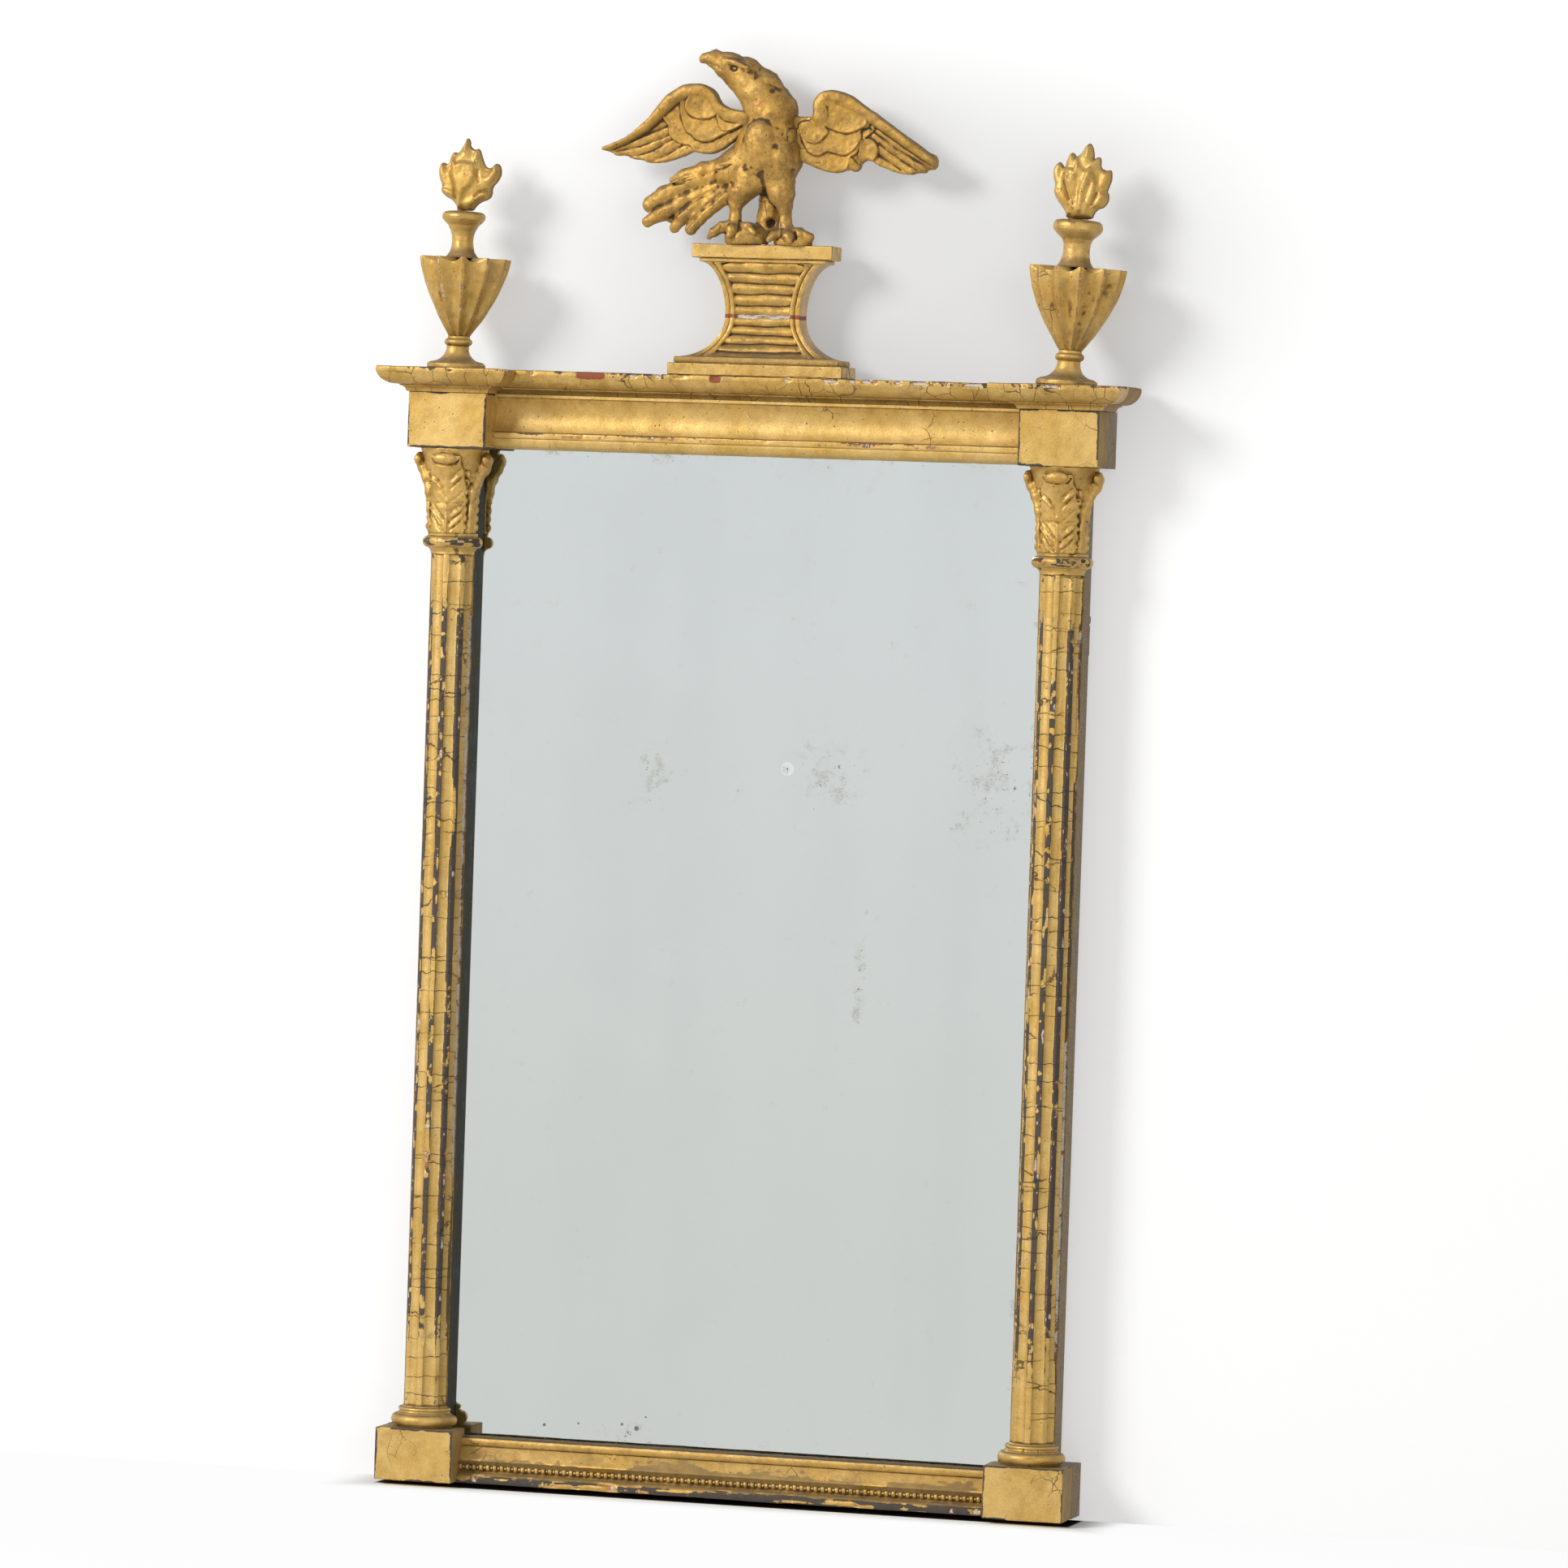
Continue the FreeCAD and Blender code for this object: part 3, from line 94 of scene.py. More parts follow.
class Wire:
    # A node's output that can be reckoned with: each sign adds a Math node to its tree.
    def __init__(self, net, socket):
        self.net, self.socket = net, socket

    def __add__(self, other):
        return self.net.calc("ADD", self, other)

    def __sub__(self, other):
        return self.net.calc("SUBTRACT", self, other)

    def __rsub__(self, other):
        return self.net.calc("SUBTRACT", other, self)

    def __mul__(self, other):
        return self.net.calc("MULTIPLY", self, other)

    def __truediv__(self, other):
        return self.net.calc("DIVIDE", self, other)

    def __neg__(self):
        return self * -1.0

    def __abs__(self):
        return self.net.calc("ABSOLUTE", self)


class Nodes:
    # Short hand for building a node tree, shading or geometry.
    def __init__(self, tree):
        self.tree = tree

    def add(self, kind, inputs=None, **settings):
        item = self.tree.nodes.new(kind)
        for key, value in settings.items():
            setattr(item, key, value)
        for key, value in (inputs or {}).items():
            self.feed(item.inputs[key], value)
        return item

    def feed(self, socket, value):
        if isinstance(value, Wire):
            value = value.socket
        elif isinstance(value, bpy.types.Node):
            value = value.outputs[0]
        if isinstance(value, bpy.types.NodeSocket):
            self.tree.links.new(value, socket)
        else:
            socket.default_value = value

    def out(self, key, kind, inputs=None, **settings):
        return Wire(self, self.add(kind, inputs, **settings).outputs[key])

    def split(self, kind, value):
        # The three parts of a vector ("XYZ") or a colour ("Color").
        return [Wire(self, socket) for socket in self.add("ShaderNodeSeparate" + kind, {0: value}).outputs]

    def calc(self, operation, first, second=0.0, third=0.0, clamp=False):
        numbers = {0: first, 1: second, 2: third}
        return self.out(0, "ShaderNodeMath", numbers, operation=operation, use_clamp=clamp)

    def most(self, *values):
        return reduce(lambda first, second: self.calc("MAXIMUM", first, second), values)

    def ramp(self, value, low, high, bottom=0.0, top=1.0, smooth=True):
        numbers = {"Value": value, "From Min": low, "From Max": high, "To Min": bottom, "To Max": top}
        return self.out(0, "ShaderNodeMapRange", numbers, interpolation_type="SMOOTHSTEP" if smooth else "LINEAR")

    def blend(self, factor, first, second, mode="MIX"):
        first, second = ((*tone, 1) if isinstance(tone, tuple) else tone for tone in (first, second))
        return self.out(2, "ShaderNodeMix", {0: factor, 6: first, 7: second}, data_type="RGBA", blend_type=mode)

    def fade(self, factor, first, second):
        return self.out(0, "ShaderNodeMix", {0: factor, 2: first, 3: second}, data_type="FLOAT")

    def noise(self, place, scale, detail, roughness=0.5):
        settings = {"Vector": place, "Scale": scale, "Detail": detail, "Roughness": roughness}
        return self.out("Fac", "ShaderNodeTexNoise", settings)

    def stretched(self, place, scale):
        return self.add("ShaderNodeMapping", {"Vector": place, "Scale": scale})

    def facing(self):
        return self.split("XYZ", self.out("Normal", "ShaderNodeNewGeometry"))


def freshTree(owner):
    owner.use_nodes = True
    owner.node_tree.nodes.clear()
    net = Nodes(owner.node_tree)
    net.owner = owner
    return net


def startMaterial(name):
    net = freshTree(bpy.data.materials.new(name))
    return net, net.out("Object", "ShaderNodeTexCoord")


def closeMaterial(net, colour, rough, metal, height, strength, distance, specular=0.2):
    bump = net.add("ShaderNodeBump", {"Height": height, "Strength": strength, "Distance": distance})
    body = net.add("ShaderNodeBsdfPrincipled", {"Base Color": colour, "Roughness": rough, "Metallic": metal,
                                                "Specular IOR Level": specular, "Normal": bump})
    net.add("ShaderNodeOutputMaterial", {"Surface": body})
    return net.owner


def makeWorld():
    world = bpy.data.worlds.new("studioWorld")
    bpy.context.scene.world = world
    net = freshTree(world)
    path = net.add("ShaderNodeLightPath").outputs
    seen = net.most(path["Is Camera Ray"], path["Is Glossy Ray"], path["Is Transmission Ray"])
    strength = net.fade(seen, studio["ambient"], studio["shown"])
    glow = net.add("ShaderNodeBackground", {"Color": (*studio["worldTone"], 1), "Strength": strength})
    net.add("ShaderNodeOutputWorld", {"Surface": glow})


def wallSurface(net, tone, x, z):
    # Seen from the front only, so that the back can be looked at; painted shade greys it behind the crest.
    middleX, middleZ, wide, tall, shade = studio["halo"]
    far = [net.calc("POWER", abs(off) / reach, 2.0) for off, reach in ((x - middleX, wide), (z - middleZ, tall))]
    grey = net.ramp(net.calc("SQRT", far[0] + far[1]), 0.2, 1.0, 1.0, 0.0)
    tone = net.blend(grey, tone, tuple(shade * part for part in studio["paper"]))
    surface = net.add("ShaderNodeBsdfDiffuse", {"Color": tone})
    lifted = net.add("ShaderNodeEmission", {"Color": tone, "Strength": studio["wallLift"]})  # thins the shadows
    surface = net.add("ShaderNodeMixShader", {0: studio["wallGlow"], 1: surface, 2: lifted})
    behind = net.out("Backfacing", "ShaderNodeNewGeometry")
    return net.add("ShaderNodeMixShader", {0: behind, 1: surface, 2: net.add("ShaderNodeBsdfTransparent")})


def floorSurface(net, tone, x, y):
    halfWide, middleY, halfDeep = studio["footprint"]
    off = net.most(abs(x) - halfWide, abs(y - middleY) - halfDeep)
    under = net.ramp(off, -0.001, 0.003, 1.0, 0.0)  # painted shadow: the floor below the frame is near black
    surface = net.add("ShaderNodeBsdfDiffuse", {"Color": net.blend(under, tone, studio["slit"])})
    glow = net.ramp(off, 0.003, 0.04, 0.0, studio["floorGlow"])
    path = net.add("ShaderNodeLightPath").outputs
    white = net.add("ShaderNodeEmission", {"Color": (*studio["worldTone"], 1), "Strength": studio["shown"]})
    share = net.fade(path["Is Camera Ray"], path["Is Glossy Ray"], glow)
    return net.add("ShaderNodeMixShader", {0: share, 1: surface, 2: white})


def paperSheet(name, corners):
    # Paper that takes shadows; metal and glass see it as pale as the world round it.
    mesh = bpy.data.meshes.new(name)
    mesh.from_pydata(corners, [], [(0, 1, 2, 3)])
    net, place = startMaterial(name + "Paper")
    x, y, z = net.split("XYZ", place)
    low = tuple(tone * studio["mottle"] for tone in studio["paper"])
    tone = net.blend(net.noise(place, 2.2, 3.0), low, studio["paper"])
    surface = wallSurface(net, tone, x, z) if name == "wall" else floorSurface(net, tone, x, y)
    net.add("ShaderNodeOutputMaterial", {"Surface": surface})
    mesh.materials.append(net.owner)
    return placed(name, mesh)


def makeStage():
    half, z = studio["floorHalf"], studio["floorZ"]
    floor = paperSheet("floor", [(-half, -half, z), (half, -half, z), (half, half, z), (-half, half, z)])
    half, y, low, high = studio["wallHalf"], studio["wallY"], studio["wallLow"], studio["wallHigh"]
    wall = paperSheet("wall", [(-half, y, low), (half, y, low), (half, y, high), (-half, y, high)])
    for rays in ("visible_diffuse", "visible_glossy", "visible_transmission", "visible_shadow"):
        setattr(wall, rays, False)


# finishes

gold = {
    "bright": (0.730, 0.510, 0.190), "deep": (0.580, 0.365, 0.090), "fall": (0.26, 0.37, 0.58),
    "patina": (0.225, 0.125, 0.036), "amber": (0.390, 0.190, 0.016), "brown": (0.110, 0.056, 0.017),
    "dirtAndShade": (0.042, 0.027, 0.014), "slate": (0.030, 0.032, 0.038), "gesso": (0.680, 0.610, 0.530), "gessoShade": 0.6,
    "bole": (0.260, 0.075, 0.035), "bronze": (0.235, 0.170, 0.084), "dust": (0.150, 0.105, 0.058),
    "metal": 0.45, "bareMetal": 0.05, "bareRough": 0.7, "specular": 0.25, "bump": 0.7, "bumpDistance": 0.0008,
    "crackScale": 62.0, "crackWander": (0.004, 0.004, 0.004), "pitScale": 260.0,
    # scale, detail and roughness of each noise
    "broad": (30.0, 4.0, 0.65), "middle": (190.0, 5.0, 0.7), "fine": (1100.0, 3.0, 0.7), "patchy": (120.0, 6.0, 0.72),
    "spread": (15.0, 2.0, 0.65), "stain": (58.0, 7.0, 0.74), "cracked": (24.0, 2.0, 0.65),
    "speckle": (260.0, 4.0, 0.75),
}


def giltMaterial(name, patina, wear, cracks, dirtAndShade, specks=0.5, rough=0.40, dustFrom=0.5, crackStretch=(1, 1, 1)):
    # Water-gilt leaf on bole and gesso. Marks: red chips, green bole, blue dull paint, alpha worn to the black
    # underlayer. Relief: crests above zero, hollows below.
    net, place = startMaterial(name)
    marks = net.add("ShaderNodeAttribute", attribute_name="marks").outputs
    chip, red, dull = net.split("Color", marks["Color"])
    relief = net.out("Fac", "ShaderNodeAttribute", attribute_name="relief")
    broad, middle, fine = (net.noise(place, *gold[key]) for key in ("broad", "middle", "fine"))
    patchy, spread, stain = (net.noise(place, *gold[key]) for key in ("patchy", "spread", "stain"))

    deep, bright = (tuple(part * (1 - fall * patina) for part, fall in zip(gold[key], gold["fall"]))
                    for key in ("deep", "bright"))
    colour = net.blend(net.ramp(broad, 0.3, 0.72), deep, bright)
    colour = net.blend(net.ramp(middle, 0.4, 0.7, 0.0, 0.35), colour, bright)
    colour = net.blend(net.ramp(stain, 0.40, 0.68) * (0.95 * patina), colour, gold["patina"])
    grain = net.ramp(fine, 0.28, 0.72, 0.74, 1.14, False)
    colour = net.blend(1.0, colour, net.add("ShaderNodeCombineColor", {0: grain, 1: grain, 2: grain}), "MULTIPLY")

    # painted shade in the hollows, partly grime: amber, then brown, then near black in the deepest
    hollow = net.ramp(-relief, 0.05, 1.2)
    colour = net.blend(hollow * 0.75, colour, gold["amber"])
    deepShadeAndDirt = net.ramp(hollow + middle * 0.7, 0.62, 1.15) * (0.85 * dirtAndShade)
    colour = net.blend(deepShadeAndDirt, colour, gold["brown"])
    colour = net.blend(net.ramp(hollow + middle * 0.8, 0.95, 1.6) * dirtAndShade, colour, gold["dirtAndShade"])

    # hair cracks in the gesso
    wander = net.out("Color", "ShaderNodeTexNoise", {"Vector": place, "Scale": 130.0, "Detail": 3.0})
    bent = net.add("ShaderNodeVectorMath", {0: wander, 1: gold["crackWander"], 2: net.stretched(place, crackStretch)},
                   operation="MULTIPLY_ADD")
    seam = net.out("Distance", "ShaderNodeTexVoronoi", {"Vector": bent, "Scale": gold["crackScale"]},
                   feature="DISTANCE_TO_EDGE")
    few = net.ramp(net.noise(place, *gold["cracked"]), 0.72 - 0.42 * cracks, 0.8 - 0.3 * cracks, 0.0, 0.85)
    crack = net.ramp(seam, 0.004, 0.022, 1.0, 0.0) * few
    colour = net.blend(crack, colour, gold["dirtAndShade"])

    # flight holes and flyspecks
    pits = net.add("ShaderNodeTexVoronoi", {"Vector": place, "Scale": gold["pitScale"]}).outputs
    chance, size, _ = net.split("Color", pits["Color"])
    few = net.ramp(chance, 0.985 - 0.3 * specks, 0.99 - 0.3 * specks)
    dot = net.ramp(pits["Distance"], size * 0.10, 0.20, 1.0, 0.0) * few
    colour = net.blend(dot * 0.8, colour, gold["dirtAndShade"])

    # worn crests: black underlayer, gesso where it has chipped
    crest = net.ramp(relief, 0.2, 1.2, 0.0, 0.5 * wear)
    worn = (crest + marks["Alpha"]) * 0.75 + patchy + net.ramp(spread, 0.3, 0.75, -0.15, 0.15, False)
    lost = net.ramp(worn, 1.06, 1.13)
    colour = net.blend(lost * 0.92, colour, gold["slate"])
    chipEdge = chip + (patchy - 0.5) * 1.1
    chipped = net.ramp(chipEdge, 0.5, 0.56)
    colour = net.blend(net.ramp(chipEdge, 0.36, 0.5) * 0.75, colour, gold["bole"])
    shaded = tuple(gold["gessoShade"] * tone for tone in gold["gesso"])
    colour = net.blend(chipped, colour, net.blend(net.ramp(fine, 0.35, 0.65), shaded, gold["gesso"]))
    redShown = net.ramp(red + (middle - 0.5) * 0.9, 0.46, 0.6)
    colour = net.blend(redShown, colour, gold["bole"])

    # dull bronze paint on the returns, and dust on what faces up
    dullTone = net.blend(net.ramp(net.noise(place, *gold["speckle"]), 0.3, 0.72), gold["patina"], gold["bronze"])
    dullTone = net.blend(net.ramp(broad, 0.4, 0.75, 0.0, 0.4), dullTone, gold["deep"])
    painted = net.ramp(dull + middle * 0.2, 0.45, 0.75)
    colour = net.blend(painted * 0.9, colour, dullTone)
    dusty = net.ramp(net.facing()[2], dustFrom, 0.95) * net.ramp(middle, 0.25, 0.6, 0.4, 0.9)
    colour = net.blend(dusty, colour, gold["dust"])

    bare = net.most(lost, chipped, redShown, crack, net.most(painted, dusty, deepShadeAndDirt) * 0.85)
    rough = net.fade(bare, net.ramp(middle, 0.3, 0.7, rough - 0.08, rough + 0.14, False), gold["bareRough"])
    metal = net.fade(bare, gold["metal"], gold["bareMetal"])
    height = middle * 0.5 + fine * 0.18 + stain * 0.25 - (chipped * 0.5 + lost * 0.2) - net.most(crack, dot) * 0.6
    return closeMaterial(net, colour, rough, metal, height, gold["bump"], gold["bumpDistance"], gold["specular"])


# mesh building

def grainNoise(points, size, seed):
    # Smooth value noise from -1 to 1, the same on every run.
    cell = np.floor(points / size).astype(np.int64)
    part = points / size - cell
    part = part * part * (3 - 2 * part)
    total = np.zeros(points.shape[:-1])
    for corner in np.ndindex(2, 2, 2):
        step = corner[::-1]
        spot = cell + step
        mixed = (spot[..., 0] * 73856093) ^ (spot[..., 1] * 19349663) ^ (spot[..., 2] * 83492791) ^ (seed * 40503)
        mixed = ((mixed ^ (mixed >> 13)) * 1274126177) & 0xFFFFFFFF
        value = ((mixed ^ (mixed >> 15)) & 0xFFFF) / 32767.5 - 1
        total += value * np.prod(np.where(step, part, 1 - part), axis=-1)
    return total


def smoothStep(value, low, high):
    share = np.clip((value - low) / (high - low), 0, 1)
    return share * share * (3 - 2 * share)


def mottled(points, size, seed, low, high, stretch=(1, 1, 1)):
    return smoothStep(grainNoise(points * stretch, size, seed), low, high)


def scattered(points, seed, often):
    # Chips here and there, as an amount for the marks.
    return 0.55 * mottled(points, 8, seed, 0.85 - often, 1.2 - often)


def uneven(points, seed, wave, sizes, share):
    # The old surface, broadly and finely out of true.
    return grainNoise(points, sizes[0], seed) * wave + grainNoise(points, sizes[1], seed + 1) * wave * share


def unit(vectors):
    return vectors / np.linalg.norm(vectors, axis=1, keepdims=True).clip(1e-9)


def meshFrom(name, points, faces, sharp=None):
    # points in millimetres; faces is one index array or several of different corner counts.
    groups = faces if isinstance(faces, list) else [faces]
    groups = [np.asarray(group, np.int32) for group in groups if len(group)]
    loops = np.concatenate([group.ravel() for group in groups])
    counts = np.concatenate([np.full(len(group), group.shape[1]) for group in groups])
    starts = np.concatenate([[0], np.cumsum(counts)[:-1]]).astype(np.int32)
    mesh = bpy.data.meshes.new(name)
    mesh.vertices.add(len(points))
    mesh.vertices.foreach_set("co", (np.asarray(points, np.float32) * 0.001).ravel())
    mesh.loops.add(len(loops))
    mesh.loops.foreach_set("vertex_index", loops)
    mesh.polygons.add(len(starts))
    mesh.polygons.foreach_set("loop_start", starts)
    mesh.update(calc_edges=True)
    mesh.validate()
    mesh.polygons.foreach_set("use_smooth", np.ones(len(mesh.polygons), bool))
    if sharp:
        mesh.set_sharp_from_angle(angle=math.radians(sharp))
    return placed(name, mesh)


def readArray(items, field, width, kind=np.float32):
    flat = np.empty(len(items) * width, kind)
    items.foreach_get(field, flat)
    return flat.reshape(-1, width)


def readPoints(mesh):
    return readArray(mesh.vertices, "co", 3).astype(float) * 1000


def readNormals(mesh):
    return readArray(mesh.vertex_normals, "vector", 3).astype(float)


def movePoints(item, points):
    item.data.vertices.foreach_set("co", (points * 0.001).astype(np.float32).ravel())
    item.data.update()


def outwardFaces(item):
    work = bmesh.new()
    work.from_mesh(item.data)
    bmesh.ops.recalc_face_normals(work, faces=work.faces)
    work.to_mesh(item.data)
    work.free()
    item.data.update()


def evened(points, edges, passes):
    # Points moved towards the middle of their neighbours.
    size = len(points)
    count = np.bincount(edges.ravel(), minlength=size).clip(1)
    first, second = edges.T
    columns = []
    for values in points.T:
        for _ in range(passes):
            total = np.bincount(first, values[second], size) + np.bincount(second, values[first], size)
            values = 0.5 * values + 0.5 * total / count
        columns.append(values)
    return np.stack(columns, 1)


def reliefOf(mesh, reach):
    # Crests above zero and hollows below: how far each point stands off the evened surface, near and wide, and for a
    # reach above 1 wider still.
    points, normals, edges = readPoints(mesh), readNormals(mesh), readArray(mesh.edges, "vertices", 2, np.int32)
    near = evened(points, edges, 5)
    wide = evened(near, edges, 45)
    small, large = (np.einsum("ij,ij->i", points - level, normals) for level in (near, wide))
    relief = (small / 0.4 + large / 2.0) * min(reach, 1)
    if reach > 1:
        relief += np.einsum("ij,ij->i", points - evened(wide, edges, 120), normals) * (reach - 1)
    return np.clip(relief, -2, 2)


def finishPiece(item, material, node, chip=None, red=None, dull=None, slate=None, reach=1.0, relief=None):
    mesh = item.data
    relief = reliefOf(mesh, reach) if relief is None else relief
    layer = mesh.attributes.new("relief", "FLOAT", "POINT")
    layer.data.foreach_set("value", np.asarray(relief, np.float32))
    marks = np.zeros((len(mesh.vertices), 4), np.float32)
    for column, values in enumerate((chip, red, dull, slate)):
        if values is not None:
            marks[:, column] = np.clip(values, 0, 1)
    layer = mesh.attributes.new("marks", "FLOAT_COLOR", "POINT")
    layer.data.foreach_set("color", marks.ravel())
    mesh.materials.clear()
    mesh.materials.append(material)
    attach(item, "frame")
    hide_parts(node)


def gridFaces(rows, columns, closed=False):
    r, c = np.meshgrid(np.arange(rows - 1), np.arange(columns if closed else columns - 1), indexing="ij")
    r, c = r.ravel(), c.ravel()
    r2, c2 = r + 1, (c + 1) % columns
    return np.stack([r * columns + c, r2 * columns + c, r2 * columns + c2, r * columns + c2], 1)


def tubeFaces(rows, columns):
    # A closed grid and its two flat ends.
    ring = np.arange(columns)
    return [gridFaces(rows, columns, True), ring[None], ((rows - 1) * columns + ring)[::-1][None]]


def sampleLine(corners, step):
    # Points along a polyline, about step apart, keeping its corners.
    corners = np.asarray(corners, float)
    pieces = [corners[:1]]
    for start, end in zip(corners[:-1], corners[1:]):
        count = max(1, int(round(np.linalg.norm(end - start) / step)))
        pieces.append(start + (end - start) * ((np.arange(count) + 1)[:, None] / count))
    return np.concatenate(pieces)


def arc(start, end, bulge, steps):
    # Curve between two profile points; the bulge is its rise over half the chord, to the left of the way it runs.
    start, end = np.asarray(start, float), np.asarray(end, float)
    chord = end - start
    half = np.linalg.norm(chord) / 2
    rise = bulge * half
    radius = (half * half + rise * rise) / (2 * abs(rise))
    side = np.array([-chord[1], chord[0]]) / (2 * half) * np.sign(bulge)
    centre = (start + end) / 2 - side * (radius - abs(rise))
    first, last = (math.atan2(*(point - centre)[::-1]) for point in (start, end))
    if bulge > 0 and last > first:  # bends left, so the centre is on the right and the angle falls
        last -= 2 * math.pi
    elif bulge < 0 and last < first:
        last += 2 * math.pi
    return [tuple(centre + radius * np.array([math.cos(a), math.sin(a)])) for a in np.linspace(first, last, steps)]


def sameSpots(points, fineness):
    # The first of each group of points in one spot, and each point's group.
    spots = np.round(points * fineness).astype(np.int64)
    _, first, back = np.unique(spots, axis=0, return_index=True, return_inverse=True)
    return first, back.ravel()


def wornBox(low, high, step, ease, wave, chips, chipDepth, seed):
    # A planed block with eased, knocked arrises: its points, faces, normals and chip marks.
    low, high = np.asarray(low, float), np.asarray(high, float)
    band = ease * np.array([0, 0.3, 0.65, 1.0, 1.6])
    lines = []
    for start, end in zip(low, high):
        inner = np.linspace(start + band[-1], end - band[-1], max(2, int((end - start) / step)))
        lines.append(np.unique(np.concatenate([start + band, inner, end - band])))
    corners, faces, base = [], [], 0
    for axis in range(3):
        u, v = (axis + 1) % 3, (axis + 2) % 3
        first, second = np.meshgrid(lines[u], lines[v], indexing="ij")
        quads = gridFaces(len(lines[u]), len(lines[v]))
        for level, order in ((low[axis], -1), (high[axis], 1)):
            sheet = np.empty((first.size, 3))
            sheet[:, axis], sheet[:, u], sheet[:, v] = level, first.ravel(), second.ravel()
            faces.append(base + quads[:, ::order])
            corners.append(sheet)
            base += len(sheet)
    corners = np.concatenate(corners)
    first, back = sameSpots(corners, 1000)
    points = corners[first]
    core = np.clip(points, low + ease, high - ease)
    out = points - core
    normals = unit(out)
    edge = (np.sort(np.abs(out), axis=1)[:, 1] > ease * 0.25).astype(float)  # near an arris
    points = core + normals * ease
    points += normals * uneven(points, seed, wave, (17, 6), 0.4)[:, None]
    chip = mottled(points, 8, seed + 2, 0.75 - chips, 1.25 - chips) * edge
    points -= normals * (chip * chipDepth)[:, None]
    return points, back[np.concatenate(faces)], normals, chip


def moulding(name, run, start, end, outward, mitres):
    # A closed profile (proud, height) run from start to end on plan; a mitre of 1 lengthens, -1 shortens with reach.
    profile = sampleLine(run["profile"] + run["profile"][:1], run["spacing"])[:-1]
    start, end, outward = (np.asarray(value, float) for value in (start, end, outward))
    length = np.linalg.norm(end - start)
    along = (end - start) / length
    count = max(3, int(length / run["step"]))
    proud, height = profile[:, 0][None], profile[:, 1][None]
    share = np.linspace(0, 1, count)[:, None]
    travel = -mitres[0] * proud + share * (length + (mitres[0] + mitres[1]) * proud)
    ahead = np.roll(profile, -1, 0) - np.roll(profile, 1, 0)
    normal = unit(np.stack([-ahead[:, 1], ahead[:, 0]], 1))
    after = np.roll(profile, -1, 0)
    turns = np.sum(profile[:, 0] * after[:, 1] - after[:, 0] * profile[:, 1]) > 0
    if turns:
        normal = -normal
    where = np.stack([start[0] + along[0] * travel + outward[0] * proud,
                      start[1] + along[1] * travel + outward[1] * proud, run["z"] + height + 0 * travel], -1)
    low, high, least = run["chipBand"]
    band = smoothStep(height, low, low + 1.2) * (1 - smoothStep(height, high, high + 0.8))
    band = band * smoothStep(proud, least, least + 1)
    seed = run["seed"]
    chip = mottled(where, 6.5, seed + 2, 0.75 - run["chips"], 1.2 - run["chips"]) * band
    shift = (uneven(where, seed, run["wave"], (15, 5), 0.35) - chip * run["chipDepth"]) * (proud > 0.6)
    push = np.stack([outward[0] * normal[:, 0], outward[1] * normal[:, 0], normal[:, 1]], -1)
    points = (where + push * shift[..., None]).reshape(-1, 3)
    faces = tubeFaces(count, len(profile))
    if (along[1] * outward[0] - along[0] * outward[1] < 0) != turns:
        faces = [group[:, ::-1] for group in faces]
    item = meshFrom(name, points, faces, 55)
    outwardFaces(item)
    return item, points, chip.ravel()


def turnedPiece(name, profile, centre, seed, steps, half, wave, chips, chipDepth, lean=0.0, foot=None):
    # A lathe form; a half one is closed by a flat back on its axis.
    if half:
        angles = np.linspace(-math.pi / 2, math.pi / 2, steps)
    else:
        angles = np.arange(steps) * 2 * math.pi / steps
    radius, height = profile[:, 0][:, None], profile[:, 1][:, None]
    where = np.stack([radius * np.sin(angles), -radius * np.cos(angles), height + 0 * angles], -1)
    ahead = np.gradient(profile, axis=0)
    normal = unit(np.stack([ahead[:, 1], -ahead[:, 0]], 1))[:, :, None]
    world = where + np.asarray(centre, float)
    chip = mottled(world, 6, seed + 2, 0.75 - chips, 1.2 - chips)
    shift = (uneven(world, seed, wave, (13, 4.5), 0.4) - chip * chipDepth) * (radius > 0.5)
    if half:
        shift[:, [0, -1]] = 0
    push = np.stack([normal[:, 0] * np.sin(angles), -normal[:, 0] * np.cos(angles), normal[:, 1] + 0 * angles], -1)
    points = (world + push * shift[..., None]).reshape(-1, 3)
    first, back = sameSpots(points, 2000)
    points, chip = points[first], chip.ravel()[first]
    if lean:
        points = leaned(points, foot, lean)
    item = meshFrom(name, points, withoutDoubles(back[gridFaces(len(profile), steps, True)]), 60)
    outwardFaces(item)
    return item, points, chip


def withoutDoubles(quads):
    # Quads whose corners differ, and triangles where two corners fell together.
    same = quads == np.roll(quads, -1, 1)
    cut = same.sum(1) == 1
    dropped = np.minimum(same[cut].argmax(1) + 1, 3)
    return [quads[~same.any(1)], quads[cut][np.arange(4) != dropped[:, None]].reshape(-1, 3)]


def leaned(points, foot, degrees):
    # The old finials stand a little askew, turned about the base of the foot.
    angle = math.radians(degrees)
    x, z = points[:, 0] - foot[0], points[:, 2] - foot[2]
    moved = points.copy()
    moved[:, 0] = foot[0] + x * math.cos(angle) + z * math.sin(angle)
    moved[:, 2] = foot[2] - x * math.sin(angle) + z * math.cos(angle)
    return moved


# clay: carved forms as a distance field on a grid, turned into a mesh

def melted(first, second, soft):
    # The smaller of two distances, with a soft seam; of both negated, the larger.
    share = np.clip(0.5 + 0.5 * (first - second) / soft, 0, 1)
    return first + (second - first) * share - soft * share * (1 - share)


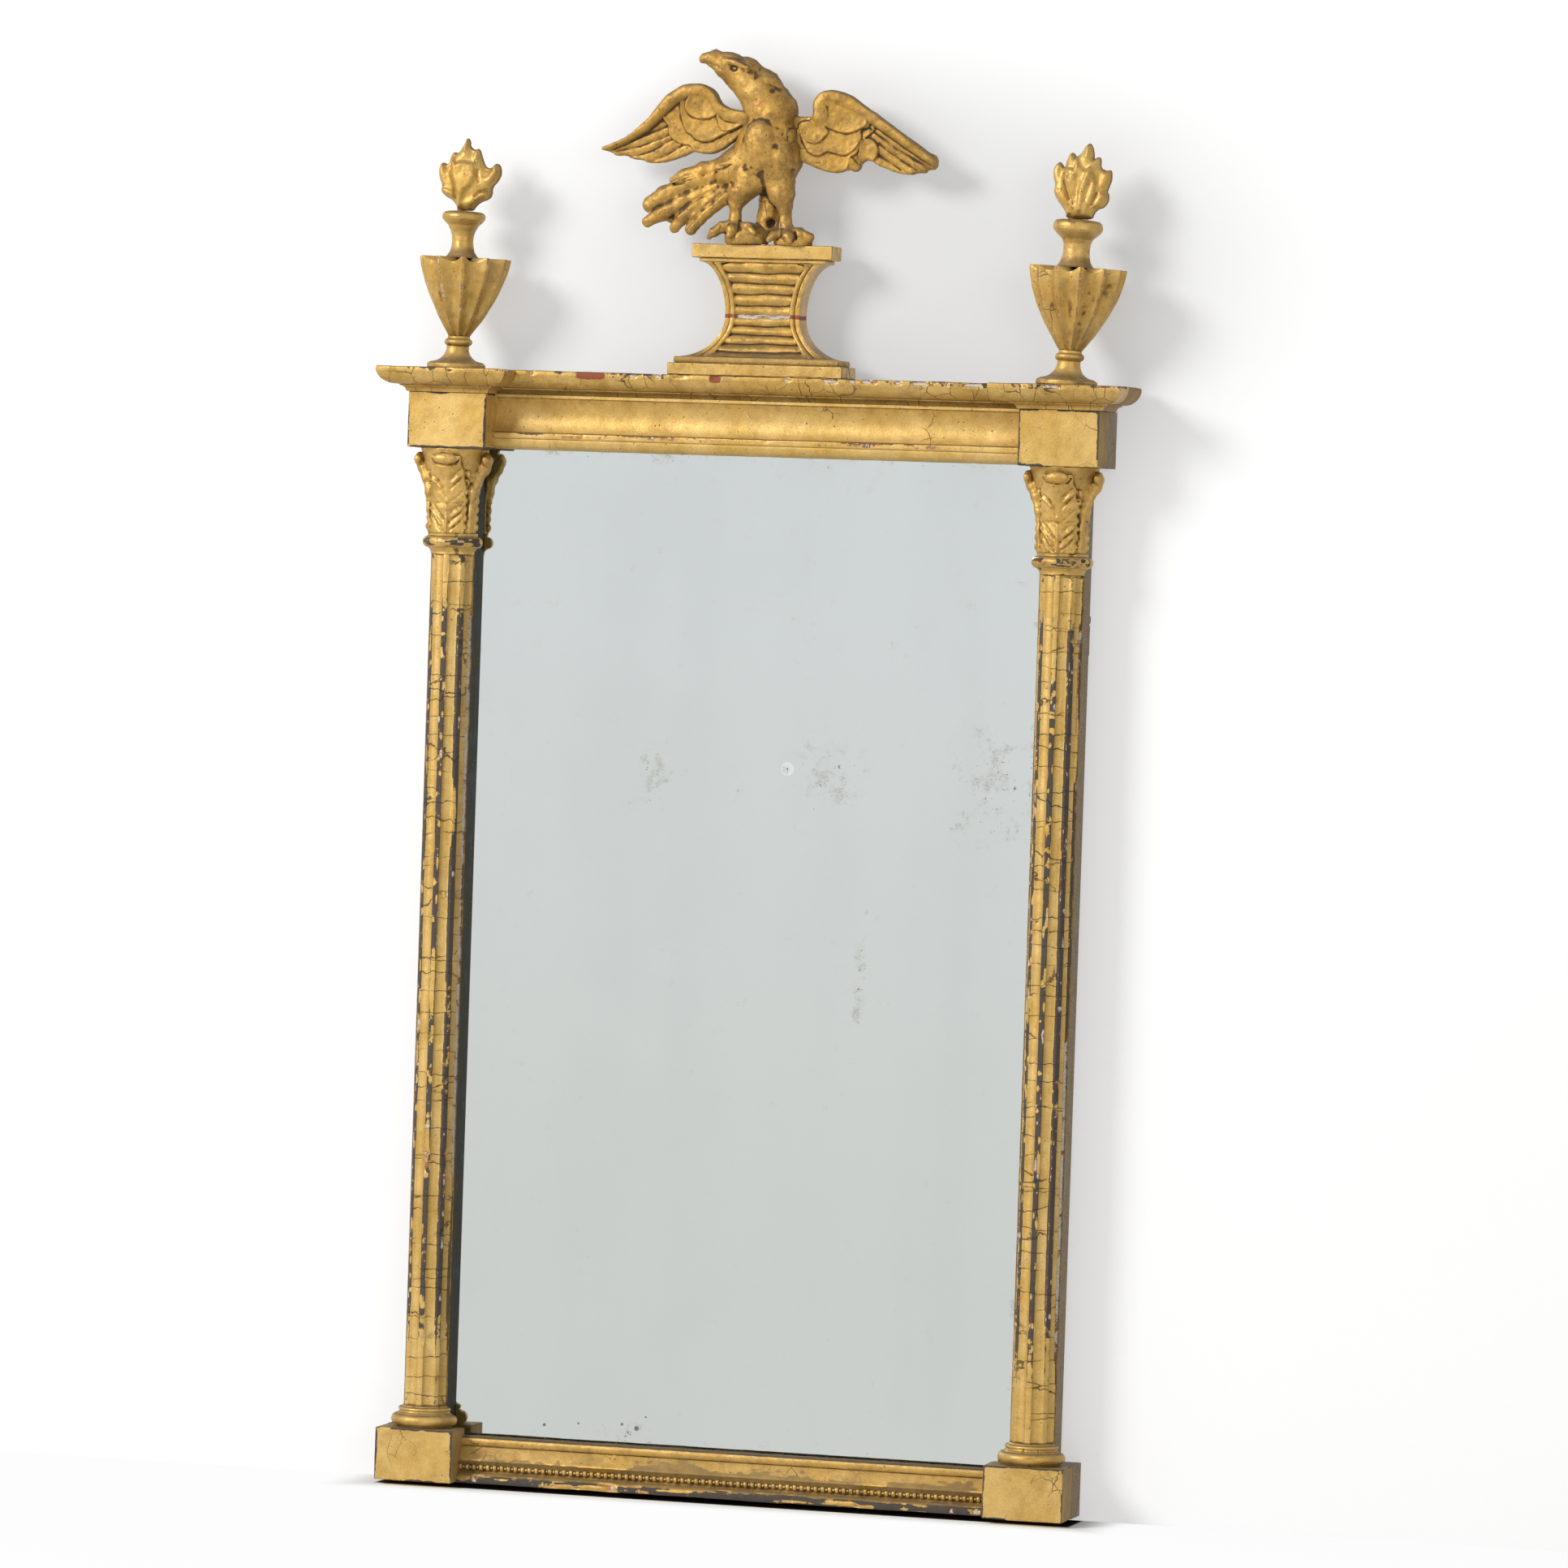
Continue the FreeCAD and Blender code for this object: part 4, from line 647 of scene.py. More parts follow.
class Clay:
    def __init__(self, low, high, step):
        self.low, self.step = np.asarray(low, float), step
        self.shape = np.ceil((np.asarray(high, float) - self.low) / step).astype(int) + 1
        self.field = np.full(self.shape, 40.0, np.float32)

    def axes(self, cut):
        lines = [low + self.step * np.arange(part.start, part.stop) for low, part in zip(self.low, cut)]
        return np.meshgrid(*lines, indexing="ij", sparse=True)

    def whole(self):
        return self.axes([slice(0, size) for size in self.shape])

    def press(self, low, high, measure, soft, away):
        # Joins or carves a form; its distance is measured only near its box.
        margin = 6.0
        first = np.floor((low - margin - self.low) / self.step).astype(int).clip(0, self.shape)
        last = np.ceil((high + margin - self.low) / self.step).astype(int).clip(0, self.shape) + 1
        cut = tuple(slice(a, b) for a, b in zip(first, np.minimum(last, self.shape)))
        old, value = self.field[cut], measure(*self.axes(cut))
        self.field[cut] = -melted(-old, value, soft) if away else melted(old, value, soft)

    def egg(self, centre, radii, soft, away=False):
        centre, radii = np.asarray(centre, float), np.asarray(radii, float)

        def measure(*spot):
            x, y, z = (part - middle for part, middle in zip(spot, centre))
            near = np.sqrt((x / radii[0]) ** 2 + (y / radii[1]) ** 2 + (z / radii[2]) ** 2)
            steep = np.sqrt((x / radii[0] ** 2) ** 2 + (y / radii[1] ** 2) ** 2 + (z / radii[2] ** 2) ** 2)
            return near * (near - 1) / np.maximum(steep, 1e-4)

        self.press(centre - radii, centre + radii, measure, soft, away)

    def limb(self, spine, soft, away=False, flat=1.0):
        # A run of tapering rods through (x, y, z, radius); flat under 1 thins it from front to back.
        spine = np.asarray(spine, float)
        for start, end in zip(spine[:-1], spine[1:]):
            across = end[:3] - start[:3]
            across[1] /= flat
            square = max(across @ across, 1e-6)

            def measure(x, y, z):
                x, y, z = x - start[0], (y - start[1]) / flat, z - start[2]
                share = np.clip((x * across[0] + y * across[1] + z * across[2]) / square, 0, 1)
                x, y, z = x - share * across[0], y - share * across[1], z - share * across[2]
                return (np.sqrt(x ** 2 + y ** 2 + z ** 2) - (start[3] + (end[3] - start[3]) * share)) * flat

            big = max(start[3], end[3])
            self.press(np.minimum(start, end)[:3] - big, np.maximum(start, end)[:3] + big, measure, soft, away)

    def trim(self, value):
        self.field = np.maximum(self.field, np.broadcast_to(value, self.shape))

    def carved(self, seed, sizes, centre, passes=2):
        # The mesh, after tool marks and wear: noise added to the field near its surface.
        near = np.nonzero(np.abs(self.field) < 3)
        where = np.stack([low + self.step * part for low, part in zip(self.low, near)], -1)
        self.field[near] += sum(grainNoise(where, size, seed + i) * reach for i, (size, reach) in enumerate(sizes))
        points, faces = self.skin()
        return relax(points, faces, passes) + np.asarray(centre, float), faces

    def skin(self):
        # Surface net: one point in each cell that the surface crosses.
        field = self.field
        inside = field < 0
        offsets = list(np.ndindex(2, 2, 2))
        count = sum(inside[tuple(slice(i, size - 1 + i) for i, size in zip(offset, self.shape))].astype(np.int8)
                    for offset in offsets)
        cells = np.stack(np.nonzero((count > 0) & (count < 8)), 1)
        index = np.full(self.shape - 1, -1, np.int64)
        index[tuple(cells.T)] = np.arange(len(cells))
        total, crossings = np.zeros((len(cells), 3)), np.zeros(len(cells))
        for offset in offsets:
            for axis in range(3):
                if offset[axis]:
                    continue
                ahead = list(offset)
                ahead[axis] = 1
                a, b = field[tuple((cells + offset).T)], field[tuple((cells + ahead).T)]
                hit = (a < 0) != (b < 0)
                spot = np.array(offset, float)[None].repeat(len(cells), 0)
                spot[:, axis] += np.where(hit, a / np.where(hit, a - b, 1), 0)
                total += spot * hit[:, None]
                crossings += hit
        points = self.low + (cells + total / crossings[:, None]) * self.step
        faces = []
        for axis in range(3):
            u, v = (axis + 1) % 3, (axis + 2) % 3
            low, high = [slice(1, -1)] * 3, [slice(1, -1)] * 3
            low[axis], high[axis] = slice(0, -1), slice(1, None)
            a, b = inside[tuple(low)], inside[tuple(high)]
            spots = np.stack(np.nonzero(a != b), 1)
            solidFirst = a[tuple(spots.T)]
            ring = []
            for du, dv in ((0, 0), (1, 0), (1, 1), (0, 1)):
                cell = spots.copy()
                cell[:, u] += du
                cell[:, v] += dv
                ring.append(index[tuple(cell.T)])
            quads = np.stack(ring, 1)
            quads[~solidFirst] = quads[~solidFirst][:, ::-1]
            faces.append(quads)
        return points, np.concatenate(faces)


def relax(points, faces, passes):
    edges = np.concatenate([faces[:, [0, 1]], faces[:, [1, 2]], faces[:, [2, 3]], faces[:, [3, 0]]])
    size = len(points)
    count = np.bincount(edges[:, 0], minlength=size)[:, None].clip(1)
    for step in (0.5, -0.52) * passes:
        middle = np.stack([np.bincount(edges[:, 0], points[edges[:, 1], i], size) for i in range(3)], 1) / count
        points = points + (middle - points) * step
    return points


def nearPiece(x, z, start, end):
    # The nearest share of the way along a straight piece, and the square of the distance to it.
    (ax, az), (dx, dz) = start, end - start
    share = np.clip(((x - ax) * dx + (z - az) * dz) / max(dx * dx + dz * dz, 1e-9), 0, 1)
    return share, (x - ax - share * dx) ** 2 + (z - az - share * dz) ** 2


def outlineDistance(x, z, outline):
    # Signed distance on a plane, below zero inside a closed outline.
    outline = np.asarray(outline, float)
    nearest = np.full(np.broadcast(x, z).shape, 1e9)
    inside = np.zeros(nearest.shape, bool)
    for start, end in zip(outline, np.roll(outline, -1, 0)):
        nearest = np.minimum(nearest, nearPiece(x, z, start, end)[1])
        (ax, az), (dx, dz) = start, end - start
        inside ^= ((az > z) != (end[1] > z)) & (x < ax + (z - az) * dx / (dz if dz else 1e-9))
    distance = np.sqrt(nearest)
    return np.where(inside, -distance, distance)


def lineDistance(x, z, line):
    # Distance on a plane to an open line, and the share of the way along it.
    line = np.asarray(line, float)
    nearest = np.full(np.broadcast(x, z).shape, 1e9)
    travel = np.zeros(nearest.shape)
    lengths = np.linalg.norm(np.diff(line, axis=0), axis=1)
    done, total = 0.0, lengths.sum()
    for start, end, length in zip(line[:-1], line[1:], lengths):
        share, square = nearPiece(x, z, start, end)
        travel = np.where(square < nearest, (done + share * length) / total, travel)
        nearest = np.minimum(nearest, square)
        done += length
    return np.sqrt(nearest), travel


def easedOutline(corners, passes):
    # A drawn outline rounded by cutting its corners.
    line = np.asarray(corners, float)
    for _ in range(passes):
        ahead = np.roll(line, -1, 0)
        line = np.stack([0.75 * line + 0.25 * ahead, 0.25 * line + 0.75 * ahead], 1).reshape(-1, 2)
    return line


# the frame behind, its ironwork and the glass

timber = {
    "stretch": (1.0, 1.0, 0.06), "grain": (420.0, 5.0, 0.65), "blotch": (60.0, 5.0, 0.7), "speckle": (480.0, 4.0, 0.75),
    "pine": ((0.16, 0.085, 0.040), (0.36, 0.225, 0.120)), "pineStain": (0.09, 0.055, 0.032),
    "bronze": ((0.120, 0.086, 0.046), (0.300, 0.220, 0.115)), "bronzeStain": (0.36, 0.25, 0.11),
    "dark": ((0.020, 0.022, 0.016), (0.075, 0.060, 0.030)), "lip": (0.18, 0.11, 0.045),
}
oldPine = {
    "stretch": (0.05, 1.0, 1.0), "rings": {"Scale": 26.0, "Distortion": 16.0, "Detail": 2.0, "Detail Scale": 0.35},
    "warp": (18.0, 2.0), "fibre": (700.0, 5.0, 0.7), "stain": (9.0, 5.0, 0.65),
    "ringTones": ((0.275, 0.165, 0.085), (0.215, 0.120, 0.059)), "fibreTone": (0.12, 0.068, 0.036),
    "stainTone": (0.085, 0.055, 0.034), "warpTone": (0.33, 0.22, 0.125),
}
iron = {
    "scale": (160.0, 6.0, 0.7), "rust": (420.0, 5.0, 0.75), "tone": (0.085, 0.080, 0.078),
    "rustTones": ((0.070, 0.026, 0.012), (0.190, 0.075, 0.028)),
}
oldGlass = {
    "tone": (0.635, 0.670, 0.668), "warm": (0.600, 0.625, 0.600), "cloudTone": (0.50, 0.53, 0.525),
    "discTone": (0.74, 0.775, 0.76), "smudgeTone": (0.50, 0.50, 0.40), "foxTone": (0.085, 0.085, 0.075),
    "backTone": (0.075, 0.068, 0.060), "cloud": (9.0, 4.0, 0.6), "fine": (330.0, 4.0, 0.7), "blots": (70.0, 5.0, 0.7),
    "panels": (1.0, 1.0, 0.02), "panel": (14.0, 2.0), "wobble": (5.0, 1.0),
    # x, z and reach of each place where the silvering has gone
    "patches": ((-0.080, 0.563, 0.034, 0.036), (0.065, 0.567, 0.042, 0.042), (0.195, 0.566, 0.042, 0.074),
                (0.094, 0.410, 0.010, 0.056), (0.029, 0.574, 0.007, 0.007), (-0.080, 0.047, 0.012, 0.010)),
    "spots": ((-0.1525, 0.047, 0.0015), (-0.1244, 0.0498, 0.0010), (-0.0885, 0.0512, 0.0013),
              (-0.0764, 0.0486, 0.0022), (-0.069, 0.058, 0.0009), (0.029, 0.574, 0.0009)),
    "disc": (0.029, 0.574, 0.0056),
}
dressed = {
    "timber": ("rear_bottom_rail", "rear_top_rail", "stile_left", "stile_right", "cornice_board"),
    "pine": ("glass_blocks", "backboard_lower", "backboard_middle", "backboard_upper", "plinth_dowels", "eagle_dowels",
             "urn_dowels", "wing_dowels"),
    "iron": ("backboard_nails", "hanger_plate_left", "hanger_plate_right", "hanger_eye_left", "hanger_eye_right",
             "hanger_pins", "hanger_screws"),
    "mirror": ("mirror_glass",),
}


def timberMaterial():
    # The hidden frame: pine behind, bronze paint on the outer sides, blackened towards the glass.
    net, place = startMaterial("frameTimber")
    outward, behind, up = net.facing()
    grain = net.noise(net.stretched(place, timber["stretch"]), *timber["grain"])
    blotch, speckle = (net.noise(place, *timber[key]) for key in ("blotch", "speckle"))
    pine = net.blend(net.ramp(grain, 0.3, 0.7), *timber["pine"])
    pine = net.blend(net.ramp(blotch, 0.45, 0.8, 0.0, 0.6), pine, timber["pineStain"])
    bronze = net.blend(net.ramp(speckle, 0.3, 0.72), *timber["bronze"])
    bronze = net.blend(net.ramp(blotch, 0.5, 0.75, 0.0, 0.5), bronze, timber["bronzeStain"])
    dark = net.blend(net.ramp(blotch, 0.4, 0.75), *timber["dark"])
    lip = net.blend(net.ramp(blotch, 0.4, 0.7), timber["lip"], gold["deep"])
    side = outward * net.calc("SIGN", net.split("XYZ", place)[0])
    colour = net.blend(net.ramp(-behind, 0.4, 0.6), pine, lip)
    colour = net.blend(net.ramp(side, 0.4, 0.6), colour, bronze)
    colour = net.blend(net.ramp(-side, 0.4, 0.6), colour, dark)
    colour = net.blend(net.ramp(abs(up), 0.5, 0.8), colour, net.blend(blotch, dark, bronze))
    rough = net.ramp(blotch, 0.3, 0.7, 0.5, 0.72, False)
    return closeMaterial(net, colour, rough, 0.0, grain * 0.5 + speckle * 0.4, 0.5, 0.0006)


def pineMaterial():
    net, place = startMaterial("oldPine")
    bands = net.stretched(place, oldPine["stretch"])
    rings = net.out("Fac", "ShaderNodeTexWave", {"Vector": bands, **oldPine["rings"]}, bands_direction="Z")
    warp, fibre = (net.noise(bands, *oldPine[key]) for key in ("warp", "fibre"))
    stain = net.noise(place, *oldPine["stain"])
    colour = net.blend(net.ramp(rings, 0.25, 0.95), *oldPine["ringTones"])
    colour = net.blend(net.ramp(fibre, 0.35, 0.7, 0.0, 0.45), colour, oldPine["fibreTone"])
    colour = net.blend(net.ramp(stain, 0.48, 0.78, 0.0, 0.75), colour, oldPine["stainTone"])
    colour = net.blend(net.ramp(warp, 0.55, 0.8, 0.0, 0.3), colour, oldPine["warpTone"])
    rough = net.ramp(stain, 0.3, 0.7, 0.62, 0.82, False)
    return closeMaterial(net, colour, rough, 0.0, fibre * 0.6 + rings * 0.1, 0.45, 0.0007)


def ironMaterial():
    net, place = startMaterial("wroughtIron")
    scale, rust = (net.noise(place, *iron[key]) for key in ("scale", "rust"))
    rusty = net.ramp(scale, 0.46, 0.62)
    colour = net.blend(rusty, iron["tone"], net.blend(net.ramp(rust, 0.35, 0.7), *iron["rustTones"]))
    return closeMaterial(net, colour, net.fade(rusty, 0.48, 0.85), net.fade(rusty, 0.85, 0.1), rust, 0.5, 0.0005)


def mirrorMaterial():
    # Silvering that has greyed: a few crisp specks and threads, yellow smudges about them, darker along the edges.
    net, place = startMaterial("agedMirror")
    x, _, z = net.split("XYZ", place)
    cloud, fine, blots = (net.noise(place, *oldGlass[key]) for key in ("cloud", "fine", "blots"))
    panel = net.noise(net.stretched(place, oldGlass["panels"]), *oldGlass["panel"])
    colour = net.blend(net.ramp(z, 0.75, 0.1), oldGlass["tone"], oldGlass["warm"])
    colour = net.blend(net.ramp(cloud + panel, 0.8, 1.2, 0.16, 0.0), colour, oldGlass["cloudTone"])

    def near(inner, outer, spotX, spotZ, wide, tall=None):
        dx, dz = (x - spotX) / wide, (z - spotZ) / (tall or wide)
        return net.ramp(net.calc("SQRT", dx * dx + dz * dz), inner, outer, 1.0, 0.0)

    gone = net.most(*(near(0.2, 1.25, *patch) for patch in oldGlass["patches"]))
    spots = net.most(*(near(0.7, 1.0, *spot) for spot in oldGlass["spots"]))
    colour = net.blend(near(0.9, 1.0, *oldGlass["disc"]), colour, oldGlass["discTone"])
    low, high = net.ramp(z, 0.032, 0.056, 1.0, 0.0), net.ramp(z, 0.803, 0.818)
    edge = net.most(net.ramp(abs(x), 0.219, 0.231), low, high)
    strong = gone * 0.17 + edge * 0.14
    threads = net.ramp(abs(fine - 0.5), 0.006, 0.016, 1.0, 0.0) * net.ramp(blots + strong, 0.70, 0.74)
    foxed = net.most(threads, net.ramp(fine + strong * 0.8, 0.775, 0.80), spots)
    colour = net.blend(net.ramp(blots + strong, 0.60, 0.80) * 0.3, colour, oldGlass["smudgeTone"])
    colour = net.blend(foxed * 0.85, colour, oldGlass["foxTone"])
    behind = net.ramp(net.facing()[1], 0.3, 0.6)
    colour = net.blend(behind, colour, oldGlass["backTone"])  # the silvering is painted over at the back
    rough = net.fade(behind, net.fade(foxed, net.ramp(cloud, 0.3, 0.7, 0.03, 0.06, False), 0.5), 0.8)
    metal = net.fade(behind, net.fade(foxed, 1.0, 0.35), 0.0)
    return closeMaterial(net, colour, rough, metal, net.noise(place, *oldGlass["wobble"]), 0.05, 0.004)


def dressFrame():
    finishes = {"timber": timberMaterial(), "pine": pineMaterial(), "iron": ironMaterial(), "mirror": mirrorMaterial()}
    for key, names in dressed.items():
        for name in names:
            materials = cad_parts[name].data.materials
            if len(materials) == 0:
                materials.append(finishes[key])
            for index in range(len(materials)):
                materials[index] = finishes[key]


# corner blocks

blocks = {
    "z": {"top": (817, 861), "bottom": (0, 41.5)}, "x": (216, 280), "y": (-60, -28), "seed": 11,
    "step": 2.0, "ease": 0.8, "wave": 0.25, "chips": {"top": 0.12, "bottom": 0.25}, "chipDepth": 1.1,
}


def makeBlocks():
    finish = giltMaterial("blockGilt", patina=0.3, wear=0.6, cracks=0.5, dirtAndShade=0.5, specks=0.7, rough=0.44)
    for number, (level, side) in enumerate((level, side) for level in blocks["z"] for side in sides):
        seed, sign = blocks["seed"] + 10 * number, sides[side]
        low, high = zip(sorted(sign * x for x in blocks["x"]), blocks["y"], blocks["z"][level])
        points, faces, normals, chip = wornBox(low, high, blocks["step"], blocks["ease"], blocks["wave"],
                                               blocks["chips"][level], blocks["chipDepth"], seed)
        outward = normals[:, 0] * sign
        inner = 0.75 * smoothStep(-outward, 0.6, 0.8) * (level == "bottom")
        dull = np.maximum.reduce([smoothStep(outward, 0.55, 0.8), inner, smoothStep(normals[:, 1], 0.6, 0.8)])
        red = chip * 0.4 * mottled(points, 18, seed + 5, 0.0, 0.3)
        inset = np.sort(np.minimum(points - low, high - points), 1)[:, 1]
        arris = smoothStep(inset, 3.6, 0.6) * mottled(points, 16, seed + 6, -0.6, 0.0)
        item = meshFrom(f"{level}Block_{side}", points, faces, 50)
        finishPiece(item, finish, f"{level}_block_{side}", chip * 0.5, red, dull, arris)
    print("blocks made")


# cornice, frieze and bottom rail; a chip band is its lowest and highest level and where it starts to stand proud

cornice = {
    "z": 861, "baseY": -32, "blockY": -60, "innerX": 216, "outerX": 280, "backY": -10,
    "profile": [(0, 19), (20.2, 19), (21, 18.2), (21, 15.2)] + arc((20.6, 14.5), (6.2, 5.4), 0.36, 16)
               + [(5.9, 5.0), (5.7, 4.4)] + arc((5.6, 4.2), (1.6, 0.6), -0.35, 7) + [(1.4, 0), (0, 0)],
    "spacing": 0.9, "step": 1.3, "wave": 0.28, "seed": 101, "chipBand": (14.6, 18.6, 18.0), "chips": 0.62,
    "chipDepth": 1.3, "redPatches": ((-133, 21), (-31, 8)),
}
frieze = {
    "z": 818, "y": -28, "halfLength": 216,
    "profile": [(0, 43), (9, 43), (9, 40.9)] + arc((7.8, 40.6), (7.8, 13.2), -0.33, 20)
               + [(9.8, 12.9), (10, 12.5), (10, 9.0), (9.6, 8.6)] + arc((9.2, 8.3), (3.5, 0.2), 0.42, 10)
               + [(3.4, 0), (0, 0)],
    "spacing": 0.9, "step": 1.5, "wave": 0.22, "seed": 131, "chipBand": (8.6, 12.9, 8.0),
    "chips": 0.2, "chipDepth": 0.8,
}
bottomRail = {
    "z": 0, "y": -28, "halfLength": 216,
    "profile": [(0, 36)] + arc((1.8, 36), (5.2, 28.1), 0.74, 12) + [(5.5, 27.9), (12.9, 18.2), (13.1, 17.4)]
               + arc((12.7, 17.0), (13.2, 7.4), -0.55, 12) + [(13.9, 7.2)] + arc((14.3, 6.8), (17.5, 0.3), 0.36, 9)
               + [(17.4, 0), (0, 0)],
    "spacing": 0.8, "step": 1.3, "wave": 0.3, "seed": 151, "chipBand": (0, 6, 14), "chips": 0.45, "chipDepth": 0.9,
}


def makeCornice():
    finish = giltMaterial("corniceGilt", patina=0.5, wear=0.5, cracks=0.75, crackStretch=(1, 1, 0.3), dirtAndShade=0.8)
    baseY, blockY, middle = cornice["baseY"], cornice["blockY"], cornice["innerX"]
    runs = [("corniceCentre", "cornice_centre", (-middle, baseY), (middle, baseY), (0, -1), (-1, -1))]
    for side, sign in sides.items():
        inner, outer = cornice["innerX"] * sign, cornice["outerX"] * sign
        for part, node, *run in (
                ("Front", "front", (outer, blockY), (inner, blockY), (0, -1), (1, 1)),
                ("InnerReturn", "inner_return", (inner, baseY), (inner, blockY), (-sign, 0), (-1, 1)),
                ("OuterReturn", "outer_return", (outer, blockY), (outer, cornice["backY"]), (sign, 0), (1, 0))):
            runs.append((f"cornice{part}_{side}", f"cornice_{node}_{side}", *run))
    for name, node, *run in runs:
        item, points, chip = moulding(name, cornice, *run)
        x, y, z = points.T
        dull = 0.8 * smoothStep(y, -62, -50) * ("Outer" in name)
        red = smoothStep(x, 262, 285) * smoothStep(z, 876, 879) * 0.7 * mottled(points, 9, 77, -0.2, 0.5)
        for patch, reach in cornice["redPatches"]:
            near = smoothStep(np.abs(x - patch), reach, 0.3 * reach) * smoothStep(z, 871.5, 876)
            red = np.maximum(red, 0.78 * near * (y < -45) * (name == "corniceCentre"))
        finishPiece(item, finish, node, chip * 0.6, red, dull, 0.5 * smoothStep(z, 874, 877))


def straightRun(name, run):
    ends = (-run["halfLength"], run["y"]), (run["halfLength"], run["y"])
    return moulding(name, run, *ends, (0, -1), (0, 0))


def makeMouldings():
    makeCornice()
    finish = giltMaterial("friezeGilt", patina=0.25, wear=0.4, cracks=0.3, dirtAndShade=0.7)
    item, points, chip = straightRun("frieze", frieze)
    level = points[:, 2] - frieze["z"]
    fillet = smoothStep(level, 8.2, 9.6) * smoothStep(level, 13.6, 12.6)
    rubbed = fillet * mottled(points, 7, 137, -0.5, 0.3, (0.25, 1, 1))
    shaded = reliefOf(item.data, 1.0) - 0.45 * smoothStep(level, 24, 41)  # painted shadow under the cornice, in amber
    chip = np.maximum(chip * 0.5, 0.42 * rubbed)
    finishPiece(item, finish, "frieze_moulding", chip, None, None, 0.7 * rubbed, relief=shaded)

    finish = giltMaterial("railGilt", patina=0.55, wear=0.6, cracks=0.3, crackStretch=(1, 1, 0.4), dirtAndShade=1.0)
    item, points, chip = straightRun("bottomRail", bottomRail)
    z = points[:, 2]
    worn = smoothStep(z, 7.2, 5.6) * mottled(points, 9, 161, -0.8, -0.1, (0.3, 1, 1))
    worn = worn * (0.45 + 0.55 * mottled(points, 1.8, 162, -0.5, 0.2, (0.12, 1, 1)))  # streaked along the length
    stain = grainNoise(points * (0.35, 1, 0.8), 11, 163) + 0.4 * grainNoise(points * (0.6, 1, 1), 3, 164)
    stained = 0.62 * smoothStep(stain + (21 - z) * 0.1, 0.05, 0.4) * smoothStep(z, 7, 12)  # thickest above the pearls
    worn = np.maximum(worn, 0.95 * smoothStep(z, 33.6, 34.8))  # black sight edge
    chip = np.maximum(chip * 0.5, 0.22 * worn * (z < 9))
    finishPiece(item, finish, "bottom_rail_moulding", chip, None, stained, worn)
    print("mouldings made")


# shapes grown by geometry nodes

def geometryTree(name, sockets):
    # A tree with named inputs, and a way to take each of them.
    tree = bpy.data.node_groups.new(name, "GeometryNodeTree")
    kinds = {int: "NodeSocketInt", float: "NodeSocketFloat"}
    for label, value in sockets.items():
        kind = kinds.get(type(value), "NodeSocketVector")
        tree.interface.new_socket(label, in_out="INPUT", socket_type=kind)
    tree.interface.new_socket("Geometry", in_out="OUTPUT", socket_type="NodeSocketGeometry")
    net = Nodes(tree)
    source = net.add("NodeGroupInput").outputs
    return net, lambda label: Wire(net, source[label])


def closeTree(net, geometry, material):
    smooth = net.add("GeometryNodeSetShadeSmooth", {"Geometry": geometry})
    real = net.add("GeometryNodeRealizeInstances", {"Geometry": smooth})
    done = net.add("GeometryNodeSetMaterial", {"Geometry": real, "Material": material})
    net.add("NodeGroupOutput", {"Geometry": done})
    return net.tree


def grown(name, tree, settings):
    # The tree's result as a plain mesh, with the modifier gone.
    item = placed(name, bpy.data.meshes.new(name + "Seed"))
    modifier = item.modifiers.new("shape", "NODES")
    modifier.node_group = tree
    for socket in tree.interface.items_tree:
        if socket.in_out == "INPUT":
            modifier[socket.identifier] = settings[socket.name]
    seen = item.evaluated_get(bpy.context.evaluated_depsgraph_get())
    mesh = bpy.data.meshes.new_from_object(seen)
    item.modifiers.remove(modifier)
    item.data = mesh
    return item


def gridShares(net, given):
    # Shares across and along a grid whose first and last rows close on the axis.
    grid = net.out("Mesh", "GeometryNodeMeshGrid", {"Size X": 1.0, "Size Y": 1.0, "Vertices X": given("Columns"),
                                                    "Vertices Y": given("Rows")})
    x, y, _ = net.split("XYZ", net.add("GeometryNodeInputPosition"))
    last = given("Rows") - 1.0
    row = (y + 0.5) * last
    level = net.calc("DIVIDE", row - 1.0, last - 2.0, clamp=True)
    opened = net.calc("GREATER_THAN", row, 0.5) * net.calc("LESS_THAN", row, last - 0.5)
    return grid, x + 0.5, level, opened


def placeGrid(net, grid, x, y, z):
    spot = net.add("ShaderNodeCombineXYZ", {0: x, 1: y, 2: z})
    moved = net.add("GeometryNodeSetPosition", {"Geometry": grid, "Position": spot})
    return net.add("GeometryNodeMergeByDistance", {"Geometry": moved, "Distance": 0.00002})


shaft = {
    "inputs": {"Radius": 0.01725, "Height": 0.675, "Flute Pitch": math.radians(47),
               "Flute Half Width": math.radians(15.8),
               "Flute Depth": 0.0030, "Front Share": 0.86, "Columns": 141, "Rows": 420},
    "z": 58.5, "height": 675, "pitch": 47, "wave": 0.2, "chips": 0.34, "chipDepth": 0.9,
    "shade": {"left": 0.46, "right": 0.4}, "flank": {"left": 0.0, "right": 0.9},
}


def shaftTree(material):
    net, given = geometryTree("flutedShaft", shaft["inputs"])
    grid, across, level, opened = gridShares(net, given)
    share, radius = given("Front Share"), given("Radius")
    angle = (net.calc("DIVIDE", across, share, clamp=True) - 0.5) * math.pi
    half = given("Flute Pitch") * 0.5
    off = net.calc("WRAP", angle - half, half, -half) / given("Flute Half Width")  # a fillet in front
    reach = radius - net.calc("SQRT", net.most(1.0 - off * off, 0.0)) * given("Flute Depth")
    back = net.calc("DIVIDE", across - share, 1.0 - share, clamp=True)
    behind = net.calc("GREATER_THAN", across, share)
    x = net.fade(behind, reach * net.calc("SINE", angle), radius * (1.0 - back * 2.0))
    y = net.fade(behind, -(reach * net.calc("COSINE", angle)), 0.0)
    return closeTree(net, placeGrid(net, grid, x * opened, y * opened, level * given("Height")), material)


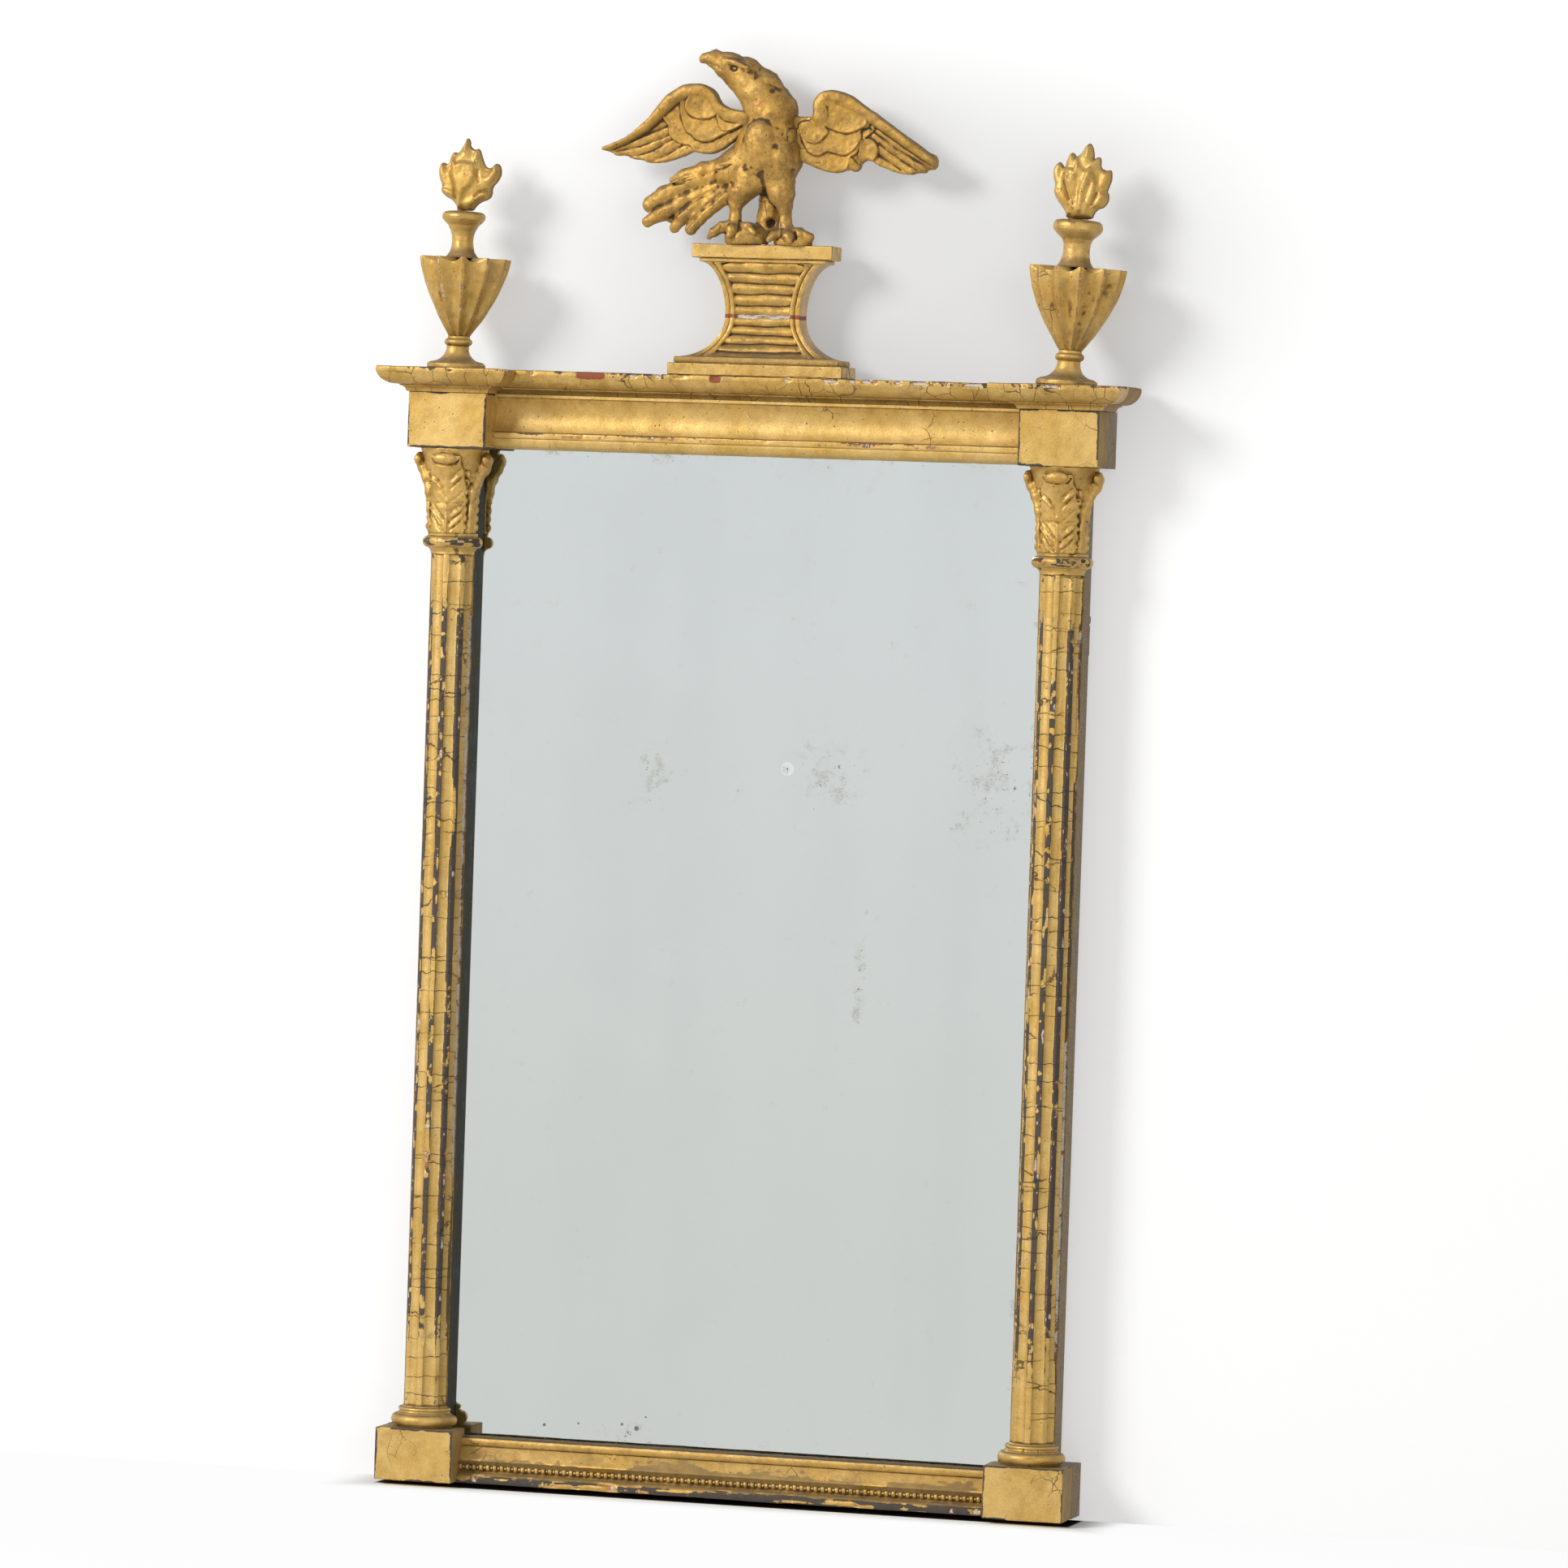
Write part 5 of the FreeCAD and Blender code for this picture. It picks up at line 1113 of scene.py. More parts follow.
def makeShafts():
    finish = giltMaterial("shaftGilt", patina=0.2, wear=0.75, cracks=0.85, crackStretch=(0.12, 0.12, 0.9), dirtAndShade=0.7)
    tree = shaftTree(finish)
    for seed, (side, sign) in enumerate(sides.items(), 3):
        item = grown(f"columnShaft_{side}", tree, shaft["inputs"])
        outwardFaces(item)
        points, normals = readPoints(item.data), readNormals(item.data)
        axisX = columnX * sign
        points += (axisX, axisY, shaft["z"])
        front = smoothStep(axisY - points[:, 1], 0.2, 2.0)
        shift = grainNoise(points * (1, 1, 0.3), 12, seed * 9) + 0.5 * grainNoise(points, 4, seed * 9 + 1)
        proud = smoothStep(np.hypot(points[:, 0] - axisX, points[:, 1] - axisY), 16.1, 16.9)
        low, high = 0.75 - shaft["chips"], 1.2 - shaft["chips"]
        chip = mottled(points, 6, seed * 9 + 2, low, high, (1, 1, 0.6)) * proud * front
        points += normals * ((shift * shaft["wave"] - chip * shaft["chipDepth"]) * front)[:, None]
        movePoints(item, points)
        x, y, z = points.T
        angle = np.degrees(np.arctan2(x - axisX, axisY - y))
        off = np.abs((angle / shaft["pitch"] + 0.5) % 1 - 0.5) * shaft["pitch"]  # degrees from the middle of the fillet
        level = z - shaft["z"]
        ends = smoothStep(level, 25, 90) * smoothStep(shaft["height"] - level, 15, 60)  # gilding kept at the ends
        streak = mottled(points, 8, seed, -0.95, -0.3, (1, 1, 0.12))
        fleck = mottled(points, 2.6, seed + 3, -0.85, -0.25, (1, 1, 0.45))
        right = smoothStep(angle, 20, 34)  # the fillet on the right is bare throughout, and broader
        slate = smoothStep(off - 3.5 * right, 8.6, 7.4) * np.maximum(fleck, right) * (0.35 + 0.65 * ends) * streak
        patch = smoothStep(off, 8.2, 7.0) * mottled(points, 2.4, seed + 4, 0.3, 0.6, (1, 1, 0.35)) * ends
        arris = smoothStep(np.abs(off - 7.8), 1.6, 0.5) * mottled(points, 7, seed + 5, -0.1, 0.5, (1, 1, 0.1)) * ends
        rim = smoothStep(angle, 80.5, 83.5) * mottled(points, 6, seed + 8, -0.6, 0.0, (1, 1, 0.04)) * ends
        shade = shaft["shade"][side] * smoothStep(angle, 55, 58)  # painted shade on the flute turned from the light
        dull = np.maximum(shaft["flank"][side] * smoothStep(angle, 86, 89), shade)
        bare = np.maximum.reduce([0.45 * chip, 0.5 * arris, 0.62 * rim, 0.55 * patch])
        finishPiece(item, finish, f"column_shaft_{side}", bare, 0.25 * chip, dull, slate)
    print("shafts made")


columnBase = {
    "z": 41.5, "spacing": 0.7, "seed": 201,
    "wear": {"steps": 110, "half": True, "wave": 0.25, "chips": 0.2, "chipDepth": 0.7},
    "profile": [(0, 0), (22.5, 0), (23, 0.7)] + arc((23.0, 1.0), (22.4, 10.3), -0.9, 14) + [(22.2, 10.6), (21.6, 11.2)]
               + arc((21.2, 11.4), (20.6, 12.6), 0.4, 4) + arc((20.5, 12.7), (19.8, 15.6), -0.8, 7)
               + [(18.6, 15.9), (17.8, 17), (0, 17)],
}
columnRing = {
    "z": 733.5, "spacing": 0.7, "seed": 221,
    "wear": {"steps": 110, "half": True, "wave": 0.3, "chips": 0.38, "chipDepth": 0.9},
    "profile": [(0, 0), (17.9, 0)] + arc((17.9, 0.3), (19.9, 4.5), 0.3, 6) + arc((20.2, 4.9), (20.3, 14.3), -0.9, 14)
               + [(20.2, 14.7), (20.4, 16.5), (0, 16.5)],
}


def makeTurnings():
    base = giltMaterial("baseGilt", patina=0.45, wear=0.4, cracks=0.3, dirtAndShade=0.8)
    ring = giltMaterial("ringGilt", patina=0.4, wear=0.75, cracks=0.3, dirtAndShade=0.7)

    def turning(name, number, side, form):
        centre, profile = (columnX * sides[side], axisY, form["z"]), sampleLine(form["profile"], form["spacing"])
        return turnedPiece(f"{name}_{side}", profile, centre, form["seed"] + number, **form["wear"])

    for number, side in enumerate(sides):
        item, points, chip = turning("columnBase", number, side, columnBase)
        finishPiece(item, base, f"column_base_{side}", chip * 0.45)
        item, points, chip = turning("columnRing", number, side, columnRing)
        level = points[:, 2] - columnRing["z"]
        front = smoothStep(level, 4.5, 7) * smoothStep(level, 14.5, 12.5) * smoothStep(axisY - points[:, 1], 2, 7)
        fleck = mottled(points, 3, 227 + number, -0.35, 0.15, (0.5, 0.5, 1.4))
        chip = np.maximum(chip * 0.4, 0.42 * front * (1 - fleck))
        finishPiece(item, ring, f"column_ring_{side}", chip, None, None, 0.9 * front * fleck)
    print("column bases and rings made")


beads = {
    "inputs": {"Start": (-0.2145, -0.04015, 0.01224), "End": (0.2145, -0.04015, 0.01224), "Count": 76,
               "Bead Radius": 0.00242, "Cord Radius": 0.0011, "Least Scale": 0.72, "Seed": 7},
    "most": (1.12, 1.05, 1.04), "leastAlong": 0.94, "leastUp": 0.9,
}


def makeBeads():
    finish = giltMaterial("beadGilt", patina=0.6, wear=0.3, cracks=0.0, dirtAndShade=1.0)
    inputs = beads["inputs"]
    net, given = geometryTree("beadStrip", inputs)
    line = net.add("GeometryNodeCurvePrimitiveLine", {"Start": given("Start"), "End": given("End")})
    stops = net.add("GeometryNodeResampleCurve", {"Curve": line, "Count": given("Count")})
    bead = net.out("Mesh", "GeometryNodeMeshUVSphere", {"Segments": 10, "Rings": 7, "Radius": given("Bead Radius")})
    least = net.add("ShaderNodeCombineXYZ", {0: beads["leastAlong"], 1: given("Least Scale"), 2: beads["leastUp"]})
    size = net.add("FunctionNodeRandomValue", {"Min": least, "Max": beads["most"], "Seed": given("Seed")},
                   data_type="FLOAT_VECTOR")
    row = net.add("GeometryNodeInstanceOnPoints", {"Points": stops, "Instance": bead, "Scale": size})
    ring = net.out("Curve", "GeometryNodeCurvePrimitiveCircle", {"Resolution": 10, "Radius": given("Cord Radius")})
    cord = net.add("GeometryNodeCurveToMesh", {"Curve": line, "Profile Curve": ring, "Fill Caps": True})
    both = net.add("GeometryNodeJoinGeometry", {"Geometry": row})
    net.feed(both.inputs[0], cord)
    item = grown("beadStrip", closeTree(net, both, finish), inputs)
    first, last = inputs["Start"][0] * 1000, inputs["End"][0] * 1000
    pitch = (last - first) / (inputs["Count"] - 1)
    off = np.abs(((readPoints(item.data)[:, 0] - first) / pitch + 0.5) % 1 - 0.5) * pitch
    finishPiece(item, finish, "bead_strip", relief=-2 * smoothStep(off, 1.3, 2.1))  # painted shade and dirt between the pearls
    print("beads made")


# plinth

plinth = {
    "backY": -12, "waistZ": 927.5, "waistWidth": 60, "waistDepth": 22, "footWidth": 133, "footDepth": 38,
    "border": 8.0, "beadHalf": 2.0, "recess": 2.2, "reedHeight": 2.0, "reeds": 5, "rowStep": 0.55,
    "front": 161, "flank": 15, "behind": 31,  # points round each row
    "halves": {
        "lower": {"low": 894.5, "high": 927.5, "spread": 37, "deepen": 16, "upward": False, "foot": 889.5},
        "upper": {"low": 927.5, "high": 969.5, "spread": 22, "deepen": 4.5, "upward": True, "foot": None},
    },
    "slab": {"low": (-71, -52, 880), "high": (71, -10, 889.5), "step": 1.8, "ease": 1.0, "wave": 0.25, "chips": 0.42,
             "chipDepth": 1.2, "seed": 311},
    "cap": {"low": (-57, -41, 972.5), "high": (57, -12, 983.5), "step": 1.8, "ease": 0.8, "wave": 0.22, "chips": 0.3,
            "chipDepth": 1.0, "seed": 321},
    "neck": {"low": (-51.5, -38, 969.5), "high": (51.5, -12, 972.5), "step": 1.8, "ease": 0.6, "wave": 0.15,
             "chips": 0.2, "chipDepth": 0.8, "seed": 331},
}


def reededBody(low, high, spread, deepen, upward, foot):
    # One half of the waisted body: rows of points round a rectangle, reeded on the front between beaded borders.
    tall, backY = high - low, plinth["backY"]
    levels = np.linspace(low, high, int(tall / plinth["rowStep"]))
    if foot:
        levels = np.concatenate([foot + np.array([0, 0.4, 1.2, 2.5, 3.8, 4.6]), [low - 0.02], levels])
    share = np.clip((levels - low) / tall if upward else (high - levels) / tall, 0, 1)
    flare = 1 - np.sqrt(1 - 0.985 * share ** 2)
    half = plinth["waistWidth"] / 2 + spread * flare
    deep = plinth["waistDepth"] + deepen * flare
    if foot:
        onFoot = levels < low
        ease = np.interp(levels, [foot, foot + 1.2, foot + 3.8, low], [0.8, 0, 0, 0.8])
        half = np.where(onFoot, plinth["footWidth"] / 2 - ease, half)
        deep = np.where(onFoot, plinth["footDepth"] - ease, deep)
    slope = 1 / np.sqrt(1 + np.gradient(half, levels.clip(low, None) + np.arange(len(levels)) * 1e-6) ** 2)
    travel = np.concatenate([[0], np.cumsum(np.hypot(np.diff(levels), np.diff(deep)))])
    travel = travel - travel[np.argmax(levels >= low)]
    travel = travel / travel[-1] * plinth["reeds"]
    across, back = np.linspace(-1, 1, plinth["front"]), np.linspace(1, -1, plinth["behind"])
    steps = np.linspace(0, 1, plinth["flank"])[1:-1]
    rows = []
    for level, wide, depth, lean, along in zip(levels, half, deep, slope, travel):
        x = across * wide
        inward = (wide - np.abs(x)) * min(lean * 1.3, 1)
        inside = smoothStep(inward, plinth["border"] - 0.8, plinth["border"] + 0.9)
        wobble = 0.05 * np.sin(x / 13 + along * 2) + 0.03 * np.sin(x / 4.7 + along * 5)
        reed = plinth["reedHeight"] * np.abs(np.sin(math.pi * (along + wobble))) ** 0.9
        bead = np.clip(1 - ((inward - plinth["border"] + plinth["beadHalf"]) / plinth["beadHalf"]) ** 2, 0, 1) ** 0.5
        sink = (plinth["recess"] - reed) * inside - 1.0 * bead + 0.5 * np.exp(-((inward - 3.6) / 0.7) ** 2)
        plan = [(x, backY - depth + sink * (level >= low)), (0 * steps + wide, backY - depth * (1 - steps)),
                (back * wide, 0 * back + backY), (0 * steps - wide, backY - depth * steps)]
        plan = np.concatenate([np.stack(part, 1) for part in plan])
        rows.append(np.column_stack([plan, np.full(len(plan), level)]))
    return np.concatenate(rows), tubeFaces(len(rows), len(rows[0]))


def rubbed(normals):
    # Worn arrises, and the dull sides and back of a flat piece.
    dull = np.maximum(0.4 * smoothStep(np.abs(normals[:, 0]), 0.6, 0.8), smoothStep(normals[:, 1], 0.6, 0.8))
    return dull, 0.8 * smoothStep(np.abs(normals).max(1), 0.98, 0.85)


def makePlinth():
    finish = giltMaterial("plinthGilt", patina=0.7, wear=0.35, cracks=0.4, crackStretch=(1.2, 1, 0.5), dirtAndShade=1.0,
                          specks=0.4)
    flat = giltMaterial("slabGilt", patina=0.45, wear=0.6, cracks=0.5, crackStretch=(1, 1, 0.4), dirtAndShade=0.7)
    for key, half in plinth["halves"].items():
        points, faces = reededBody(**half)
        shift = grainNoise(points, 11, 301) * 0.35 + grainNoise(points, 4, 302) * 0.16
        points[:, 1] -= shift * (points[:, 1] < plinth["backY"] - 2)
        item = meshFrom(f"plinth{key.title()}", points, faces, 50)
        outwardFaces(item)
        near = 1 - smoothStep(np.abs(points[:, 2] - plinth["waistZ"] - grainNoise(points, 9, 303)), 0.8, 3.2)
        middle = 1 - smoothStep(np.abs(points[:, 0]), 20, 26)
        chip = np.maximum(near * (0.25 + 0.4 * middle), scattered(points, 305, 0.12))
        low = 0.5 * smoothStep(points[:, 2], 905, 893) * (key == "lower")
        dull = np.maximum(smoothStep(readNormals(item.data)[:, 1], 0.7, 0.9), low)
        finishPiece(item, finish, f"plinth_{key}_body", chip, near * (0.75 - 0.4 * middle), dull, reach=1.4)
    points, faces, normals, chip = wornBox(**plinth["slab"])
    item = meshFrom("plinthSlab", points, faces, 50)
    finishPiece(item, flat, "plinth_base", chip * 0.5, chip * 0.3, *rubbed(normals))
    cap, neck = wornBox(**plinth["cap"]), wornBox(**plinth["neck"])
    points, faces, normals, chip = (np.concatenate(pair) for pair in zip(cap, neck))
    faces[len(cap[1]):] += len(cap[0])
    ridge = smoothStep(points[:, 2], 981.5, 983) * smoothStep(points[:, 1], -37, -40)
    ridge = ridge * mottled(points, 6, 335, -0.3, 0.3, (0.3, 1, 1))
    item = meshFrom("plinthCap", points, faces, 50)
    finishPiece(item, flat, "plinth_cap", np.maximum(chip, ridge) * 0.5, chip * 0.2, *rubbed(normals))
    print("plinth made")


# urns: radius and height of each turned part, and the cover's profile as shares of its own

urns = {
    "left": {"foot": (23.2, 25.5), "bowl": (36.3, 62.0), "cover": (17.3, 37.0), "flutes": 11, "phase": 14.7,
             "lean": 1.3, "bend": 3.0, "swell": 1.5, "seed": 341,
             "coverShares": ((0.8, 0), (0.7, 0.03), (0.56, 0.13), (0.5, 0.24), (0.48, 0.34), (0.5, 0.46), (0.56, 0.57),
                             (0.7, 0.695), (0.86, 0.765), (0.97, 0.82), (1, 0.875), (0.97, 0.925), (0.88, 0.965),
                             (0.75, 0.98), (0.4, 1))},
    "right": {"foot": (24.0, 27.0), "bowl": (37.7, 64.5), "cover": (19.7, 37.2), "flutes": 12, "phase": 16.6,
              "lean": 2.4, "bend": 2.6, "swell": 1.7, "seed": 371,
              "coverShares": ((0.8, 0), (0.7, 0.03), (0.6, 0.12), (0.54, 0.24), (0.52, 0.38), (0.54, 0.5), (0.62, 0.59),
                              (0.78, 0.66), (0.92, 0.735), (0.99, 0.79), (1, 0.85), (0.96, 0.925), (0.86, 0.975),
                              (0.75, 0.985), (0.4, 1))},
    "y": -40, "z": 880, "footWear": {"steps": 90, "half": False, "wave": 0.4, "chips": 0.25, "chipDepth": 0.8},
    "coverWear": {"steps": 100, "half": False, "wave": 0.35, "chips": 0.2, "chipDepth": 0.7},
}
bowl = {
    "inputs": {"Radius": 0.0363, "Height": 0.062, "Flutes": 11, "Flute Depth": 0.0056, "Ridge Share": 0.12,
               "Scallop": 0.0038, "Phase": 0.25, "Foot Share": 0.23, "Swell": 1.5, "Columns": 265, "Rows": 66},
}


def bowlTree(material):
    net, given = geometryTree("flutedBowl", bowl["inputs"])
    grid, across, level, opened = gridShares(net, given)
    angle = across * (2 * math.pi)
    part = net.calc("FRACT", (angle - given("Phase")) * given("Flutes") / (2 * math.pi))
    off = net.calc("DIVIDE", abs(part - 0.5) * 2.0, 1.0 - given("Ridge Share"), clamp=True)
    scoop = 1.0 - off * off
    # the side swells from the foot and steepens up to the rim
    wide = 1.0 - net.calc("POWER", 1.0 - level, given("Swell")) * (1.0 - given("Foot Share"))
    depth = scoop * net.ramp(level, 0.0, 0.6, 0.3, 1.0) * given("Flute Depth")
    radius = (wide * given("Radius") - depth) * opened
    z = level * (given("Height") - scoop * given("Scallop"))
    x, y = radius * net.calc("SINE", angle), radius * -net.calc("COSINE", angle)
    return closeTree(net, placeGrid(net, grid, x, y, z), material)


def footProfile(r, h):
    line = [(0, 0), (r - 0.6, 0), (r, 0.6), (r, 0.13 * h), (0.95 * r, 0.165 * h), (0.9 * r, 0.19 * h)]
    line += arc((0.86 * r, 0.21 * h), (0.38 * r, 0.58 * h), 0.34, 12) + [(0.37 * r, 0.68 * h)]
    line += arc((0.38 * r, 0.72 * h), (0.39 * r, 0.92 * h), -0.8, 9) + [(0.37 * r, 0.95 * h), (0.37 * r, h), (0, h)]
    return sampleLine(line, 0.7)


def coverProfile(shares, radius, tall):
    return sampleLine([(0, 0)] + [(wide * radius, high * tall) for wide, high in shares] + [(0, tall)], 0.6)


# Flames: outline shares of radius and height, then on the front a raised lobe, ribs, and creases or hollows
# below zero.
flames = {
    "left": {
        "radius": 26.5, "height": 58.5, "lift": 3.0, "seed": 401,
        "outline": ((-0.19, 0), (-0.26, 0.08), (-0.4, 0.147), (-0.62, 0.19), (-0.756, 0.26), (-0.71, 0.327),
                    (-0.82, 0.43), (-0.856, 0.564),
                    (-0.746, 0.655), (-0.545, 0.605), (-0.498, 0.734), (-0.388, 0.797), (-0.258, 0.767),
                    (-0.1, 0.9), (0, 1),
                    (0.1, 0.937), (0.086, 0.876), (0.254, 0.824), (0.388, 0.858), (0.507, 0.7), (0.612, 0.605),
                    (0.77, 0.587),
                    (0.914, 0.666), (1.057, 0.643), (1.12, 0.53), (1.033, 0.43), (0.842, 0.327), (0.856, 0.237),
                    (0.77, 0.17),
                    (0.507, 0.124), (0.34, 0.056), (0.29, 0)),
        "lobe": ((-11.4, 39.8), (-9.4, 40.9), (-6.6, 38.1), (-4.1, 39.5), (0, 39.8), (5.1, 38.7), (7.9, 38.1),
                 (9.4, 32.7), (10.7, 26.7),
                 (8.1, 19.6), (3, 15.8), (0, 7.6), (-1, 0.5), (-5, 0.5), (-5.3, 10.3), (-7.6, 20.2), (-10.2, 27.8),
                 (-11.4, 34.3)),
        "ribs": ((((-19.8, 17.2), (-14.7, 14.2), (-9.1, 12.6)), 3.0, 2.6), (((21.3, 13.6), (13.2, 10.9),
                 (7.1, 7.1)), 3.2, 2.2),
                 (((0, 57.7), (0, 48.5)), 2.2, 1.4), (((10.4, 50.1), (9.1, 42)), 1.8, 1.4), (((24.9, 38.6),
                 (26.4, 32.2), (22.3, 25.1)), 3, 1.4),
                 (((-19.5, 36.5), (-20.5, 29), (-17, 21.5)), 2.6, 1.2), (((7.5, 36.5), (8.8, 29)), 1.4, 1.0),
                 (((-12.2, 39.7), (-10.7, 27.8), (-7.6, 19.6), (-5.6, 9.2)), 0.9, -1.6), (((11.4, 32.2),
                 (12.2, 23.4)), 1.3, -1.6),
                 (((10.2, 11.7), (14.2, 15.8), (20.8, 17.4)), 1.0, -2.0), (((5.1, 46.9), (5.2, 45.1)), 3.6, -2.2),
                 (((-15.2, 35.4), (-14.5, 32.2)), 3.2, -2.4), (((18.3, 33.8), (17, 30.1)), 4.0, -2.4),
                 (((-10.2, 45.7), (-10, 42.9)), 2.4, -1.2)),
    },
    "right": {
        "radius": 22.6, "height": 59.8, "lift": 2.6, "seed": 431,
        "outline": ((-0.435, 0), (-0.47, 0.08), (-0.6, 0.15), (-0.806, 0.234), (-0.95, 0.343), (-0.906, 0.425),
                    (-0.98, 0.516), (-1.01, 0.636),
                    (-0.894, 0.71), (-0.765, 0.733), (-0.6, 0.642), (-0.553, 0.777), (-0.41, 0.868),
                    (-0.276, 0.842), (-0.235, 0.8),
                    (-0.04, 0.868), (0.076, 0.961), (0.224, 1), (0.34, 0.94), (0.4, 0.84), (0.39, 0.787),
                    (0.56, 0.83), (0.647, 0.8),
                    (0.653, 0.68), (0.9, 0.65), (1.035, 0.672), (1.076, 0.55), (0.99, 0.43), (0.94, 0.375),
                    (1.02, 0.347), (1.02, 0.256),
                    (0.87, 0.17), (0.665, 0.147), (0.547, 0.093), (0.47, 0)),
        "lobe": ((-11.9, 35.3), (-9.2, 39.9), (-5.9, 38.9), (-2.7, 45.8), (0, 41.9), (3.8, 39.1), (8.1, 40.6),
                 (10.3, 37.5), (14.6, 28.6), (13, 19),
                 (9.2, 10.7), (8.6, 0.5), (-3.8, 0.5), (-4.9, 11.8), (-9.2, 23.5), (-11.9, 29.1)),
        "ribs": ((((8.4, 39.1), (4.6, 28.6), (2.4, 20.7), (1.9, 7.9)), 2.2, 2.4), (((-10.3, 37.5), (-10.3, 30.7),
                 (-7, 20.7), (-3.8, 9.5)), 1.6, 2.0),
                 (((-2.7, 44.7), (-3.8, 35.2)), 1.6, 1.6), (((-6.5, 38.1), (-4.3, 31.9)), 1.4, 1.3), (((-20, 23.5),
                 (-14, 15.1), (-8.1, 5.1)), 2.2, 2.4),
                 (((-14, 21.7), (-8.1, 11.8)), 1.5, 1.6), (((18.9, 19), (14.6, 11.8)), 2.8, 2.2), (((4.8, 57.9),
                 (4.4, 48.6)), 1.6, 1.2),
                 (((-9.5, 31.9), (-8.1, 23.5), (-3.8, 11.8)), 0.9, -2.2), (((-13, 34.7), (-11.9, 26.3),
                 (-7, 15.1)), 0.9, -1.8),
                 (((8.6, 28.6), (5.9, 15.1)), 2.2, -1.6), (((-1.6, 31.9), (-2.2, 20.7)), 2.4, -1.6), (((14.1, 20.7),
                 (10.8, 11.8)), 1.0, -1.8),
                 (((-16.8, 37.2), (-16, 34.1)), 2.8, -1.8), (((14.6, 34.1), (14, 31)), 3.6, -1.8)),
    },
    "depth": 7.5, "round": 7.0, "step": 0.6, "marks": ((8, 0.3), (3.2, 0.12)),
}


def sideways(item):
    # Carving darkens where it turns away from the front.
    return 0.75 * smoothStep(np.abs(readNormals(item.data)[:, 1]), 0.55, 0.15)


def reliefClay(outline, front, back, step):
    # Clay for a form cut inside an outline, its axes, and the plane they span seen from the front.
    low, high = outline.min(0) - 3, outline.max(0) + 3
    clay = Clay((low[0], front, low[1]), (high[0], back, high[1]), step)
    x, y, z = clay.whole()
    return clay, y, z, (x[:, 0, :], z[:, 0, :])


def flameSkin(flame, centre):
    outline = easedOutline(np.array(flame["outline"]) * (flame["radius"], flame["height"]), 1)
    clay, y, z, plane = reliefClay(outline, -16, 16, flames["step"])
    inside = np.clip(-outlineDistance(*plane, outline) / flames["round"], 0, 1)
    height = flames["depth"] * np.sqrt(1 - (1 - inside) ** 2)
    relief = flame["lift"] * smoothStep(-outlineDistance(*plane, flame["lobe"]), -1.0, 3.6)
    for line, reach, lift in flame["ribs"]:
        relief = relief + 0.8 * lift * np.exp(-(lineDistance(*plane, line)[0] / reach) ** 2)
    height = (height + relief * smoothStep(inside, 0.05, 0.4))[:, None, :]
    clay.field[:] = np.where(height > 0, (np.abs(y) - height) * 0.6, 1)
    clay.trim(-z)
    return clay.carved(flame["seed"], flames["marks"], centre)


def bent(points, size):
    # Foot and bowl bow to the right as they rise; the cover stands straighter.
    share = np.clip((points[:, 2] - urns["z"]) / (size["foot"][1] + size["bowl"][1]), 0, 1)
    return points + np.stack([size["bend"] * np.sin(share * math.pi / 2), 0 * share, 0 * share], 1)


def makeBowl(side, tree, finish, base, top):
    size, seed = urns[side], urns[side]["seed"]
    radius, tall = size["bowl"]
    shape = dict(bowl["inputs"], Radius=radius / 1000, Height=tall / 1000, Flutes=size["flutes"],
                 Phase=math.radians(size["phase"]), Swell=size["swell"])
    item = grown(f"urnBowl_{side}", tree, shape)
    outwardFaces(item)
    points, normals = readPoints(item.data), readNormals(item.data)
    turn = np.arctan2(points[:, 0], -points[:, 1]) - shape["Phase"]
    arris = np.abs((turn * size["flutes"] / (2 * math.pi)) % 1 - 0.5) * 2
    points += (base[0], base[1], top)
    shift = grainNoise(points, 10, seed + 7) * 0.4 + grainNoise(points, 4, seed + 8) * 0.18
    knocked = scattered(points, seed + 9, 0.2)
    chip = np.maximum(knocked, 0.46 * smoothStep(arris, 0.80, 0.95))
    points += normals * (shift - 0.5 * knocked)[:, None]
    movePoints(item, bent(leaned(points, base, size["lean"]), size))
    # painted shade at the lip under the cover, and patches of grime
    lip = smoothStep(points[:, 2] - top, tall - 6, tall - 1)
    lipShadeAndGrime = np.maximum(0.8 * lip, 0.4 * mottled(points, 9, seed + 10, 0.1, 0.6, (1, 1, 0.5)))
    finishPiece(item, finish, f"urn_bowl_{side}", chip, relief=1.4 * reliefOf(item.data, 0.75) - lipShadeAndGrime)


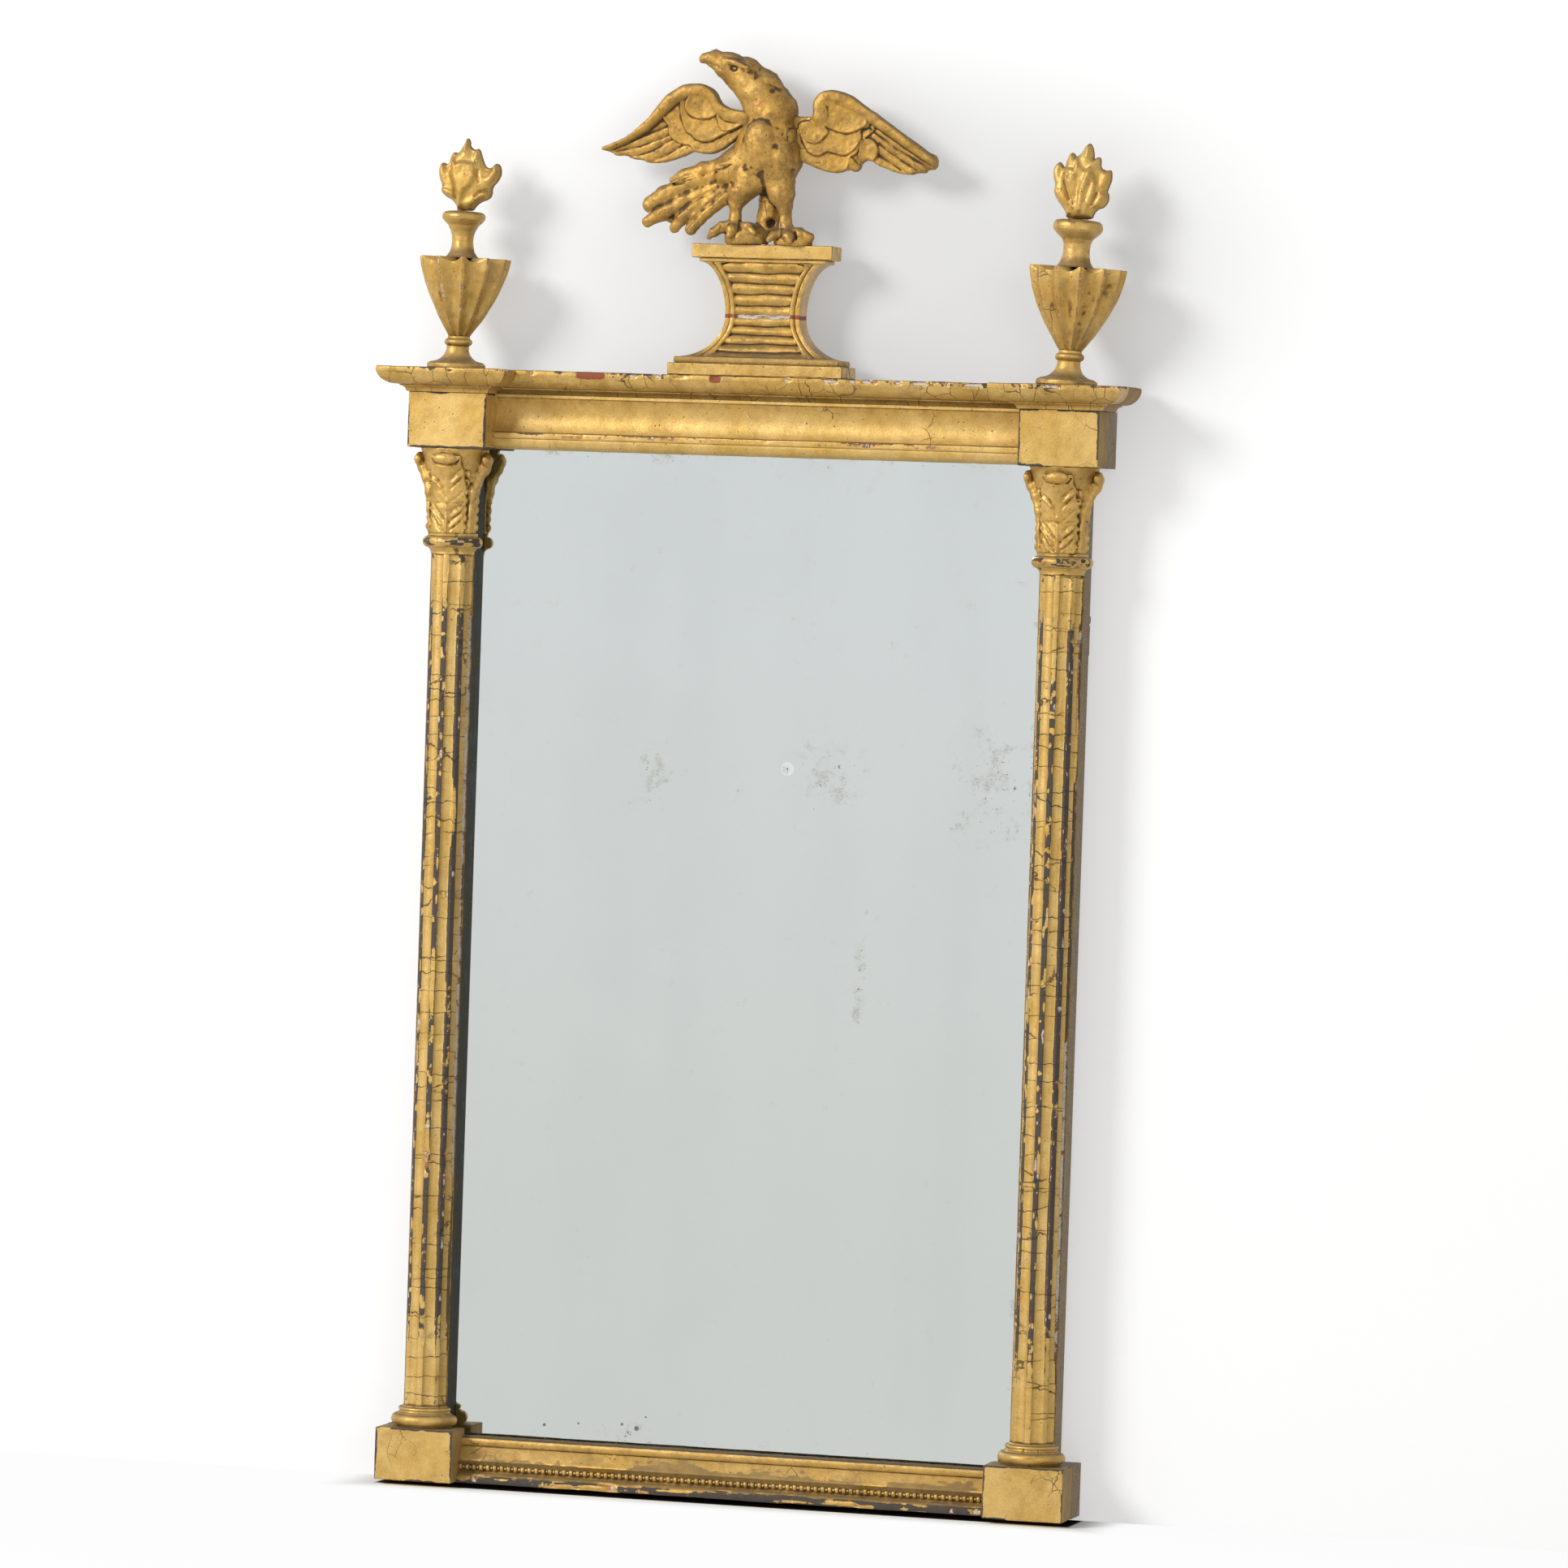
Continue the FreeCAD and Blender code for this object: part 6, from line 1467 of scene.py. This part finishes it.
def makeUrns():
    finish = giltMaterial("urnGilt", patina=0.45, wear=0.45, cracks=0.3, dirtAndShade=1.0, specks=0.6, dustFrom=0.35)
    tree = bowlTree(finish)
    for side, sign in sides.items():
        size, seed = urns[side], urns[side]["seed"]
        base = (columnX * sign, urns["y"], urns["z"])
        stand = {"lean": size["lean"], "foot": base}
        item, points, chip = turnedPiece(f"urnFoot_{side}", footProfile(*size["foot"]), base, seed, **urns["footWear"],
                                         **stand)
        points = bent(points, size)
        movePoints(item, points)
        dull = 0.5 * mottled(points, 12, seed + 5, -0.3, 0.4)
        finishPiece(item, finish, f"urn_foot_{side}", chip * 0.5, chip * 0.3, dull)

        top = urns["z"] + size["foot"][1]
        makeBowl(side, tree, finish, base, top)

        top += size["bowl"][1]
        profile, tall = coverProfile(size["coverShares"], *size["cover"]), size["cover"][1]
        item, points, chip = turnedPiece(f"urnCover_{side}", profile, (base[0], base[1], top), seed + 11,
                                         **urns["coverWear"], **stand)
        # darker towards the bottom of the cover: painted shade under its bulge
        dull = 0.6 * smoothStep(points[:, 2] - top, 0.45 * tall, 0.1 * tall)
        finishPiece(item, finish, f"urn_cover_{side}", chip * 0.45, None, dull)

        top += tall
        points, faces = flameSkin(flames[side], (base[0], base[1], top))
        item = meshFrom(f"urnFlame_{side}", leaned(points, base, size["lean"]), faces)
        tall = flames[side]["height"]
        dull = np.maximum(0.35 * smoothStep(points[:, 2] - top, 0.62 * tall, 0.8 * tall), sideways(item))
        finishPiece(item, finish, f"urn_flame_{side}", scattered(points, seed + 13, 0.15), None, dull)
    print("urns made")


# capitals: stems as (turn, level, reach, thickness), veins as a line, a thickness and 1 where they are cut away

capital = {
    "z": 750, "height": 67, "step": 0.6, "leafProud": 3.0,
    "bell": ((0, 18.6), (10, 18.2), (25, 18.4), (40, 20.0), (50, 22.4), (60, 25.5), (67, 28.0)),
    "leafWidth": ((0, 13.0), (12, 14.0), (35, 14.4), (48, 13.6), (57, 12.2), (64, 11.0)),
    "veins": ((((-2.5, 2), (-7, 6), (-11.5, 12)), 1.3, 1), (((-2.5, 12), (-7, 17), (-12.5, 23)), 1.4, 1), (((3, 2),
              (7, 6), (11.5, 11)), 1.2, 1),
              (((3, 9), (7, 13), (12, 18)), 1.2, 1), (((4, 17), (8, 20.5), (12, 23)), 1.1, 1), (((-1, 29),
              (-3.5, 36), (-7, 41), (-12, 45)), 1.1, 1),
              (((3.5, 35), (7, 38.5), (11.5, 43)), 1.2, 1), (((4.5, 43), (8, 47), (11.5, 50)), 1.0, 1), (((4, 25),
              (8, 28), (12.5, 33)), 1.0, 1),
              (((0, 1), (0.3, 12), (0, 22)), 1.3, 0), (((4, 5), (8, 9), (12, 14.5)), 1.2, 0), (((-4, 7), (-8, 12),
              (-12, 17)), 1.4, 0),
              (((5, 40), (9, 44), (12, 46.5)), 1.4, 0), (((-5, 36), (-9, 40), (-12.5, 42)), 1.4, 0), (((5, 13.5),
              (9, 17), (12, 20.5)), 1.1, 0)),
    "cracks": ((-13, 23.8), (-4, 24.2), (5, 23.6), (13.5, 24.4)),
    "stems": (((55, 2, 19.4, 2.0), (56, 18, 19.8, 2.2), (61, 32, 20.8, 2.6), (72, 44, 22.8, 3.2),
              (81, 52, 25.6, 4.2), (84, 58, 27.4, 4.6)),
              ((70, 2, 18.8, 2.2), (72, 20, 19.2, 2.2), (77, 34, 20.2, 2.4), (83, 45, 22.4, 2.6),
              (86, 52, 25.0, 3.0)),
              ((63, 2, 18.6, 1.6), (63, 14, 19.6, 1.4), (66, 24, 19.8, 1.4))),
    "bumps": (5, 12, 19, 26, 33, 40, 47), "melts": (4.0, 1.0, 1.0), "edgeLevels": (1, 12, 25, 38, 50, 60),
    "tip": ((-11, 58), (-8, 54.5), (0, 53.4), (8, 54.5), (11, 58)), "seed": 501,
    "marks": ((7, 0.35), (2.8, 0.25)),
}


def makeCapitals():
    finish = giltMaterial("capitalGilt", patina=0.55, wear=0.3, cracks=0.2, dirtAndShade=1.0, specks=0.9)
    bell, leafWidth = np.array(capital["bell"], float).T, np.array(capital["leafWidth"], float).T

    def onLeaf(line, lift, thick):
        reaches = [(x, level, np.interp(level, *bell) + capital["leafProud"] + lift) for x, level in line]
        return [(x, -math.sqrt(reach * reach - x * x), level, thick) for x, level, reach in reaches]

    def onBell(turn, level, reach):
        return reach * math.sin(math.radians(turn)), -reach * math.cos(math.radians(turn)), level

    for number, (side, sign) in enumerate(sides.items()):
        clay = Clay((-36, -34, -1), (36, 3, 69), capital["step"])
        x, y, z = clay.whole()
        out, bellRadius = np.hypot(x, y), np.interp(z, *bell)
        clay.field[:] = np.minimum(clay.field, (out - bellRadius) * 0.93)
        for way in (-1, 1):
            for stem, melt in zip(capital["stems"], capital["melts"]):
                clay.limb([(*onBell(way * turn, level, reach), thick) for turn, level, reach, thick in stem], melt)
            clay.egg((way * 28.2, -6.5, 58.2), (3.4, 6.4, 5.6), 1.2)
            clay.egg((way * 28.0, -12.4, 58.4), (2.6, 1.6, 3.0), 0.5)
            for level in capital["bumps"]:
                reach = np.interp(level, *bell)
                clay.egg(onBell(way * 76, level, reach + 2.0), (2.0, 2.6, 3.1), 0.5)
                clay.egg(onBell(way * 44, level, reach + 1.0), (2.4, 2.4, 3.0), 0.5)
        # strap leaf, veined from a rib, with a knob on its turned tip
        proud = bellRadius + capital["leafProud"] + 1.4 * smoothStep(z, 44, 60)
        leaf = np.maximum((out - proud) * 0.93, np.abs(x) - np.interp(z, *leafWidth) - 0.5 * np.sin(z * 0.55))
        leaf = np.maximum(leaf, np.maximum(y + 6, z - 61))
        clay.field[:] = melted(clay.field, leaf, 0.4)
        for line, thick, cutAway in capital["veins"]:
            clay.limb(onLeaf(line, 0.5 if cutAway else -0.3, thick), 0.8, bool(cutAway))
        clay.limb(onLeaf(capital["cracks"], 0.4, 0.75), 0.2, True)
        for way in (-1, 1):
            edge = [(way * (np.interp(level, *leafWidth) + 1.0), level) for level in capital["edgeLevels"]]
            clay.limb(onLeaf(edge, -1.0, 0.9), 0.8, True)
        clay.limb(onLeaf(capital["tip"], 0.6, 0.8), 0.6, True)
        clay.egg((0, -28.6, 59.0), (9.0, 4.2, 4.8), 1.0)
        clay.trim(np.maximum(y, np.maximum(-z, z - capital["height"])))
        centre = (columnX * sign, axisY, capital["z"])
        seed = capital["seed"] + 20 * number
        points, faces = clay.carved(seed, capital["marks"], centre, 1)
        points[:, 1] = np.minimum(points[:, 1], axisY)
        item = meshFrom(f"capital_{side}", points, faces)
        finishPiece(item, finish, f"capital_{side}", scattered(points, seed + 4, 0.1), reach=1.15)
    print("capitals made")


# eagle: spines as (x, y, z, radius) from the middle of its mound

eagle = {
    "place": (0, -29, 983.5), "step": 0.8,
    "neck": ((1.2, 0, 103.5, 20.8), (-9, -1, 120.8, 17.0), (-21, -2, 131.6, 14.8), (-34.5, -3, 139.2, 10.8),
             (-46, -3, 144.2, 6.6),
             (-54.6, -3, 145.4, 3.8)),
    "neckFlat": 0.82, "seed": 601, "marks": ((11, 0.6), (4.5, 0.45), (2.4, 0.24)),
    "brow": ((-37, -10, 144.4, 1.2), (-27, -13, 141.4, 1.9), (-16, -13.6, 137.6, 1.2)),
    "mouth": ((-58, -3, 141.6, 1.0), (-50, -8, 140.3, 0.9), (-42, -10, 138.2, 0.9), (-36, -12.4, 134.6, 0.8)),
    "beak": ((-51, -3, 145.6, 4.6), (-55.4, -3, 144, 3.2)),
    "split": ((13.4, -21, 50, 0.8), (14, -18, 40, 0.9), (15.4, -13, 29, 0.7)),  # in the right thigh
    "claws": (((27, -16, 14, 0.8), (28, -15, 5, 0.9)), ((33.5, -16, 13, 0.8), (34, -15, 4, 0.9)),
              ((-33, -15.5, 18, 0.7), (-33.5, -14.5, 9, 0.8))),
    "trunk": ((-4, 2, 74, 22), (-24, 3, 61, 16), (-42, 3, 53, 11), (-60, 2, 46, 9)),
    "tail": (((-28, -4, 62, 7.5), (-52, -4, 57.5, 6.6), (-69, -2, 52.5, 5), (-78.5, 0, 49.6, 2.4)),
             ((-38, -3, 53, 7), (-62, -4, 47, 8), (-82, -3, 37.5, 7.6), (-95, -1, 29.5, 6.2)),
             ((-38, -5, 46, 6), (-66, -6, 33.5, 6.2), (-84, -5, 22.5, 5.4), (-97, -3, 15.8, 4.2)),
             ((-34, -6, 43, 6.5), (-55, -7, 31, 6.4), (-68, -6, 20, 5.6), (-73.5, -5, 12, 4.2)),
             ((-26, -7, 42, 7), (-43, -8, 31, 7), (-54, -7, 20, 6), (-60, -6, 11, 4.8))),
    "tailWeb": ((-34, -1, 50, 10), (-56, -1, 39, 15.5), (-77, -1, 27, 13)),
    "tailGrooves": (((-36, -12, 57, 1.3), (-60, -11, 51.5, 1.6), (-76, -6, 45, 1.4)), ((-40, -11, 49, 1.3),
                    (-70, -10.5, 37.5, 1.5), (-98, -6, 23, 1.2)),
                    ((-38, -12, 44, 1.3), (-60, -12, 31.5, 1.6), (-80, -8, 15, 1.3)), ((-32, -13, 41, 1.3),
                    (-50, -13, 26, 1.6), (-65, -9, 10, 1.3)),
                    ((-20, -17, 66, 1.2), (-32, -15, 60, 1.5), (-46, -11, 60, 1.2))),
    "streaks": (((-50, -11, 54, 0.7), (-68, -9, 49, 0.7)), ((-60, -11, 44, 0.7), (-90, -8, 30, 0.7)),
                ((-56, -13, 37, 0.7), (-86, -10, 21, 0.7)),
                ((-48, -14, 35, 0.7), (-68, -11, 16, 0.7)), ((-38, -15, 35, 0.7), (-56, -12, 15, 0.7))),
    "folds": (((4, -20, 107, 1.6), (11, -21, 98, 2.6), (15.5, -20, 89, 2.6), (14.5, -20.5, 76, 1.5)),
              ((-17, -16, 99, 1.2), (-20, -18, 88, 1.5), (-18, -19.5, 74, 1.2), (-12, -20.5, 64, 1.0)),
              ((-14, -17, 107, 0.6), (-4, -20, 102.5, 0.7), (6, -20, 104, 0.6)), ((-14, -20.6, 50, 0.8),
              (6, -20.4, 48.5, 0.8))),
    "legs": (((-12, -6, 50, 13), (-20, -8, 40, 9.5), (-23, -9, 31, 5.8)), ((-23, -9, 31, 5.4), (-23.4, -9, 21, 4.8),
             (-22, -9, 14, 5.6)),
             ((9, -4, 53, 14), (13, -6, 40, 10), (15.5, -7, 30, 6)), ((16, -7, 30, 5.8), (17.5, -8, 20, 4.8),
             (19.5, -9, 11, 5.6)),
             ((5, 4, 48, 11), (2, 4, 34, 9.5), (0, 3, 16, 9))),
    "toes": (((-22, -10, 15, 5), (-33, -10.5, 13, 4.8), (-40, -11, 8.8, 3.8), (-43.4, -11, 5, 2)),
             ((-22, -11, 14, 4.6), (-24, -17, 10.5, 4), (-25, -19, 6, 2.4)),
             ((-20, -9, 14, 4.2), (-11, -14, 13.5, 3.8), (-6, -16, 9, 2.6)), ((20, -10, 10, 5.2), (30, -11, 9, 5.2),
             (37.4, -11, 6.4, 4.2)),
             ((20, -11, 10, 4.8), (22.5, -17, 6.4, 4.4), (23.6, -19, 3, 3)), ((17, -10, 9, 4.4),
             (10, -13.5, 7.5, 3.8), (6, -15.5, 4, 2.4))),
}


def makeEagle():
    finish = giltMaterial("eagleGilt", patina=0.95, wear=0.25, cracks=0.3, dirtAndShade=1.0, specks=0.8, rough=0.46,
                          dustFrom=0.3)
    clay = Clay((-108, -26, -1), (46, 27, 153), eagle["step"])
    clay.egg((0, 0, 78), (24.6, 20, 28), 3)
    clay.egg((4, 0, 67), (23, 19.5, 18), 5)
    clay.limb(eagle["trunk"], 6)
    clay.limb(eagle["neck"], 3, False, eagle["neckFlat"])
    for spine in eagle["tail"]:
        clay.limb(spine, 1.6, False, 0.8)
    clay.limb(eagle["tailWeb"], 1.6, False, 0.32)
    for number, melt in ((0, 3.5), (2, 3), (4, 2)):  # thighs, and what fills the gap between them
        clay.limb(eagle["legs"][number], melt)
    clay.egg((-27, -9, 55), (16, 8, 10), 4)
    for spine in eagle["tailGrooves"] + eagle["folds"]:
        clay.limb(spine, 1.6, True)
    for spine in eagle["streaks"]:
        clay.limb(spine, 0.8, True)
    clay.egg((-3.4, -15.4, 80.5), (12.6, 7.6, 16.6), 0.9)  # breast feather
    clay.egg((14, -11, 69), (9.5, 9.5, 13), 2.0)
    clay.limb(eagle["brow"], 1.6)
    clay.egg((-27.4, -12.6, 137.2), (3.4, 1.5, 2.3), 0.9, True)  # worn eye
    clay.egg((-27.0, -11.2, 137.0), (1.8, 1.6, 1.5), 0.5)
    clay.limb(eagle["mouth"], 0.6, True)
    clay.limb(eagle["beak"], 1.2, False, 0.85)
    clay.limb(eagle["legs"][1], 1.5)
    clay.limb(eagle["legs"][3], 1.5)
    clay.limb(eagle["split"], 0.5, True)
    # mound and feet
    clay.egg((-15, -4, 5), (17.5, 14, 12.5), 1.0)
    clay.egg((23, -5, 3), (16, 12, 9), 1.0)
    for spine in eagle["toes"]:
        clay.limb(spine, 1.0)
    clay.egg((4.5, -8, 17), (4.2, 9, 5), 1.0, True)
    for spine in eagle["claws"]:
        clay.limb(spine, 0.6, True)
    clay.trim(-clay.whole()[2])
    points, faces = clay.carved(eagle["seed"], eagle["marks"], eagle["place"])
    item = meshFrom("eagleBody", points, faces)
    x, y, z = points.T
    flaked = np.exp(-(((x + 6) / 15) ** 2 + ((z - 1092) / 10) ** 2)) * (y < -38)  # neck
    up = readNormals(item.data)[:, 2] + 0.35 * grainNoise(points, 7, 607)
    darkTop = (0.55 + 0.25 * smoothStep(z, 1086, 1102)) * smoothStep(up, 0.1, 0.5)
    darkTop = np.maximum(darkTop, 0.5 * mottled(points, 13, 608, 0.15, 0.6))
    kept = 1 - 0.4 * smoothStep(x, -26, -42)  # less painted hollow shade and brown on the tail
    shaded = (reliefOf(item.data, 1.6) - 1.15 * darkTop) * kept  # painted shade in the hollows; brown on the crown, the back and in patches
    chip = np.maximum(scattered(points, 605, 0.1), 0.42 * flaked)
    finishPiece(item, finish, "eagle_body", chip, 0.3 * flaked, sideways(item), 0.6 * flaked, relief=shaded)
    for side in sides:
        makeWing(side, finish)
    print("eagle made")


# Wings: an outline, a rolled leading edge, layers of feathers (outline, lift) and the grooves between the long
# feathers.
wings = {
    "left": {
        "outline": ((-17, 104), (-27.6, 105.6), (-35.4, 107.3), (-40.4, 110.9), (-43.5, 117.4), (-47.6, 122),
                    (-55.5, 125.6), (-63.3, 125.8),
                    (-73.9, 123.9), (-80.6, 119.5), (-86.3, 114.8), (-92.8, 106.2), (-96.4, 98.7), (-103.1, 93),
                    (-107.8, 88.2),
                    (-116.4, 82.4), (-126, 77.6), (-138.5, 72.6), (-127.7, 70), (-125.6, 67.8), (-115.9, 67.5),
                    (-112.9, 65.3),
                    (-103.1, 64.9), (-98.1, 62.6), (-88.4, 62.4), (-76.8, 65.4), (-67.2, 69.4), (-61.4, 72.8),
                    (-55.5, 70.5),
                    (-47.7, 70.1), (-42, 71.7), (-36.2, 74.6), (-30, 79.4), (-20, 86), (-14, 95)),
        "lead": ((-17.3, 99.6), (-32.8, 102.2), (-40.5, 107.4), (-45.4, 115.8), (-54.1, 120.4), (-67.7, 119.6),
                 (-80.3, 112.2), (-90.0, 102),
                 (-100.7, 91.4), (-118.1, 80.4), (-133.6, 73.4)),
        "layers": ((((-87.5, 98.5), (-84.6, 94.7), (-81.8, 92.1), (-82.0, 86.0), (-78.9, 81.7), (-70.6, 77.2),
                   (-63.8, 77.2), (-60.9, 72.9),
                     (-58.0, 68), (-52.2, 66), (-43.4, 66), (-34.7, 72), (-25.0, 85.0), (-12, 97.2), (-12, 106),
                     (-32.8, 108), (-52.2, 124), (-72.5, 122),
                     (-81.3, 110)), 1.3),
                   (((-72.5, 101.8), (-70.0, 94.7), (-69.2, 92.1), (-66.7, 86.9), (-61.9, 85.0), (-59.9, 81.7),
                   (-52.2, 79.2), (-44.4, 81.1),
                     (-40.1, 84.3), (-32.8, 87.3), (-23.1, 92.5), (-12, 97.2), (-12, 106), (-32.8, 108),
                     (-52.2, 124), (-72.5, 116)), 1.3),
                   (((-69.0, 108.9), (-67.7, 103.7), (-62.8, 99.2), (-56.1, 97.0), (-48.3, 97.9), (-43.4, 100.3),
                   (-40.5, 102.6), (-44.4, 110),
                     (-52.2, 118), (-63.8, 118)), 1.2),
                   (((-43.4, 100.9), (-40.9, 96.2), (-40.1, 91.0), (-35.7, 87.6), (-27.0, 89.9), (-19.6, 94.7),
                   (-12, 98.5), (-12, 106), (-32.8, 106)), 1.0)),
        "grooves": (((-82.2, 84.6), (-104.5, 75.7), (-125.9, 70.5)), ((-78.9, 80.9), (-96.8, 71.6), (-113.3, 66.3)),
                    ((-70.6, 76.4), (-85.1, 68.2), (-97.2, 62.2)),
                    ((-84, 91), (-104, 83), (-128, 73))),
        "seed": 641,
    },
    "right": {
        "outline": ((18, 102), (30, 101), (36.4, 101.2), (35.8, 106.7), (35.2, 113.2), (38.7, 118.9), (47.2, 122.2),
                    (56.9, 121.4), (68.6, 116.6),
                    (72.6, 113), (90.3, 102.2), (106, 90.4), (119.8, 81.4), (127.6, 76), (136.4, 71.5),
                    (135.8, 62.3), (128.2, 61.6),
                    (127.3, 58.8), (120.6, 59.2), (114.9, 57.2), (101.4, 58.8), (91.6, 63.2), (80.9, 68.6),
                    (75.2, 65.7), (74.4, 61),
                    (70.6, 58.5), (64.8, 60.8), (57.2, 57.5), (47.5, 58.1), (39.7, 60.3), (26, 66), (18, 76),
                    (14, 92)),
        "lead": ((41.9, 101), (41.5, 110.5), (45.5, 116.2), (52, 116.8), (61.3, 114.4), (75.8, 106.6), (95.2, 94.6),
                 (115, 80.5), (134, 67.5)),
        "layers": ((((22, 97), (22, 62), (35.1, 56), (44.8, 53), (56.4, 52), (63.2, 57.0), (66.1, 64.5),
                   (66.1, 70.1), (72.0, 72.9), (75.8, 83.2), (82.6, 88.8),
                     (86.5, 93.4), (79.7, 103), (66.1, 112), (56.4, 116), (44.8, 112), (38, 98)), 1.2),
                   (((73.9, 75.7), (72.5, 70.1), (76.8, 65.4), (84.6, 66.0), (88.6, 71.9), (89.0, 77.6),
                   (85.9, 83.2), (79.7, 85.4), (74.9, 83.2)), 1.5),
                   (((22, 97), (30.3, 75.7), (35.1, 71.6), (41.9, 70.1), (47.7, 74.2), (52.6, 73.4), (60.3, 70.8),
                   (65.7, 72.3), (72.0, 77.6), (74.9, 83.2),
                     (75.8, 86.9), (73.9, 92.5), (82.6, 93.4), (79.7, 103), (66.1, 112), (56.4, 116), (44.8, 112),
                     (38, 98)), 1.3),
                   (((26, 97), (29, 83.2), (35.0, 79.8), (41.9, 80.4), (45.8, 85.4), (49.7, 88.8), (44.8, 95),
                   (40.0, 97)), 1.0),
                   (((40, 101.8), (42.9, 95.3), (50.6, 91.6), (60.3, 88.4), (68.1, 88.8), (75.8, 92.5),
                   (80.7, 95.3), (77.8, 104), (66.1, 110), (56.4, 114),
                     (44, 110)), 1.3),
                   (((65.7, 68.2), (68.1, 70.1), (71.0, 65.5), (76.8, 63.2), (73.9, 56), (69.0, 56.1),
                   (66.5, 58.9)), 0.9)),
        "grooves": (((82.6, 92.1), (103.0, 77.5), (134, 61)), ((86.5, 95), (108.8, 81), (136, 67)), ((89.4, 81),
                    (106.9, 69), (126, 58.6)), ((89.0, 72.5), (103.0, 64.5), (114, 57))),
        "seed": 661,
    },
    "front": 2.2, "back": 5.2, "lip": 0.55, "lipReach": 2.4, "roll": 5.4, "rollRoot": 8.0, "rollTip": 3.4,
    "groove": 0.9,
    "grooveReach": 1.1, "step": 0.62, "soft": 2.0, "marks": ((9, 0.45), (3, 0.2)),
}


def makeWing(side, finish):
    # Relief cut inside the drawn outline: low feathers under a broad rolled leading edge.
    wing = wings[side]
    outline = easedOutline(wing["outline"], 1)
    clay, y, _, plane = reliefClay(outline, -13, 9, wings["step"])
    edge = outlineDistance(*plane, outline)
    height = np.full(edge.shape, wings["front"])
    for shape, lift in wing["layers"]:
        within = -outlineDistance(*plane, easedOutline(shape, 2))
        lip = wings["lip"] * np.exp(-np.maximum(within, 0) / wings["lipReach"])
        height = height + smoothStep(within, -0.35, 0.35) * (lift + lip)
    for line in wing["grooves"]:
        height = height - wings["groove"] * np.exp(-(lineDistance(*plane, line)[0] / wings["grooveReach"]) ** 2)
    far, travel = lineDistance(*plane, wing["lead"])
    reach = wings["rollRoot"] + (wings["rollTip"] - wings["rollRoot"]) * travel
    roll = np.sqrt(np.clip(1 - (far / reach) ** 2, 0, 1)) * (0.45 + 0.55 * reach / wings["rollRoot"])
    height = np.maximum(height, (far < reach) * (wings["front"] + 0.8 + wings["roll"] * roll))
    shell = np.maximum((-height[:, None, :] - y) * 0.85, y - wings["back"])
    clay.field[:] = -melted(-shell, -edge[:, None, :], wings["soft"])
    points, faces = clay.carved(wing["seed"], wings["marks"], eagle["place"], 1)
    item = meshFrom(f"eagleWing_{side}", points, faces)
    up = readNormals(item.data)[:, 2] + 0.4 * grainNoise(points, 8, 609)
    # painted shade in the hollows, and brown on what faces up
    shaded = reliefOf(item.data, 1.6) - 0.9 * smoothStep(up, 0.15, 0.55)
    chip = scattered(points, wing["seed"] + 3, 0.1)
    finishPiece(item, finish, f"eagle_wing_{side}", chip, None, sideways(item), relief=shaded)


makeWorld()
makeStage()
makeCamera()
makeLamps()
bpy.context.scene.view_settings.view_transform = "Standard"
print("stage, camera and lamps set")

dressFrame()
makeBlocks()
makeMouldings()
makeShafts()
makeTurnings()
makeBeads()
makePlinth()
makeUrns()
makeCapitals()
makeEagle()
